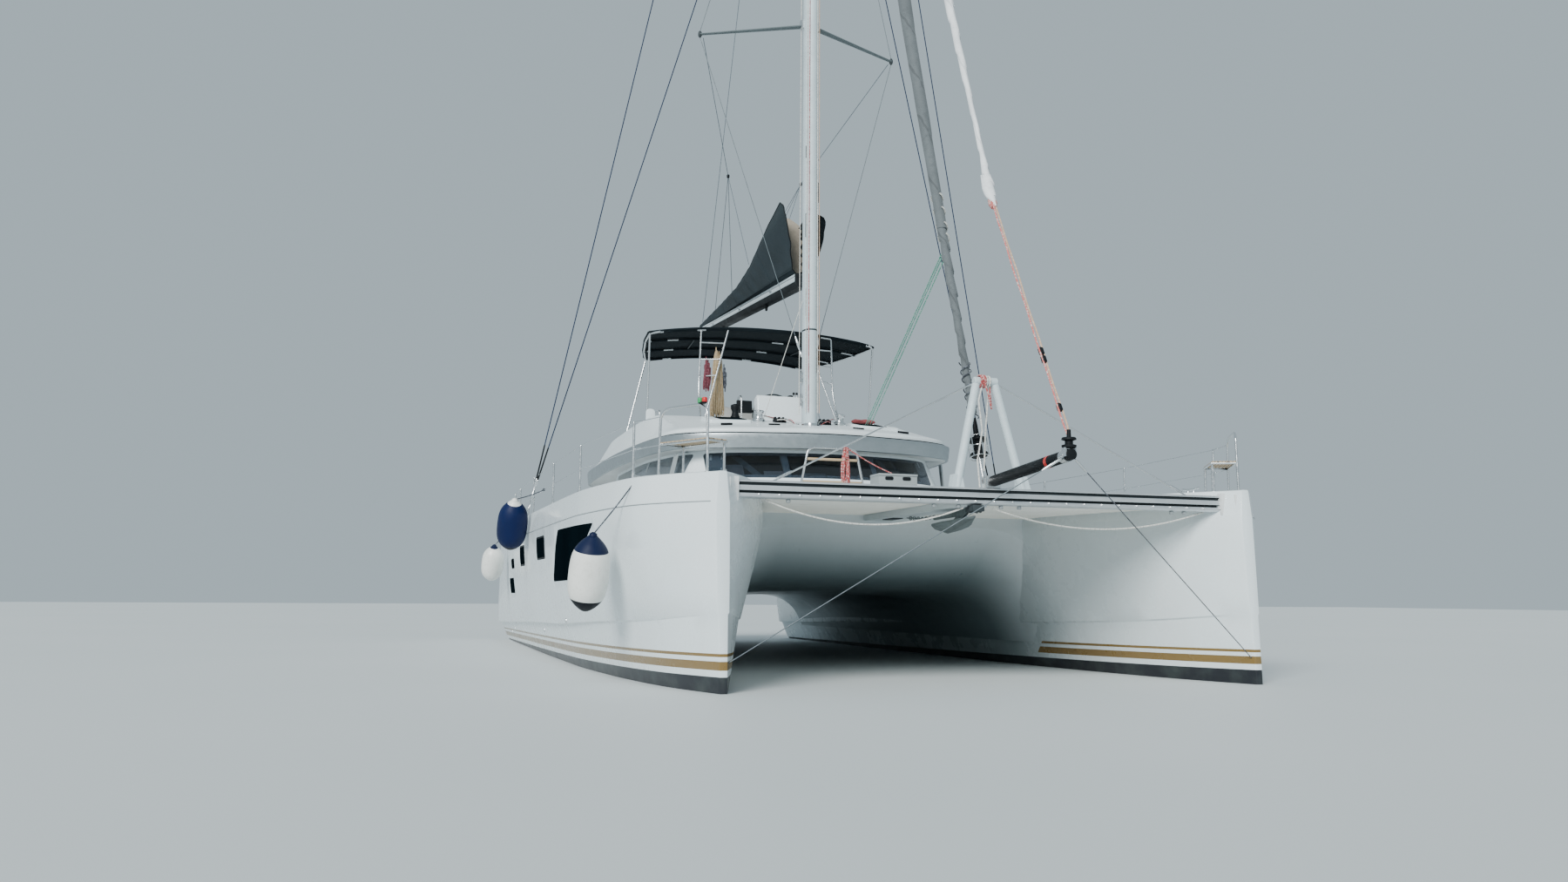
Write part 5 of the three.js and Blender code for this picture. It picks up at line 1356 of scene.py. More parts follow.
def makeRoofFittings():
    # hatches, vents, winches and lines that stand on the sloping front of the moulding
    up = (0, 0, 1)
    hatches, gear, bolt, ropes = newShape(), newShape(), newShape(), newShape()
    def flatOn(x0, x1, y, half, rise, mat):
        ring = roundedOutline(rectangle(x0, x1, y - half, y + half), 0.03)
        addLoft(hatches, [[(x, y, roofSlope(x, y) + h) for x, y in ring] for h in (-0.05, rise)], mat)
    for y in (-1.12, 1.12):
        inner = y - math.copysign(0.06, y)
        flatOn(0.30, 0.86, y, 0.30, 0.026, 2)
        flatOn(0.37, 0.79, inner, 0.20, 0.032, 0)
        flatOn(0.385, 0.775, inner, 0.185, 0.034, 1)
    for y in (-1.30, -0.62, 0.62, 1.30):
        flatOn(1.26, 1.33, y, 0.08, 0.012, 0)
    addTurned(hatches, [(0.07, 0.0), (0.07, 0.26), (0.055, 0.28), (0.05, 0.33), (0.068, 0.38), (0.07, 0.43), (0.02, 0.45)],
              (-0.5, -0.69, 3.29), up, 20)
    finishShape("roofHatches", hatches, "black hullGlass deck", "boat", "flybridge", 35, 0.005)
    for y in (-0.62, 0.62):
        addTurned(gear, roofSize["winch"], (0.52, y, roofSlope(0.52, y)), (0.12, 0, 1), 28)
    clutches = (-0.40, -0.34, -0.28, 0.28, 0.34, 0.40)
    for y in clutches:
        z = roofSlope(0.62, y)
        addBox(gear, (0.55, y - 0.018, z - 0.03), (0.72, y + 0.018, z + 0.045), 1)
        addBox(gear, (0.57, y - 0.012, z + 0.045), (0.64, y + 0.012, z + 0.075), 1)
    addTurned(bolt, [(0.013, 0), (0.013, 0.008), (0.010, 0.011), (0.007, 0.011), (0.007, 0.020), (0.0, 0.021)], (0, 0, 0), up, 6)
    ring = [(0.96 + 0.21 * c, 0.165 * s, 3.2202) for c, s in turns(40, 1)]
    placeRows("mastFootBolts", [repeatItem(bolt, ring, 11, "steel")], "steel")
    for y in (-0.155, -0.125, 0.125, 0.155):
        addBox(gear, (0.80, y - 0.01, 3.2202), (0.86, y + 0.01, 3.29), 1)
    finishShape("mastFootGear", gear, "steel black", "boat", "flybridge", 35, 0.002)
    for k, y in enumerate(clutches):
        side, row = math.copysign(1, y), k % 3
        path = [(0.86, side * (0.12 + 0.012 * row), 3.24)]
        path += [(x, yy, roofSlope(x, y) + lift) for x, yy, lift in ((0.80, y * 0.8, 0.05), (0.72, y, 0.035), (0.54, y, 0.035))]
        path.append((0.52, side * (0.555 - 0.02 * row), roofSlope(0.52, 0.6) + 0.08))
        addTube(ropes, smoothPath(path, 6), 0.0065, 8, row)
    finishShape("mastFootLines", ropes, "whiteRope darkRope redRope")


makeRoof()
makeRoofFittings()
print("roof made")


# helm, wheel, seats and stairs

helmSize = {"front": -0.86, "back": -1.18, "y0": -0.22, "y1": 0.56, "top": 3.98, "sole": 3.0803, "wheel": (-1.3005, 0.17, 3.70),
            "radius": 0.35, "seat": (-0.42, 1.18), "rail": 0.0125}


def makeConsole():
    s = helmSize
    console, pin = newShape(), newShape()
    front, back, top = s["front"], s["back"], s["top"]
    profile = [(front, s["sole"]), (front - 0.03, 3.5), (front - 0.06, top - 0.06), (front - 0.08, top - 0.015),
               (front - 0.12, top),
               (back + 0.09, top - 0.04), (back + 0.05, top - 0.07), (back, 3.6), (back, s["sole"])]
    addPrism(console, [(x, s["y0"], z) for x, z in profile], (0, s["y1"] - s["y0"], 0))
    obj = toolFrom(console, "helmConsole")
    bevelEdges(obj, 0.022, 3, 40)
    addTurned(pin, [(0.035, 0), (0.035, 0.139)], (-1.121, 0.17, 3.70), (-1, 0, 0))
    joinInto(obj, [toolFrom(pin)])
    placePiece(obj, "mould", "boat", "helm_console", 40)
    panel, levers = newShape(), newShape()
    foot = Vector((back, 0, 3.6))
    up = (Vector((back + 0.05, 0, top - 0.07)) - foot).normalized()
    away = Vector((-up.z, 0, up.x))
    def onFace(y0, y1, h0, h1, out, mat):
        # a plate on the sloping aft face, by height up the face
        depth = 0.02
        ring = roundedOutline(rectangle(y0, y1, h0, h1), 0.012)
        low = [foot + up * h + away * (out - depth) + Vector((0, y, 0)) for y, h in ring]
        addLoft(panel, [low, [p + away * depth for p in low]], mat)
    onFace(-0.19, 0.05, 0.05, 0.28, 0.012, 0)
    onFace(-0.175, 0.035, 0.075, 0.265, 0.014, 1)
    onFace(0.32, 0.53, 0.05, 0.28, 0.012, 0)
    for y in (0.335 + 0.065 * k for k in range(3)):
        onFace(y, y + 0.055, 0.19, 0.245, 0.015, 1)
        onFace(y, y + 0.05, 0.08, 0.15, 0.015, 2)
    addPrism(panel, [(-0.99, -0.53, 3.68), (-0.99, -0.29, 3.68), (-1.03, -0.29, 3.87), (-1.03, -0.53, 3.87)], (0.045, 0, 0.01))
    addTube(panel, [(-0.99, -0.41, 3.75), (-0.99, -0.20, 3.70)], 0.02)
    addTurned(panel, [(0.052, 0), (0.052, 0.02), (0.045, 0.045), (0.02, 0.052), (0.0, 0.053)], (-1.03, 0.36, 3.955),
              (0, 0, 1), 24)
    finishShape("helmInstruments", panel, "black hullGlass greyPlastic", bevel=0.0015)
    for y in (0.455, 0.505):
        addTube(levers, [(-1.13, y, 3.93), (-1.15, y, 4.02), (-1.165, y, 4.05)], 0.009)
        addTurned(levers, [(0.0, 0), (0.018, 0.004), (0.02, 0.02), (0.018, 0.036), (0, 0.04)], (-1.155, y, 4.04),
                  (-0.3, 0, 1), 14, 1)
    finishShape("throttleLevers", levers, "steel black")


def makeHelm():
    s = helmSize
    wheel, seat, grab = newShape(), newShape(), newShape()
    centre, across = Vector(s["wheel"]), Vector((1, 0, 0))
    outward = [Vector((0, c, q)) for c, q in turns(72)]
    addHoop(wheel, [(centre + out * s["radius"], out, across) for out in outward], 0.0138, 12)
    for c, q in turns(5):
        addTube(wheel, [centre, centre + Vector((0, -q, c)) * s["radius"]], [0.010, 0.0075], 10, 1)
    addTurned(wheel, [(0.0, -0.03), (0.043, -0.03), (0.045, -0.026), (0.045, 0.03), (0.04, 0.037), (0.018, 0.0395), (0, 0.04)],
              centre, (-1, 0, 0), 28, 1)
    finishShape("steeringWheel", wheel, "darkGrey steel", "helm_wheel", "helm_wheel", 45)
    y, wide = s["seat"]
    for corners in (((-1.95, s["sole"]), (-1.952, 3.40), (-2.45, 3.40), (-2.45, s["sole"])),
                    ((-2.40, 3.38), (-2.385, 3.965), (-2.45, 3.965), (-2.45, 3.38))):
        addPrism(seat, [(x, y, z) for x, z in corners], (0, wide, 0))
    finishShape("helmSeatBase", seat, "mould", "boat", "flybridge_seat", 35, 0.015, 3)
    for k, (a, b) in enumerate(((-0.41, 0.165), (0.175, 0.75))):
        cushionForm("helmSeat_%d" % k, (-2.36, a, 3.401), (-1.96, b, 3.515), "seatCloth")
        cushionForm("helmSeatBack_%d" % k, (-2.385, a, 3.53), (-2.29, b, 3.975), "seatCloth")
    rail = [(-0.93, 3.5), (-0.95, 3.95), (-1.15, 3.95), (-1.2, 3.5)]
    coaming = [(-1.0, 3.495), (-1.0, 3.66), (-2.1, 3.66), (-2.1, 3.495)]
    for y, path, bent in ((-0.47, rail, 0.07), (1.75, coaming, 0.06), (-1.75, coaming, 0.06)):
        addTube(grab, roundedPath([(x, y, z) for x, z in path], bent), s["rail"], 12)
    finishShape("flybridgeGrabRails", grab, "steel")


def makeStairs():
    stairs, rail = newShape(), newShape()
    for y in (1.05, 1.525):
        cheek = ((-4.86, 1.0603), (-4.66, 1.0603), (-3.48, 2.9), (-3.48, 3.06), (-3.6, 3.06))
        addPrism(stairs, [(x, y, z) for x, z in cheek], (0, 0.025, 0))
    for x, z in ((-4.68 + k * 0.17, 1.06 + 0.25 * (k + 1)) for k in range(7)):
        addBox(stairs, (x - 0.11, 1.06, z - 0.03), (x + 0.11, 1.54, z - 0.006))
        addBox(stairs, (x - 0.10, 1.08, z - 0.006), (x + 0.10, 1.52, z), 1)
    finishShape("flybridgeStairs", stairs, "mould teak", "boat", "flybridge_stairs", 35, 0.003)
    hand = ((-4.78, 1.07), (-4.74, 1.95), (-3.72, 3.42), (-3.40, 3.42), (-3.40, 3.08))
    addTube(rail, roundedPath([(x, 1.0, z) for x, z in hand], 0.12), 0.015, 12)
    addTube(rail, [(-4.2, 1.0, 1.42), (-4.2, 1.0, 2.73)], 0.012)
    finishShape("stairHandrail", rail, "steel")


makeConsole()
makeHelm()
makeStairs()
print("flybridge made")


# crossbeam, anchor gear and nets forward

beamSize = {
    "x": 6.555, "half": 0.06, "low": 1.75, "top": 1.92, "plankY": -0.18, "plankHalf": 0.155, "plankLow": 1.735,
    "plankTop": 1.83, "striker": (6.45, 0.09, 3.0),
    # share of the half depth and of the height round one section
    "section": [(-0.35, 0.0), (0.35, 0.0), (0.85, 0.06), (0.98, 0.10), (0.98, 0.27), (0.30, 0.31), (0.30, 0.38), (0.98, 0.42),
                (1.0, 0.70), (0.50, 0.73), (0.50, 0.84), (1.0, 0.87), (1.0, 0.93), (0.86, 0.98), (0.6, 1.0), (-0.6, 1.0),
                (-0.86, 0.98), (-1.0, 0.90), (-1.0, 0.12), (-0.85, 0.06)],
    "eyes": (-0.62, -0.36, 0.10, 0.30, 2.05, 2.2, -2.1),
}


def makeBeam():
    s = beamSize
    x, low, top, plankY = s["x"], s["low"], s["top"], s["plankY"]
    beam, gear, eyes, bolt, plate = newShape(), newShape(), newShape(), newShape(), newShape()
    ring = [(x + a * s["half"], low + b * (top - low)) for a, b in s["section"]]
    addLoft(beam, [[(px, -2.72 + 5.44 * k / 24, z) for px, z in ring] for k in range(25)])
    addBox(beam, (3.951, plankY - s["plankHalf"], s["plankLow"]), (x - 0.05, plankY + s["plankHalf"], s["plankTop"]), 1)
    mats = "alloy plank mast steel darkGrey"
    obj = makeObject("crossbeamExtrusion", beam, mats)
    tidyNormals(obj)
    # faces inside the grooves of the extrusion take the dark fitting look: painted shade in the grooves
    for face in obj.data.polygons:
        groove = x < face.center.x < x + 0.85 * s["half"] and low + 0.03 < face.center.z < top - 0.012
        if face.material_index == 0 and groove:
            face.material_index = 4
    bevelEdges(obj, 0.004, 2, 30)
    tx, ty, tz = s["striker"]
    for _, side in bothSides:
        addTube(gear, [(6.52, side * 0.362, 1.90), (6.452, side * 0.105, 2.97)], [0.045, 0.042], 20, 2)
        addTube(gear, [(tx, side * ty, tz), (x - 0.02, side * 2.25, 1.915)], 0.0085, 10, 3)
        addTurned(gear, [(0.012, 0), (0.014, 0.01), (0.014, 0.14), (0.009, 0.16)], (x - 0.02, side * 2.2, 1.945),
                  (0, -side * 0.89, 0.45), 12, 3)
        addPrism(gear, [(px, side * y, z) for px, y, z in ((6.56, 0.29, 1.918), (6.56, 0.43, 1.918), (6.545, 0.40, 2.05),
                                                           (6.545, 0.31, 2.05))], (-0.085, 0, 0), 2)
    addTurned(gear, [(0.035, 0), (0.045, 0.01), (0.045, 0.25), (0.035, 0.26)], (tx, -0.13, tz), (0, 1, 0), 24, 2)
    joinInto(obj, [toolFrom(gear)])
    placePiece(obj, mats, "boat", "crossbeam", 30)
    addTurned(bolt, [(0.012, 0), (0.012, 0.012), (0.006, 0.016)], (0, 0, 0), (0, -1, 0), 10)
    row = [(x + 0.059, y, low + 0.034) for y in (-2.6, 2.6)]
    placeRows("beamBolts", [repeatItem(bolt, row, 27, "steel")], "steel")
    for y in s["eyes"]:
        addTurned(eyes, [(0.018, 0), (0.022, 0.006), (0.022, 0.028), (0.014, 0.034)], (x, y, low - 0.032), (0, 0, 1), 14, 3)
    for _, side in bothSides:
        y0, y1 = sorted((side * 2.60, side * 2.79))
        addBox(eyes, (x - 0.10, y0, low - 0.03), (x + 0.085, y1, top + 0.025), 2)
        for z in (low + 0.03, top - 0.03):
            addTurned(eyes, [(0.014, 0), (0.014, 0.01), (0.008, 0.014)], (x + 0.085, side * 2.66, z), (1, 0, 0), 10)
    finishShape("beamEyes", eyes, "steel black whitePlastic greyPlastic", bevel=0.002)
    under = s["plankLow"]
    addBox(plate, (4.3, plankY - 0.06, under - 0.010), (4.62, plankY + 0.06, under + 0.002))
    addBox(plate, (6.46, plankY - 0.06, under - 0.05), (6.64, plankY + 0.06, under + 0.01))
    for px in (6.52, 6.60):
        addTurned(plate, [(0.035, 0), (0.028, 0.03), (0.028, 0.05), (0.035, 0.08)], (px, plankY - 0.04, under - 0.03),
                  (0, 1, 0), 18)
    finishShape("bowRoller", plate, "darkGrey", bevel=0.003)


def makeAnchor():
    y = beamSize["plankY"]
    anchor, link = newShape(), newShape()
    shank = [(5.6, 1.7), (6.0, 1.72), (6.42, 1.7345), (6.43, 1.70), (6.30, 1.64), (6.16, 1.56), (6.05, 1.545), (6.02, 1.60),
             (6.14, 1.66), (5.6, 1.655)]
    addPrism(anchor, [(x, y - 0.015, z) for x, z in shank], (0, 0.03, 0))
    fluke = [(6.56, 0, 1.65), (6.30, 0.10, 1.625), (6.12, 0.175, 1.608), (5.98, 0.21, 1.592), (5.93, 0.15, 1.56), (5.92, 0, 1.52)]
    for side in (-1, 1):
        addPrism(anchor, [(x, y + side * out, z) for x, out, z in fluke], (0, 0, -0.022))
    addTube(anchor, [(5.955, y - 0.17, 1.575), (5.925, y, 1.53), (5.955, y + 0.17, 1.575)], 0.014)
    for x, z in ((5.66, 1.678), (5.78, 1.68)):
        addTurned(anchor, [(0.014, 0), (0.02, 0.004), (0.02, 0.02), (0.014, 0.024)], (x, y + 0.012, z), (0, 1, 0), 14)
    finishShape("ploughAnchor", anchor, "galvanised", "boat", "anchor", 35, 0.003)
    oval = [(Vector((0.030 * c + 0.006 * math.copysign(1, c), 0.017 * q, 0)), Vector((c, q, 0)), Vector((0, 0, 1)))
            for c, q in turns(16)]
    addHoop(link, oval, 0.0055, 8)
    run = [(5.64, y, 1.69), (5.3, y, 1.684), (4.92, y, 1.715)]
    placeRows("anchorChain", [repeatItem(link, run, 15, "galvanised", math.pi / 2, 0.15)], "galvanised")


def netOutline(side):
    # x stations, the edge at the plank, and the edge where the inner topsides stand at the net's height
    s = beamSize
    inner, height = s["plankY"] + side * (s["plankHalf"] + 0.0015), 1.806
    xs = [3.952 + (6.493 - 3.952) * k / 40 for k in range(41)]
    outer = []
    for x in xs:
        half = [p for p in hullSection(x, side) if side * p[1] < hullSize["centre"]]
        ys = [a[1] + (b[1] - a[1]) * (height - a[2]) / (b[2] - a[2]) for a, b in zip(half, half[1:])
              if min(a[2], b[2]) <= height <= max(a[2], b[2]) and abs(a[2] - b[2]) > 1e-6]
        outer.append(side * (min(abs(v) for v in ys) - 0.004))
    return xs, inner, outer


def makeNets():
    rows, last = 26, 40
    for name, side in bothSides:
        xs, inner, outer = netOutline(side)
        net, edge, loop = newShape(), newShape(), newShape()
        def point(k, r, lift):
            tx, ty = k / last, r / rows
            sag = 0.020 * (1 - (2 * tx - 1) ** 2) * (1 - (2 * ty - 1) ** 2)
            return xs[k], inner + (outer[k] - inner) * ty, 1.8105 - sag - lift
        addSlab(net, *[[[point(k, r, lift) for r in range(rows + 1)] for k in range(last + 1)] for lift in (0.0, 0.009)])
        net = finishShape("trampolineNet_" + name, net, "net", "boat", "trampoline_" + name, 60)
        long, width = xs[-1] - xs[0], abs(sum(outer) / len(outer) - inner)
        round(max(abs(o - inner) for o in outer), 2)
        addTube(edge, [(x, y - side * 0.02, 1.812) for x, y in zip(xs, outer)], 0.009, 8)
        addTube(edge, [(x, inner + side * 0.02, 1.812) for x in (3.97, 6.48)], 0.009, 8)
        finishShape("netHem_" + name, edge, "whiteRope")
        strand = [(-0.014, -0.014, -0.007), (-0.004, -0.006, 0.004), (0.004, 0.006, 0.004), (0.014, 0.014, -0.005)]
        addTube(loop, strand, 0.0035, 6)
        runs = [([(x, y - side * 0.016, 1.8165) for x, y in zip(xs, outer)][1:last], 52),
                ([(x, inner + side * 0.018, 1.8165) for x in (4.02, 6.44)], 52),
                ([(6.477, y, 1.819) for y in (inner + side * 0.05, outer[-1] - side * 0.05)], 44)]
        placeRows("netLacing_" + name, [repeatItem(loop, run, count, "whiteRope", 0.0, 0.25, 3 + k)
                                        for k, (run, count) in enumerate(runs)], "whiteRope")


def makeSprit():
    pole, clip = newShape(), newShape()
    heel, tip = Vector((6.5, 0, 1.98)), Vector((8.09, 0, 2.1))
    way = (tip - heel).normalized()
    addTurned(pole, [(0.05, 0.0), (0.055, 0.006), (0.055, 1.1), (0.0562, 1.104), (0.0562, 1.16), (0.055, 1.164),
                     (0.055, 1.5), (0.05, 1.59), (0.03, 1.594)], heel, way, 28)
    addTurned(pole, [(0.0566, 0), (0.0566, 0.045)], heel + way * 1.18, way, 28, 1)
    addTurned(pole, [(0.0575, 0), (0.0575, 0.09)], heel + way * 1.44, way, 28, 2)
    for _, side in bothSides:
        top, foot = Vector((8.04, side * 0.03, 2.09)), Vector((6.82, side * hullSize["centre"], 0.23))
        addTube(pole, [top, foot], 0.0048, 8, 3 if side > 0 else 5)
        down = (foot - top).normalized()
        addTurned(pole, [(0.006, 0.0), (0.012, 0.02), (0.012, 0.16), (0.006, 0.2)], top + down * 0.05, down, 12, 2)
    finishShape("bowspritPole", pole, "black redPaint steel darkRope whiteRope wire", "boat", "bowsprit", 40)
    addPrism(clip, [(6.62, -0.075, 1.9205), (6.62, 0.075, 1.9205), (6.60, 0.068, 2.04), (6.60, -0.068, 2.04)], (-0.12, 0, 0))
    for y in (side * hullSize["centre"] for _, side in bothSides):
        addPrism(clip, [(6.875, y - 0.03, 0.19), (6.875, y + 0.03, 0.19), (6.872, y + 0.03, 0.30), (6.872, y - 0.03, 0.30)],
                 (-0.06, 0, 0))
    finishShape("spritHeelClip", clip, "steel", bevel=0.004)


makeBeam()
makeAnchor()
makeNets()
makeSprit()
print("forward gear made")


# mast, boom and standing rigging

rigSize = {
    "mastX": 0.96, "foot": 3.2203, "top": 20.6, "spreader": [(0.89, 0, 9.24), (0.35, 1.53, 9.13)],
    "boomPivot": 0.72, "boomFront": 0.66, "boomBack": -5.6, "boomHalf": 0.11, "rise": 0.064, "boomTop": 5.54,
    "turnbuckle": [(0.010, 0), (0.017, 0.02), (0.017, 0.06), (0.010, 0.08), (0.010, 0.12), (0.016, 0.13), (0.018, 0.2),
                   (0.016, 0.28), (0.010, 0.29)],
}


def mastRing(z, grow=0.0):
    # an oval section that narrows toward the masthead
    t = max(0.0, (z - 17.5) / 3.1)
    rx, ry, x0 = 0.15 - 0.04 * t + grow, 0.10 - 0.022 * t + grow, rigSize["mastX"] - 0.02 * t
    return [(x0 + rx * math.copysign(abs(c) ** 0.92, c), ry * math.copysign(abs(s) ** 0.92, s), z) for c, s in turns(40)]


def makeMast():
    s = rigSize
    mast, track, fittings = newShape(), newShape(), newShape()
    addLoft(mast, [mastRing(z) for z in (s["foot"], 5.0, 9.24, 14.0, 17.5, 18.5, 19.5, s["top"])])
    for z in (4.62, 9.9, 14.6):
        addLoft(mast, [mastRing(z - 0.012, 0.0015), mastRing(z + 0.012, 0.0015)], 1)
    addLoft(mast, [mastRing(3.2205, 0.006), mastRing(3.26, 0.006), mastRing(3.275, 0.002)], 2)
    (rx, _, rz), (tx, ty, tz) = s["spreader"]
    for _, side in bothSides:
        root, tip = Vector((rx, 0, rz)), Vector((tx, side * ty, tz))
        addLoft(mast, [[root.lerp(tip, t) + Vector(((0.062 - 0.03 * t) * c, 0, (0.022 - 0.008 * t) * q)) for c, q in turns(16)]
                       for t in (k / 8 for k in range(9))], 3)
        addTurned(mast, [(0.012, -0.05), (0.026, -0.03), (0.03, 0.0), (0.026, 0.03), (0.012, 0.05)], tip, (0.05, 0, 1), 14, 1)
        y0, y1 = sorted((side * 0.08, side * 0.14))
        addBox(mast, (0.86, y0, rz - 0.06), (0.95, y1, rz + 0.06), 2)
    for x, z0, z1 in ((0.69, 5.29, 5.325), (0.69, 5.555, 5.59), (0.782, 5.30, 5.58)):
        addBox(mast, (x, -0.03, z0), (0.83, 0.03, z1), 2)
    addTurned(mast, [(0.014, 0), (0.014, 0.36)], (s["boomPivot"], 0, 5.26), (0, 0, 1), 16, 2)
    finishShape("mastSection", mast, "mast darkGrey steel spreader", "boat", "mast", 40)

    addBox(track, (0.800, -0.022, 5.75), (0.813, 0.022, 17.4))
    for y, z0, z1 in ((0.06, 4.0, 4.35), (-0.08, 4.82, 5.23), (-0.085, 5.98, 6.33), (-0.085, 7.16, 7.34), (0.075, 6.5, 6.8)):
        x = s["mastX"] + 0.15 * math.sqrt(max(0, 1 - (y / 0.1) ** 2))
        for off in (0, 0.02):
            addBox(track, (x - 0.012, y - 0.008 + off, z0), (x + 0.003, y + 0.002 + off, z1))
    finishShape("sailTrack", track, "darkGrey")

    for z, x in ((18.8, 1.06), (20.0, 1.03)):
        addBox(fittings, (x - 0.06, -0.03, z - 0.06), (x + 0.05, 0.03, z + 0.06))
    for side in (-1, 1):
        for y, z in ((0.088, 15.0), (0.07, 20.25), (0.088, 14.5)):
            addTurned(fittings, [(0.035, 0), (0.03, 0.012), (0.014, 0.016)], (0.90, side * y, z), (0, side, 0), 14)
        addBox(fittings, (1.06, side * 0.07 - 0.02, 12.02), (1.13, side * 0.07 + 0.02, 12.10), 1)
    for z, side in ((z, side) for z in (3.62, 3.95) for side in (-1, 1)):
        addTurned(fittings, [(0.03, 0), (0.03, 0.02), (0.012, 0.022)], (s["mastX"], side * 0.099, z), (0, side, 0), 14)
        addPrism(fittings, [(x, side * 0.118, z + h) for x, h in ((0.93, -0.09), (0.99, -0.09), (0.985, 0.09), (0.935, 0.09))],
                 (0, side * 0.012, 0))
    addPrism(fittings, [(x, -0.02, z) for x, z in ((1.12, 20.50), (1.14, 20.58), (0.74, 20.58), (0.76, 20.50))], (0, 0.04, 0))
    for x in (1.11, 0.77):
        addTurned(fittings, [(0.034, 0), (0.04, 0.006), (0.04, 0.024), (0.034, 0.03)], (x, -0.015, 20.52), (0, 1, 0), 18, 1)
    finishShape("mastFittings", fittings, "steel black lens", bevel=0.001)


def turnbuckle(shape, foot, head, length, mat):
    ends = [(0.010, length - 0.06), (0.014, length - 0.05), (0.014, length), (0.009, length + 0.02)]
    addTurned(shape, rigSize["turnbuckle"] + ends, foot, head - foot, 14, mat)


def makeStays():
    for name, side in bothSides:
        diamond, both = newShape(), newShape()
        foot, tip, head = [Vector((x, side * y, z)) for x, y, z in ((0.90, 0.06, 4.15), (0.345, 1.543, 9.13), (0.90, 0.06, 14.5))]
        addTube(diamond, [foot.lerp(tip, 0.012), tip, head.lerp(tip, 0.012)], 0.0052, 8)
        turnbuckle(diamond, foot.lerp(tip, 0.02), tip, 0.3, 1)
        finishShape("diamondStay_" + name, diamond, "wire steel", "boat", "diamond_stay_" + name, 40)
        for x, top in ((-0.40, 20.25), (-0.58, 15.0)):
            foot, head = Vector((x, side * 3.738, 2.04)), Vector((0.90, side * 0.07, top))
            addTube(both, [foot.lerp(head, 0.004), head.lerp(foot, 0.004)], 0.008, 10, 1)
            turnbuckle(both, foot + Vector((0, 0, -0.01)), head, 0.46, 0)
            addTurned(both, [(0.012, 0), (0.011, 0.5)], foot + (head - foot).normalized() * 0.45, head - foot, 12, 2)
        plate = ((-0.62, 1.9753), (-0.36, 1.9753), (-0.365, 2.06), (-0.435, 2.06), (-0.44, 2.0), (-0.54, 2.0), (-0.545, 2.06),
                 (-0.615, 2.06))
        addPrism(both, [(x, side * 3.737 - 0.009, z) for x, z in plate], (0, 0.018, 0))
        nodes = [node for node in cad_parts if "shroud" in node and node.endswith(name)]
        finishShape("shroudPair_" + name, both, "steel shroud black", "boat", nodes, 40)


def boomTopAt(x):
    return rigSize["boomTop"] + rigSize["rise"] * (rigSize["boomFront"] - x)


def makeBoom():
    s = rigSize
    boom, gear = newShape(), newShape()
    half = [(0.55, 1.0), (0.62, 0.985), (1.0, 0.56), (1.0, 0.30), (0.975, 0.27), (0.975, 0.21), (1.0, 0.18), (1.0, 0.04),
            (0.96, 0.0)]
    ring = half + [(-a, d) for a, d in reversed(half)]
    def section(x):
        depth = 0.205 - 0.055 * (s["boomFront"] - x) / (s["boomFront"] - s["boomBack"])
        return [Vector((x, a * s["boomHalf"], boomTopAt(x) - d * depth)) for a, d in ring]
    addLoft(boom, [section(x) for x in (s["boomFront"], 0.6, 0.0, -1.5, -3.0, -4.5, -5.52, s["boomBack"])])
    for caps in (((0.60, 1.012), (s["boomFront"] + 0.002, 1.012)), ((s["boomBack"] - 0.0005, 1.0), (-5.5, 1.012))):
        rings = []
        for x, grow in caps:
            points = section(x)
            middle = Vector((x, 0, sum(p.z for p in points) / len(points)))
            rings.append([middle + (p - middle) * grow for p in points])
        addLoft(boom, rings, 1)
    pivot, up = s["boomPivot"], (0, 0, 1)
    addTurned(boom, [(0.025, 0), (0.025, 0.18)], (pivot, 0, 5.35), up, 20, 2)
    addBox(boom, (0.62, -0.025, 5.35), (pivot, 0.025, 5.53), 2)
    addTurned(boom, [(0.013, 0), (0.013, 0.288)], (pivot, 0, 5.296), up, 12, 2)
    mats = "boomAlloy black steel"
    obj = makeObject("boomExtrusion", boom, mats)
    tidyNormals(obj)
    # faces that look down take the black look: painted shade on the underside of the boom
    for face in obj.data.polygons:
        if face.material_index == 0 and face.normal.z < -0.3:
            face.material_index = 1
    bevelEdges(obj, 0.003, 2)
    placePiece(obj, mats, "boom", "boom", 28)
    for x in (-4.6, -5.2, -3.9, -1.2):
        z = boomTopAt(x) - 0.17
        addBox(gear, (x - 0.03, -0.025, z - 0.05), (x + 0.03, 0.025, z + 0.02))
        addTurned(gear, [(0.032, 0), (0.036, 0.006), (0.036, 0.022), (0.032, 0.028)], (x, -0.014, z - 0.07), (0, 1, 0), 18)
    for x, y, z in ((x, side * 0.118, boomTopAt(x)) for x in (-0.6, -2.4, -4.2) for side in (-1, 1)):
        addBox(gear, (x - 0.05, y - 0.008, z - 0.075), (x + 0.05, y + 0.008, z - 0.04), 1)
    finishShape("boomFittings", gear, "black steel", "boom", bevel=0.002)


# sail bag on the boom: two flaps of canvas with the sail stacked between them

bagSize = {
    # x at the boom, x at the top, half width low, half width high, top height
    "rows": [(0.56, 0.02, 0.13, 0.29, 6.72), (0.2, -0.4, 0.146, 0.282, 6.57), (-0.1, -0.74, 0.16, 0.27, 6.44),
             (-1.0, -1.6, 0.155, 0.22, 6.19), (-2.1, -2.5, 0.14, 0.175, 6.07), (-3.6, -3.75, 0.12, 0.135, 6.03),
             (-5.35, -5.35, 0.09, 0.09, 6.0)],
}


def bagAt(t):
    # one cross row of the bag at t from its fore end (0) to its aft end (1)
    rows = bagSize["rows"]
    fore, aft = rows[0][0], rows[-1][0]
    x = fore + (aft - fore) * t
    i = max(k for k in range(len(rows) - 1) if rows[k][0] >= x - 1e-9)
    a, b = rows[i], rows[i + 1]
    u = (a[0] - x) / (a[0] - b[0])
    return [a[k] + (b[k] - a[k]) * u for k in range(5)]


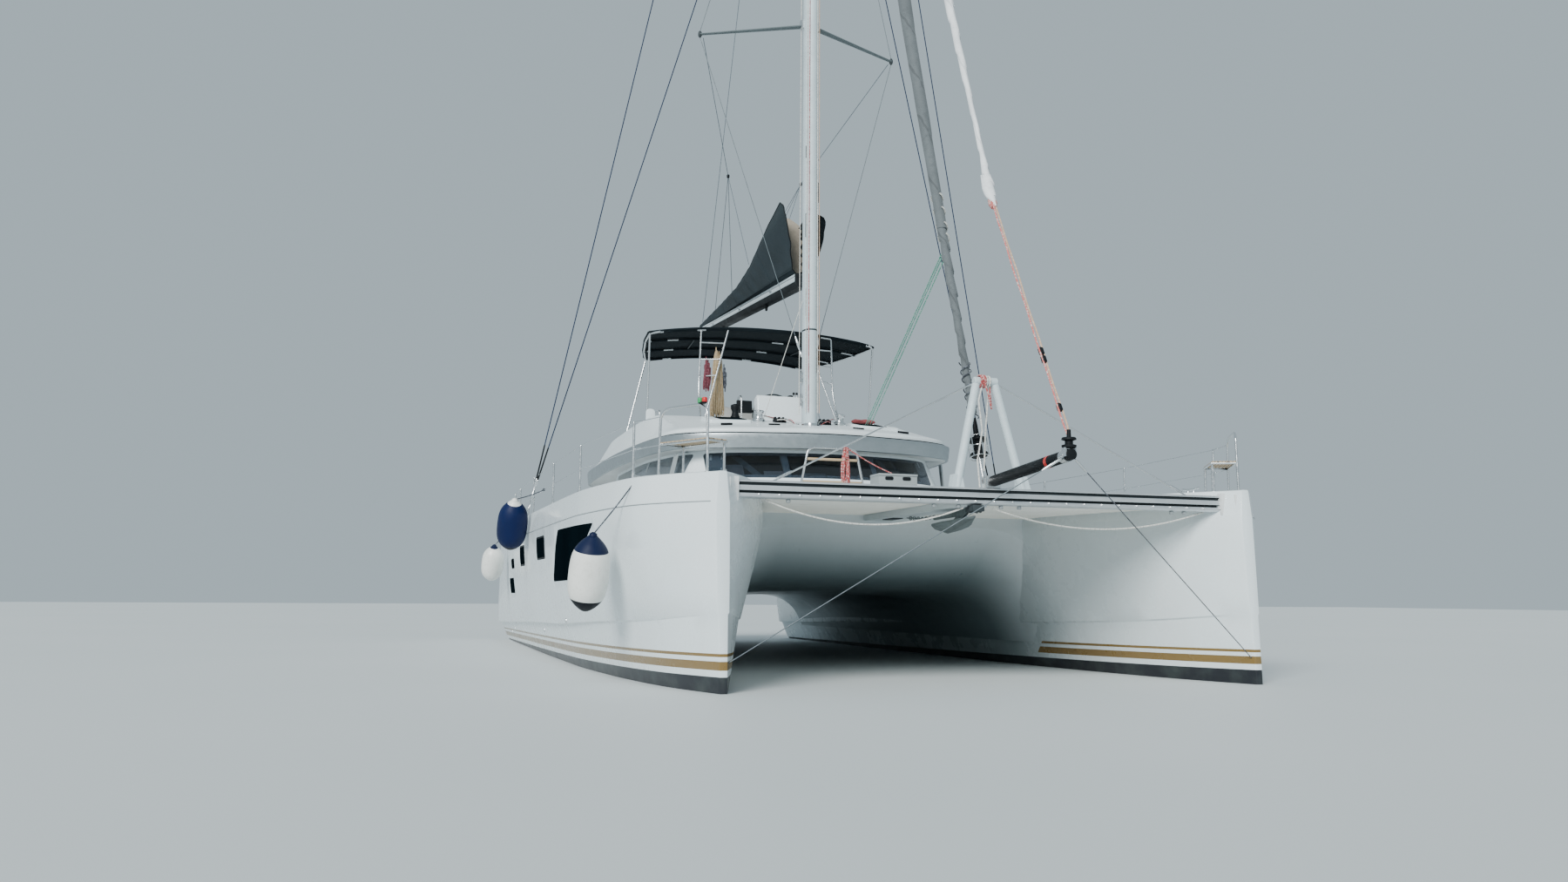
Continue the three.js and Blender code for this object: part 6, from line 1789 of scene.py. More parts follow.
def noiseOf(*place):
    return noise.noise(Vector(place))


def bagReach(low, high, u):
    # half width of the bag at a share of its height
    return low + (high - low) * min(1.0, u / 0.78)


def bagLine(t, side, rows):
    # one upright line of a flap, from the boom to its top edge
    lowX, highX, low, high, topZ = bagAt(t)
    footZ = boomTopAt(lowX) + 0.0006
    drop = (0.0 if side < 0 else 0.12) * max(0.0, 1 - t * 2.2)
    ahead = max(0.0, 1 - t * 9) ** 1.5
    line = []
    for u in (r / rows for r in range(rows + 1)):
        reach = low * 0.55 if u == 0 else bagReach(low, high, u)
        if u > 0.78:
            reach = high * (1 - 0.22 * ((u - 0.78) / 0.22) ** 2)
        z = footZ + (topZ - drop - footZ) * u
        x = lowX + (highX - lowX) * u
        x += ahead * 0.5 * math.sin(min(1.0, u * 1.1) * math.pi / 2) * (1 - 0.6 * max(0.0, u - 0.86) / 0.14)
        if side > 0:
            reach += 0.07 * ahead * math.sin(u * math.pi)
        broad = noiseOf(x * 1.7, side * 3.0, z * 2.2)
        fine = noiseOf(x * 6.0 + z * 4, side * 9.0, z * 1.5)
        crease = abs(noiseOf(x * 2.6 + z * 3.4, side * 5.0, (z - x * 0.4) * 0.7)) - 0.2
        belly = math.sin(u * math.pi) * (0.026 * broad + 0.008 * fine + 0.045 * crease)
        sagging = 0.012 * math.sin(t * math.pi * 14) * u ** 2
        line.append(Vector((x, side * min(reach + belly, reach + 0.014), z - abs(sagging) * 0.8)))
    return line


def makeBag():
    cols, rows = 88, 18
    for name, side in bothSides:
        flap, trim = newShape(), newShape()
        outer = [bagLine(c / cols, side, rows) for c in range(cols + 1)]
        moved = lambda line, x, y: [p + Vector((x, side * y, 0)) for p in line]
        addSlab(flap, outer, [moved(line, 0, -0.006) for line in outer], 0, lambda c, r: (c * 0.067, r * 0.06))
        piece = finishShape("bagFlap_" + name, flap, "bagCloth", "boom", ["sail_bag"], 70)
        addTube(trim, [line[-1] for line in outer], 0.011, 8)
        addTube(trim, moved(outer[0], 0.004, 0), 0.009, 8)
        addTube(trim, moved([line[1] for line in outer], 0, 0.004), 0.008, 8, 1)
        for t in (0.16, 0.33, 0.5, 0.67, 0.83):
            addTube(trim, moved(outer[int(t * cols)][1:], 0, 0.003), 0.005, 6, 1)
        finishShape("bagPiping_" + name, trim, "black bagCloth", "boom")


def makeSailStack():
    # flaked sail: folds run along the boom, showing above the lower flap and at the fore end
    cols, stack, rings = 70, newShape(), []
    for c in range(cols + 1):
        t = 0.04 + 0.948 * c / cols
        lowX, highX, low, high, topZ = bagAt(t)
        footZ = boomTopAt(lowX) + 0.03
        crest = topZ - 0.02 + (0.05 * max(0, 1 - t * 3) if t < 0.3 else 0.0)
        ring = []
        for across, rise in turns(64):
            u, out = 0.5 + 0.5 * rise, abs(across)
            half = bagReach(low, high, u) * 0.9 - 0.02
            if u > 0.8:
                half *= 1 - 0.55 * ((u - 0.8) / 0.2) ** 2
            layer = u * 7.5 + 0.7 * noiseOf(t * 6, 0.5 if across > 0 else 4.5, u * 3)
            fold = 0.075 * (abs((layer % 1.0) * 2 - 1) - 0.62) + 0.018 * noiseOf(t * 22, u * 8, 3.0)
            y = math.copysign(1, across) * max(0.0, half * min(1.0, out * 2.4) + fold * min(1.0, out * 3))
            x = lowX + (highX - lowX) * u + (0.05 * noiseOf(u * 9, y * 12, 1.0) if c == 0 else 0)
            z = footZ + (crest - footZ) * u + 0.03 * noiseOf(t * 16, u * 4, 7.0) * u
            ring.append(Vector((x, y, min(z, topZ - 0.002 + 0.02 * (t < 0.1)))))
        rings.append(ring)
    addLoft(stack, rings, 0, True, True, 1.6, 6.0)
    finishShape("flakedMainsail", stack, "tan", "boom", (), 60)


makeMast()
makeStays()
makeBoom()
makeBag()
makeSailStack()
print("mast, boom and sail bag made")


# furled sails on their stays

furlSize = {
    "genoaPath": [(6.432, 1.8603), (6.3, 2.27), (6.275, 2.35), (6.24, 2.48), (6.18, 2.68), (4.45, 7.97), (1.42, 17.5),
                  (1.0, 18.8)],
    "genoaRadii": [0.022, 0.022, 0.09, 0.09, 0.04, 0.078, 0.055, 0.012],
    "gennakerPath": [(8.04, 2.2), (6.76, 4.62), (6.62, 4.9), (6.45, 5.36), (6.2, 6.03), (5.95, 6.7), (5.69, 7.39), (1.9, 17.3),
                     (1.0, 19.5)],
    "gennakerRadii": [0.012, 0.012, 0.062, 0.034, 0.032, 0.044, 0.058, 0.036, 0.01],
    "drum": [(0.02, 0), (0.085, 0.005), (0.09, 0.015), (0.09, 0.03), (0.05, 0.04), (0.048, 0.15), (0.088, 0.165), (0.09, 0.18),
             (0.085, 0.192), (0.03, 0.2), (0.026, 0.34), (0.02, 0.42)],
    "tackDrum": [(0.02, -0.005), (0.062, 0.0), (0.065, 0.01), (0.065, 0.022), (0.036, 0.03), (0.036, 0.06), (0.065, 0.068),
                 (0.065, 0.08), (0.058, 0.09), (0.02, 0.094), (0.018, 0.16)],
}


def alongPath(path, radii, z):
    for a, b, ra, rb in zip(path, path[1:], radii, radii[1:]):
        if a[1] <= z <= b[1]:
            t = (z - a[1]) / (b[1] - a[1])
            return a[0] + (b[0] - a[0]) * t, ra + (rb - ra) * t
    return path[-1][0], radii[-1]


def woundSail(shape, path, radii, low, high, wraps, depth, count=20, steps=190, ragged=0.0):
    # a tube whose section is a spiral of cloth turning as it climbs
    rings = []
    for k in range(steps + 1):
        z = low + (high - low) * k / steps
        x, r = alongPath(path, radii, z)
        ring = []
        for j, (c, s) in enumerate(turns(count)):
            spiral = (j / count + wraps * k / steps) % 1.0
            rr = r * (1 - depth * spiral + 0.10 * noiseOf(c * 0.8, s * 0.8, z * 1.3) * (1 + ragged))
            ring.append((x + rr * c, rr * s, z))
        rings.append(ring)
    addLoft(shape, rings, 0, True, True, 0.5, high - low)


def makeGenoa():
    path, radii = furlSize["genoaPath"], furlSize["genoaRadii"]
    sail, foil, marks = newShape(), newShape(), newShape()
    woundSail(sail, path, [r * 1.04 for r in radii], 4.86, 18.62, 9, 0.07, 24, 200)
    woundSail(sail, path, [r * 1.05 for r in radii], 2.72, 4.92, 8, 0.30, 24, 130)
    finishShape("furledGenoa", sail, "genoa", "boat", "furled_genoa", 75)
    addTube(foil, [(6.432, 0, 1.8603), (6.30, 0, 2.27)], 0.014)
    axis = (Vector((6.24, 0, 2.48)) - Vector((6.3, 0, 2.27))).normalized()
    foot = Vector((6.303, 0, 2.262))
    addTurned(foil, furlSize["drum"], foot, axis, 28, 1)
    # a cage of rods and hoops round the drum
    out = lambda c, s: (Vector((axis.z, 0, -axis.x)) * c + Vector((0, 1, 0)) * s) * 0.096
    for c, s in turns(6):
        addTube(foil, [foot + out(c, s) + axis * h for h in (-0.01, 0.205)], 0.0045, 6)
    for h in (-0.01, 0.10, 0.205):
        addTube(foil, [foot + axis * h + out(c, s) for c, s in turns(24, 1)], 0.0045, 6, 0, False)
    addTurned(foil, [(0.02, 0), (0.03, 0.01), (0.03, 0.10), (0.02, 0.12)], (6.432, 0, 1.93), (-0.3, 0, 1), 14)
    finishShape("furlingDrum", foil, "steel black", angle=40)
    for z in (4.74, 4.88, 5.07, 5.24):
        x, r = alongPath(path, radii, z)
        tie = [Vector((x + r * 1.1 * math.cos(a), r * 1.1 * math.sin(a), z + 0.05 * math.sin(a + 2.2)))
               for a in (2 * math.pi * k / 24 for k in range(18))]
        addTube(marks, tie, 0.0085, 6, 0, False)
    for start in (0.4, 3.0):
        spiral = []
        for j in range(60):
            z, a = 2.66 + 0.62 * j / 59, start + j * 0.34
            x, r = alongPath(path, radii, z)
            spiral.append(Vector((x + (r * 1.1 + 0.008) * math.cos(a), (r * 1.1 + 0.008) * math.sin(a), z)))
        addTube(marks, spiral, 0.0065, 6, 1)
    finishShape("genoaTies", marks, "whiteRope darkRope")


def makeGennaker():
    s = furlSize
    sail, gear, skirt = newShape(), newShape(), newShape()
    woundSail(sail, s["gennakerPath"], s["gennakerRadii"], 4.86, 19.2, 34, 0.28, 20, 300, 0.8)
    finishShape("furledGennaker", sail, "gennaker", "boat", "furled_gennaker", 75)
    way = (Vector((6.76, 0, 4.62)) - Vector((8.04, 0, 2.2))).normalized()
    addTurned(gear, s["tackDrum"], (8.04, 0, 2.16), (0, 0, 1), 24)
    tip, head = Vector((8.04, 0, 2.26)), Vector((6.74, 0, 4.66))
    for k, (dx, dy) in enumerate(((0.0, 0.018), (0.01, -0.018))):
        run = [tip.lerp(head, t) + Vector((dx, dy + 0.004 * math.sin(t * 20 + k * 3), 0)) for t in (j / 24 for j in range(1, 24))]
        ends = tip + Vector((0, dy * 0.4, 0.0)), Vector((6.66, dy * 0.4, 4.84))
        addTube(gear, [ends[0], *run, ends[1]], 0.0085, 8, 2 + k)
    for t in (0.10, 0.30, 0.335):
        addTurned(gear, [(0.014, 0), (0.026, 0.015), (0.026, 0.07), (0.014, 0.085)], tip.lerp(head, t), way, 12)
    for y in (-0.056, 0.044):
        addPrism(gear, [(8.0, y, 2.08), (8.08, y, 2.08), (8.07, y, 2.16), (8.01, y, 2.16)], (0, 0.012, 0), 1)
    addTurned(gear, [(0.0, 0), (0.03, 0.012), (0.045, 0.06), (0.04, 0.12), (0.02, 0.16), (0, 0.17)], (6.70, 0, 4.72), way, 14, 3)
    finishShape("gennakerTackGear", gear, "black steel tanRope pinkRope")
    woundSail(skirt, [(6.72, 4.7), (6.6, 4.95), (6.5, 5.15)], [0.02, 0.075, 0.07], 4.74, 5.12, 1.2, 0.4, 18, 24, 1.4)
    finishShape("gennakerFoot", skirt, "gennaker", angle=75)


makeGenoa()
makeGennaker()
print("furled sails made")


# running lines beyond the main stays: halyards, lazy lines, sheets

def makeLines():
    halyards, lazy, lift, bridle, green = [newShape() for _ in range(5)]
    evenly = lambda a, b, steps: [a.lerp(b, k / steps) for k in range(steps + 1)]
    for x, y, z, mat in ((1.10, -0.05, 18.4, 2), (1.095, 0.055, 17.2, 0), (1.08, -0.075, 12.0, 0), (1.08, 0.08, 19.6, 3),
                         (0.86, -0.095, 20.3, 0), (0.86, 0.098, 20.3, 1)):
        addTube(halyards, [(x + 0.01, y * 1.3, 3.42), (x * 0.985, y, z)], 0.0055, 6, mat)
    finishShape("halyards", halyards, "whiteRope darkRope redRope tanRope")
    for _, side in bothSides:
        block, split = Vector((0.35, side * 1.48, 9.08)), Vector((-1.35, side * 0.62, 7.6))
        addTube(lazy, evenly(block, split, 8), 0.0055, 6)
        for x in (-0.9, -2.4, -3.9):
            _, highX, _, high, topZ = bagAt((0.56 - x) / 5.91)
            addTube(lazy, evenly(split, Vector((highX, side * high * 0.95, topZ - 0.01)), 8), 0.005, 6)
        addTurned(lazy, [(0.012, 0), (0.024, 0.01), (0.024, 0.05), (0.012, 0.06)], split - Vector((0, 0, 0.03)), (0, 0, 1), 10, 1)
    piece = finishShape("lazyLines", lazy, "slateRope black", None)
    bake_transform(piece)
    addTube(lift, evenly(Vector((-5.55, 0, boomTopAt(-5.55) - 0.01)), Vector((0.80, 0.0, 20.2)), 30), 0.0065, 6)
    piece = finishShape("toppingLift", lift, "slateRope", None)
    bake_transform(piece)
    for y0, z0, y1, z1, sag in ((-2.35, 1.75, -0.30, 1.72, 0.20), (0.02, 1.72, 2.45, 1.75, 0.19)):
        addTube(bridle, sagPath((6.54, y0, z0), (6.54, y1, z1), sag), 0.0085, 8)
    addTube(bridle, [(6.43, 0.05, 2.96), (6.40, 0.02, 2.5), (6.44, -0.02, 2.1)], 0.008, 8)
    addTube(bridle, [(6.46, -0.02, 3.03), (6.50, -0.10, 2.8), (6.49, -0.06, 2.5), (6.50, -0.12, 2.2), (6.50, -0.10, 1.93)],
            0.008, 8)
    coils = [(6.45, 0.055, -0.03 + 0.03 * k, 0.009, 0) for k in range(3)]
    coils += [(6.452, 0.062, -0.07 + 0.016 * k, 0.0085, 1) for k in range(4)]
    for x, wide, y, radius, mat in coils:
        addTube(bridle, [Vector((x + wide * c, y, 3.0 + wide * s)) for c, s in turns(20, 1)], radius, 8, mat, False)
    tail = [(6.47, -0.05, 3.05), (6.53, -0.02, 2.9), (6.52, 0.03, 2.72), (6.47, 0.04, 2.9), (6.46, 0.05, 3.0)]
    addTube(bridle, smoothPath(tail, 5), 0.0085, 8, 1)
    finishShape("beamLines", bridle, "whiteRope redRope")
    for d in (0.0, 0.045, 0.11):
        addTube(green, [(0.62 - d, 0.98 + d, 3.33), (5.46, 0.05 + d * 0.2, 4.70 - d * 0.7)], 0.0075, 8)
    addTube(green, [(0.50, -0.55, 3.36), (0.99, -0.118, 5.05)], 0.0045, 6, 1)
    finishShape("sheetLines", green, "greenRope whiteRope")


makeLines()
print("running lines made")


# canopy over the flybridge, its frame and the two ladders

canopySize = {
    "rows": [(-1.12, 1.76), (-1.30, 1.89), (-1.95, 1.83), (-2.78, 1.69), (-3.6, 1.5)],
    "edge": 4.95, "crown": 0.13, "thick": 0.024, "tube": 0.016, "inset": 0.026,
    "foot": (-0.81, 1.15, 3.45), "outer": 1.08, "inner": 0.64, "bend": 4.0, "rungs": (4.25, 4.52, 4.79),
    # the bays between bows, and the sleeves along the fore bow and along the others
    "bays": ((-1.146, -1.95), (-1.95, -2.78), (-2.78, -3.574)),
    "foreSleeves": ((-0.97, -0.66), (-0.58, 0.52), (0.62, 0.97)), "sleeves": ((-0.95, -0.80), (-0.70, 0.18), (0.29, 0.86)),
}


def canopyHalf(x):
    rows = canopySize["rows"][::-1]
    (xa, ya), (xb, yb) = [pair for pair in zip(rows, rows[1:]) if pair[0][0] <= x + 1e-9][-1]
    return ya + (yb - ya) * (x - xa) / (xb - xa)


def canopyTop(u, v):
    # u fore to aft, v across from -1 to 1
    s = canopySize
    front, back = s["rows"][0][0], s["rows"][-1][0]
    x = front + (back - front) * u
    corner = max(0.0, 1 - u * (front - back) / 0.16)
    aft = max(0.0, 1 - (1 - u) * (front - back) / 0.14)
    y = (canopyHalf(x) - 0.05 * corner ** 2 - 0.10 * aft ** 2) * v
    sag = sum(math.sin((a - x) / (a - b) * math.pi) for a, b in s["bays"] if b <= x <= a)
    z = s["edge"] + s["crown"] * (1 - v * v) - 0.002 - 0.012 * sag * (1 - v ** 4)
    z -= 0.010 * max(0.0, abs(v) - 0.93) / 0.07 + 0.006 * (corner ** 2 + aft ** 2)
    return Vector((x, y, z + 0.002 * noiseOf(x * 4, y * 4, 0) * (1 - v ** 4)))


def canopyBows():
    # x and half width of each bow of the frame
    s = canopySize
    shift = {0: -s["inset"], 4: s["inset"]}
    return [(s["rows"][i][0] + shift.get(i, 0), s["rows"][i][1] - s["inset"]) for i in (0, 2, 3, 4)]


def canopyArch(x, half, t):
    s = canopySize
    return Vector((x, half * t, s["edge"] + s["crown"] * (1 - t * t) - s["thick"] - s["tube"] + 0.0007))


def makeCanopy():
    s = canopySize
    cols, rows = 44, 48
    cloth, hem, sleeves = newShape(), newShape(), newShape()
    grid = [[canopyTop(c / cols, -1 + 2 * r / rows) for r in range(rows + 1)] for c in range(cols + 1)]
    under = [[p - Vector((0, 0, 0.012)) for p in line] for line in grid]
    addSlab(cloth, grid, under, 0, lambda c, r: (grid[c][r].x, grid[c][r].y))
    piece = finishShape("canopyCloth", cloth, "charcoal", "boat", "bimini_canopy", 70)
    edge = grid[0][2:rows - 1] + [line[rows] for line in grid[2:cols - 1]]
    edge += grid[cols][rows - 2:1:-1] + [line[0] for line in grid[cols - 2:1:-1]]
    ring = smoothPath([p - Vector((0, 0, 0.010)) for p in edge[::2]], 2, True)
    ring.append(ring[0])
    middle = sum(p.x for p in ring) / len(ring)
    addTube(hem, [p + (Vector((middle, 0, p.z)) - p).normalized() * 0.012 for p in ring], 0.019)
    for c, off in ((c, off) for c in (14, 29) for off in (-0.012, 0.012)):
        addTube(hem, [p + Vector((off, 0, -0.0125)) for p in grid[c][2:-2]], 0.0022, 6)
    finishShape("canopyHem", hem, "charcoal")
    for k, (x, half) in enumerate(canopyBows()):
        for low, high in s["sleeves"] if k else s["foreSleeves"]:
            run = [canopyArch(x, half, low + (high - low) * j / 12) for j in range(13)]
            addTube(sleeves, run, s["tube"] + 0.0035, 12)
    finishShape("canopySleeves", sleeves, "charcoal")


def makeCanopyFrame():
    s = canopySize
    bars, joints = newShape(), newShape()
    for x, half in canopyBows():
        addTube(bars, [canopyArch(x, half, -1 + k / 12) for k in range(25)], s["tube"], 12)
    frontX, frontHalf = canopyBows()[0]
    fx, fy, fz = s["foot"]
    for side in (-1, 1):
        edge = [canopyArch(x, half - s["inset"], side) for x, half in s["rows"]]
        addTube(bars, roundedPath(edge, 0.12), s["tube"], 12)
        for x, head in ((-1.5, edge[1]), (-3.4, edge[4])):
            addTube(bars, [(x, side * 1.85, 3.44), head], s["tube"], 12)
            addTurned(bars, [(0.042, 0.0), (0.042, 0.006), (0.026, 0.012), (0.022, 0.05), (0.017, 0.052)],
                      (x + 0.001, side * 1.848, 3.497), (0, 0, 1), 18)
        innerTop, outerTop = [canopyArch(frontX, frontHalf, side * s[key] / frontHalf) for key in ("inner", "outer")]
        innerFoot = Vector((fx, side * (fy - 0.04), fz))
        outer = [(fx, side * fy, fz), (frontX, side * (s["outer"] + 0.03), s["bend"]), outerTop]
        addTube(bars, roundedPath(outer, 0.28, 8), 0.015, 12)
        addTube(bars, [innerFoot, innerTop], 0.015, 12)
        for z in s["rungs"]:
            start = innerFoot.lerp(innerTop, (z - fz) / (innerTop.z - fz))
            addTube(bars, [start, (frontX, side * (s["outer"] + 0.01), z)], 0.011)
        addTurned(bars, [(0.03, 0), (0.03, 0.008), (0.018, 0.014)], (fx, side * (fy - 0.02), 3.49), (0, 0, 1), 16)
    finishShape("canopyFrame", bars, "steel", "boat", "bimini_frame", 45)
    for x, half, side in ((x, half, side) for x, half in canopyBows()[1:3] for side in (-1, 1)):
        addTurned(joints, [(0.012, -0.03), (0.021, -0.026), (0.021, 0.026), (0.012, 0.03)], canopyArch(x, half, side * 0.985),
                  (0.06, side * 0.97, -0.12), 14)
    for side in (-0.55, 0.55):
        addTube(joints, [canopyArch(-1.95, 1.80, side), canopyArch(-2.78, 1.66, side)], 0.008, 8)
    finishShape("canopyJoints", joints, "darkGrey")


makeCanopy()
makeCanopyFrame()
print("canopy made")


# guardrails and bow seats

railSize = {
    "xs": [5.5, 3.35, 1.2, -0.95, -3.1, -4.3], "inset": 0.13, "top": 2.56, "lines": (2.28, 2.55), "tube": 0.013,
    "seat": [(6.54, 2.88), (5.975, 3.2), (5.88, 2.95), (6.42, 2.66)],
}


def railY(x):
    a, b = next(pair for pair in zip(stations, stations[1:]) if pair[1][0] <= x)
    return hullSize["centre"] + b[7] + (a[7] - b[7]) * (x - b[0]) / (a[0] - b[0]) - railSize["inset"]


def makeRails():
    s, deck, up, lamp = railSize, hullSize["sheer"], (0, 0, 1), newShape()
    foot = deck + 0.0003
    for name, side in bothSides:
        rail, slats = newShape(), newShape()
        for x in s["xs"]:
            y = side * railY(x)
            addTube(rail, [(x, y, foot), (x, y, s["top"] - 0.01)], s["tube"], 12)
            addTurned(rail, [(0.036, 0.0003), (0.036, 0.008), (0.02, 0.014), (0.018, 0.09), (0.0135, 0.094)], (x, y, deck),
                      up, 16)
            addTurned(rail, [(0.013, 0), (0.013, 0.006), (0.009, 0.012)], (x, y, s["top"] - 0.012), up, 12)
        hoop = [(6.56, 2.88, foot), (6.54, 2.88, 2.56), (6.46, 2.93, 2.62), (6.06, 3.16, 2.62), (5.98, 3.2, 2.56),
                (5.96, 3.21, foot)]
        addTube(rail, roundedPath([(x, side * y, z) for x, y, z in hoop], 0.09, 6), s["tube"], 12)
        for x, y in ((5.9, 2.955), (6.4, 2.68)):
            addTube(rail, [(x, side * y, foot), (x, side * y, 2.275)], s["tube"], 12)
        for x, y in ((6.56, 2.88), (5.96, 3.21), (5.9, 2.955), (6.4, 2.68)):
            addTurned(rail, [(0.034, 0.0003), (0.034, 0.007), (0.018, 0.013)], (x, side * y, deck), up, 16)
        seat = [(x, side * y) for x, y in s["seat"]]
        addTube(rail, atHeight(seat + seat[:1], 2.282), 0.0115)
        for z in s["lines"]:
            run = [Vector((5.97, side * 3.205, z))] + [Vector((x, side * railY(x), z)) for x in s["xs"]]
            addTube(rail, run, 0.0042, 8, 1)
            addTurned(rail, [(0.006, 0), (0.009, 0.01), (0.009, 0.14), (0.006, 0.16)], run[1], run[0] - run[1], 10)
        finishShape("guardrail_" + name, rail, "steel steel", "boat", "guardrail_" + name, 45)
        a, b, c, d = [Vector(p) for p in atHeight(seat, 2.291)]
        for t0, t1 in (((k + 0.12) / 7, (k + 0.88) / 7) for k in range(7)):
            addPrism(slats, [a.lerp(d, t0), b.lerp(c, t0), b.lerp(c, t1), a.lerp(d, t1)], (0, 0, 0.014))
        finishShape("bowSeatSlats_" + name, slats, "teakFore", bevel=0.003)
    for x, y, mat in ((6.50, -2.90, 1), (6.45, -2.93, 2)):
        addTurned(lamp, [(0.0, 0), (0.022, 0.0), (0.026, 0.006), (0.026, 0.04), (0.02, 0.048), (0, 0.05)], (x, y, 2.632),
                  up, 16, mat)
    addBox(lamp, (6.42, -2.94, 2.622), (6.53, -2.885, 2.634))
    finishShape("bowLights", lamp, "black redLens green", bevel=0.001)


def makeDeckFittings():
    deck, up = hullSize["sheer"], (0, 0, 1)
    cleats, hatches, lids = newShape(), newShape(), newShape()
    for _, side in bothSides:
        for x, y in ((6.1, 2.62), (3.0, 3.56), (-3.9, 3.55), (-4.9, 3.55)):
            for dx in (-0.05, 0.05):
                addTurned(cleats, [(0.02, 0), (0.013, 0.012), (0.012, 0.045)], (x + dx, side * y, deck), up, 12)
            horns = [(x + dx, side * y, deck + z) for dx, z in ((-0.15, 0.062), (-0.06, 0.05), (0.06, 0.05), (0.15, 0.062))]
            addTube(cleats, smoothPath(horns, 5), [0.007] + [0.012] * 14 + [0.007])
    finishShape("mooringCleats", cleats, "steel")
    for _, side in bothSides:
        for x0, x1, half, out in ((4.45, 5.0, 0.27, 0), (2.55, 3.1, 0.27, 0), (0.2, 0.7, 0.22, 0.28), (-1.9, -1.4, 0.22, 0.28)):
            y = side * (hullSize["centre"] + out)
            for rise, cut, mat in ((0.022, 0.0, 0), (0.028, 0.035, 1)):
                ring = roundedOutline(rectangle(x0 + cut, x1 - cut, y - half + cut, y + half - cut), 0.05)
                addPrism(hatches, atHeight(ring, deck - 0.002), (0, 0, rise), mat)
            for dy in (-0.12, 0.12):
                addBox(hatches, (x0 - 0.02, y + dy - 0.02, deck), (x0 + 0.03, y + dy + 0.02, deck + 0.03))
    finishShape("deckHatches", hatches, "darkGrey hullGlass", bevel=0.004)
    for x0, x1, y0, y1 in ((2.635, 3.405, 0.565, 1.735), (2.635, 3.405, -1.735, -0.565), (2.915, 3.585, -0.325, 0.325)):
        addPrism(lids, atHeight(roundedOutline(rectangle(x0, x1, y0, y1), 0.04), deck - 0.01), (0, 0, 0.016))
        addTurned(lids, [(0.026, 0.006), (0.026, 0.009), (0.02, 0.0095), (0.0, 0.0085)], ((x0 + x1) / 2, y0 + 0.1, deck),
                  up, 16, 1)
    addTurned(lids, [(0.10, -0.02), (0.10, 0.05), (0.085, 0.07), (0.06, 0.08), (0.055, 0.12), (0.075, 0.135), (0.075, 0.15),
                     (0.03, 0.16)], (3.78, -0.18, deck), up, 28, 1)
    finishShape("foredeckLockers", lids, "deck steel", "boat", "bridgedeck", 35, 0.004)


def makeSterns():
    front, back, half = hullSize["lid"][:3]
    stem = newShape()
    for name, side in bothSides:
        lid, pulls, steps, grab = newShape(), newShape(), newShape(), newShape()
        c = side * hullSize["centre"]
        addBox(lid, (back, c - half, 1.0803), (front, c + half, 1.1199))
        finishShape("engineLid_" + name, lid, "deck", "engine_hatch_" + name, "engine_hatch_" + name, 35, 0.006)
        for y in (c - 0.2, c + 0.2):
            addTurned(pulls, [(0.028, 0), (0.028, 0.002), (0.02, 0.0025), (0, 0.0015)], (back + 0.09, y, 1.1195), (0, 0, 1), 16)
        finishShape("engineLidPulls_" + name, pulls, "steel", "engine_hatch_" + name)
        for x0, x1, z in ((-6.13, -5.62, 0.75), (-6.84, -6.17, 0.38)):
            addPrism(steps, atHeight(roundedOutline(rectangle(x0, x1, c - 0.6, c + 0.6), 0.05), z - 0.002), (0, 0, 0.008))
        finishShape("sternStepTeak_" + name, steps, "teak", bevel=0.001)
        y = c + side * 0.78
        addTube(grab, roundedPath([(-5.9, y, 1.44), (-5.9, y, 1.82), (-6.5, y, 1.36), (-6.5, y, 1.0)], 0.1), 0.0125, 12)
        for y in (c - 0.17, c + 0.17):
            addTube(grab, roundedPath([(-6.55, y, 0.40), (-6.82, y, 0.41), (-6.84, y, 0.41)], 0.02), 0.0125)
        for x, radius in ((-6.84, 0.0125), (-6.62, 0.010), (-6.73, 0.010)):
            addTube(grab, [(x, c - 0.17, 0.41), (x, c + 0.17, 0.41)], radius)
        finishShape("sternRails_" + name, grab, "steel")
        y0, y1 = sorted((side * 2.70, side * 2.755))
        addBox(stem, (6.60, y0, 1.70), (6.74, y1, 1.93))
    finishShape("stemBrackets", stem, "whitePlastic", bevel=0.01)


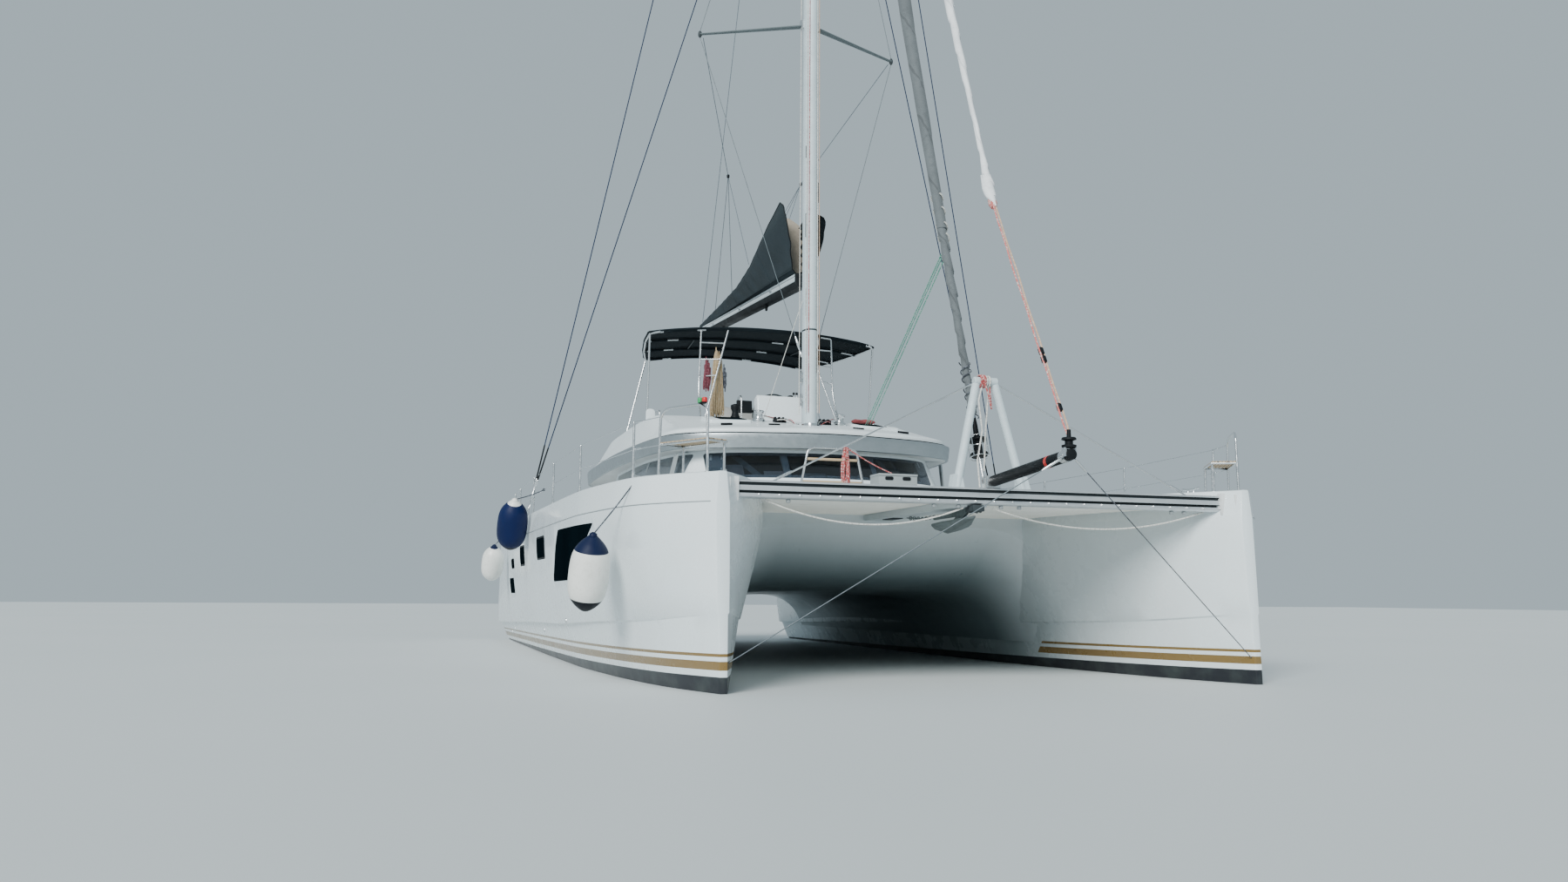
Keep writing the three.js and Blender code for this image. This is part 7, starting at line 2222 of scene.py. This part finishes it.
def makeForedeckFrame():
    # a rail with two slats, a coiled line hung on it, and the locker beside it
    deck, x = hullSize["sheer"], 3.42
    gear, box, coil = newShape(), newShape(), newShape()
    legs = ((-0.98, deck), (-0.85, 2.60), (-0.79, 2.64), (-0.28, 2.64), (-0.22, 2.60), (-0.09, deck))
    addTube(gear, roundedPath([(x, y, z) for y, z in legs], 0.05), 0.0135, 14)
    for y in (-0.98, -0.09):
        addTurned(gear, [(0.034, 0.0), (0.034, 0.006), (0.02, 0.012)], (x, y, deck), (0, 0, 1), 16)
    for z, half in ((2.225, 0.37), (2.50, 0.315)):
        ends = rectangle(x - 0.022, x + 0.022, z - 0.014, z + 0.014)
        addPrism(gear, [(px, -0.535 - half, pz) for px, pz in ends], (0, 2 * half, 0), 1)
    finishShape("foredeckRail", gear, "steel teakFore", "boat", "bridgedeck", 40, 0.002)
    outline = ((3.56, deck), (3.56, 2.31), (3.53, 2.34), (3.26, 2.34), (3.26, deck))
    addPrism(box, [(px, 0.02, z) for px, z in outline], (0, 0.5, 0))
    addBox(box, (3.265, 0.015, 2.318), (3.566, 0.525, 2.343))
    for y in (0.15, 0.38):
        ring = roundedOutline(rectangle(-0.055, 0.055, 2.262, 2.308), 0.022)
        addPrism(box, [(3.562, y + a, z) for a, z in ring], (0.004, 0, 0), 1)
    finishShape("foredeckLocker", box, "greyPlastic black", "boat", "bridgedeck", 35, 0.012, 3)
    for k in range(7):
        wide, tall = 0.05 + 0.006 * (k % 3), 0.20 + 0.022 * ((k * 5) % 4)
        ring = [(x + 0.02 + 0.014 * math.cos(a * 2 + k),
                 0.0066 * (k - 3) - 0.37 + wide * math.sin(a) * (0.55 - 0.45 * math.cos(a)),
                 2.655 - tall + tall * math.cos(a)) for a in (2 * math.pi * j / 28 for j in range(28))]
        addTube(coil, smoothPath(ring, 2, True) + [ring[0]], 0.0075, 7, 0, False)
    for k in range(4):
        ring = [(x + 0.02 + 0.024 * c, -0.37 + 0.03 * q, 2.56 - 0.013 * k) for c, q in turns(16, 1)]
        addTube(coil, ring, 0.0075, 7, 0, False)
    addTube(coil, sagPath((x + 0.02, -0.34, 2.64), (x + 0.1, 0.20, 2.35), 0.02), 0.007, 7)
    finishShape("coiledRedLine", coil, "redRope")


hankSize = [
    # y, top, bottom, spread, strands, look
    (-1.0, 4.50, 4.03, 0.045, 12, 0), (-0.965, 4.46, 4.10, 0.035, 8, 0), (-0.84, 4.66, 3.62, 0.085, 20, 1),
    (-0.79, 4.60, 3.66, 0.075, 14, 1), (-0.71, 4.40, 4.05, 0.03, 8, 2),
]


def makeHanks():
    # lines gathered in hanks on the starboard ladder, and the cloth rolled on the roof
    hanks, roll, panel, x = newShape(), newShape(), newShape(), -1.10
    for y, top, bottom, wide, strands, mat in hankSize:
        for k, (c, q) in enumerate(turns(strands)):
            low = bottom + 0.05 * noiseOf(k * 1.7, y * 9, 0.5) + 0.03 * (k % 3)
            knots = ((0.012 / wide, 0.012 / wide, top), (0.45, 0.4, top - 0.10), (0.5, 0.75, (top + low) / 2),
                     (0.4, 1.0, low + 0.03), (0.2, 0.75, low), (0, 0.5, low + 0.08))
            addTube(hanks, smoothPath([(x + wide * a * c, y + wide * b * q, z) for a, b, z in knots], 4), 0.0085, 6, mat)
        for k in range(5):
            ring = [(x + 0.028 * c, y + 0.032 * q, top - 0.08 - 0.014 * k) for c, q in turns(14, 1)]
            addTube(hanks, ring, 0.0085, 6, mat, False)
        addTube(hanks, [(x, y, top - 0.02), (x - 0.03, y, top + 0.06), (x - 0.045, y, top + 0.02)], 0.007, 6, mat)
    finishShape("ladderHanks", hanks, "wineRope strawRope darkRope")
    rings = []
    for t in (k / 21 for k in range(22)):
        ring = []
        for c, q in turns(16):
            r = (0.045 + 0.012 * noiseOf(t * 6, c * 1.4, q * 1.4)) * (1 - 0.6 * abs(2 * t - 1) ** 6)
            ring.append((0.28 + r * 1.25 * c, 0.90 + 0.37 * t, 3.445 + r * (0.85 if q > 0 else 0.6) * q))
        rings.append(ring)
    addLoft(roll, rings)
    finishShape("rolledCloth", roll, "redCloth", angle=70)
    ring = roundedOutline(rectangle(-1.98, -1.84, 3.42, 3.66), 0.06)
    addPrism(panel, [(-0.92, y, z) for y, z in ring], (0.03, 0, 0))
    finishShape("coamingPanel", panel, "mould", bevel=0.01, segments=3)


makeRails()
makeDeckFittings()
makeSterns()
makeForedeckFrame()
makeHanks()
print("rails and deck fittings made")


# fenders hung on the starboard side

fenderSize = {
    # share of the radius and of the length
    "profile": [(0.0, 0.0), (0.14, 0.002), (0.36, 0.035), (0.62, 0.095), (0.83, 0.17), (0.95, 0.26), (1.0, 0.38), (1.0, 0.58),
                (0.96, 0.70), (0.85, 0.80), (0.64, 0.89), (0.40, 0.955), (0.24, 0.995)],
    # name, top, bottom, radius, where the line is made fast, looks of body, head and foot, where foot and head begin
    "rows": [
        ("bow", (5.6, -3.76, 1.42), (5.38, -3.79, 0.70), 0.195, (5.88, -3.395, 1.962), "fenderWhite navyBlue navy", (0.16, 0.80)),
        ("middle", (0.15, -3.99, 2.13), (-0.25, -4.0, 1.48), 0.205, (0.26, -railY(0.26), 2.28), "fenderBlue fenderWhite navy",
         (0.12, 0.93)),
        ("aft", (-3.25, -3.97, 1.62), (-3.55, -3.98, 1.08), 0.175, (-3.15, -3.712, 1.962), "fenderWhite navyBlue fenderWhite",
         (0.05, 0.96)),
    ],
}


def makeFenders():
    hitches, count = newShape(), 40
    profile = smoothPath([(r, 0, h) for r, h in fenderSize["profile"]], 4)
    for name, top, bottom, radius, fast, mats, (lowEnd, highEnd) in fenderSize["rows"]:
        shape = newShape()
        foot, head, fast = Vector(bottom), Vector(top), Vector(fast)
        length, way = (head - foot).length, (head - foot).normalized()
        u = crossTo(way)
        v = way.cross(u)
        rings = [[foot + way * (p.z * length) + (u * c + v * q) * max(0.0005, p.x * radius) for c, q in turns(count)]
                 for p in profile]
        for a, b, p in zip(rings, rings[1:], profile):
            zone = 2 if p.z < lowEnd else 1 if p.z > highEnd else 0
            addFaces(shape, a + b, [[k, (k + 1) % count, (k + 1) % count + count, k + count] for k in range(count)], zone)
        addFaces(shape, rings[-1], [list(range(count))], 1)
        addTurned(shape, [(radius * 0.2, 0), (radius * 0.2, 0.03), (radius * 0.12, 0.04), (radius * 0.10, 0.045)],
                  head - way * 0.012, way, 20, 1)
        rope = [head + way * 0.015, head.lerp(fast, 0.5) - Vector((0, 0, 0.004)), fast]
        addTube(shape, smoothPath(rope, 6), 0.0072, 8, 3)
        finishShape("fender_" + name, shape, mats + " darkRope", "boat", "fender_" + name, 60)
        if fast.z < 2:
            addTurned(hitches, [(0.03, 0), (0.03, 0.008), (0.012, 0.012)], (fast.x, fast.y, 1.975), (0, 0, 1), 14, 1)
        for k in range(3):
            ring = [fast + Vector((0.012 * k - 0.012, 0.014 * c, 0.014 * q + 0.004)) for c, q in turns(14, 1)]
            addTube(hitches, ring, 0.0055, 6, 0, False)
    finishShape("fenderHitches", hitches, "darkRope steel")


makeFenders()
print("fenders made")


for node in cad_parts.values():
    if not node.hide_render and not node.data.materials:
        node.data.materials.append(looks["mould"])
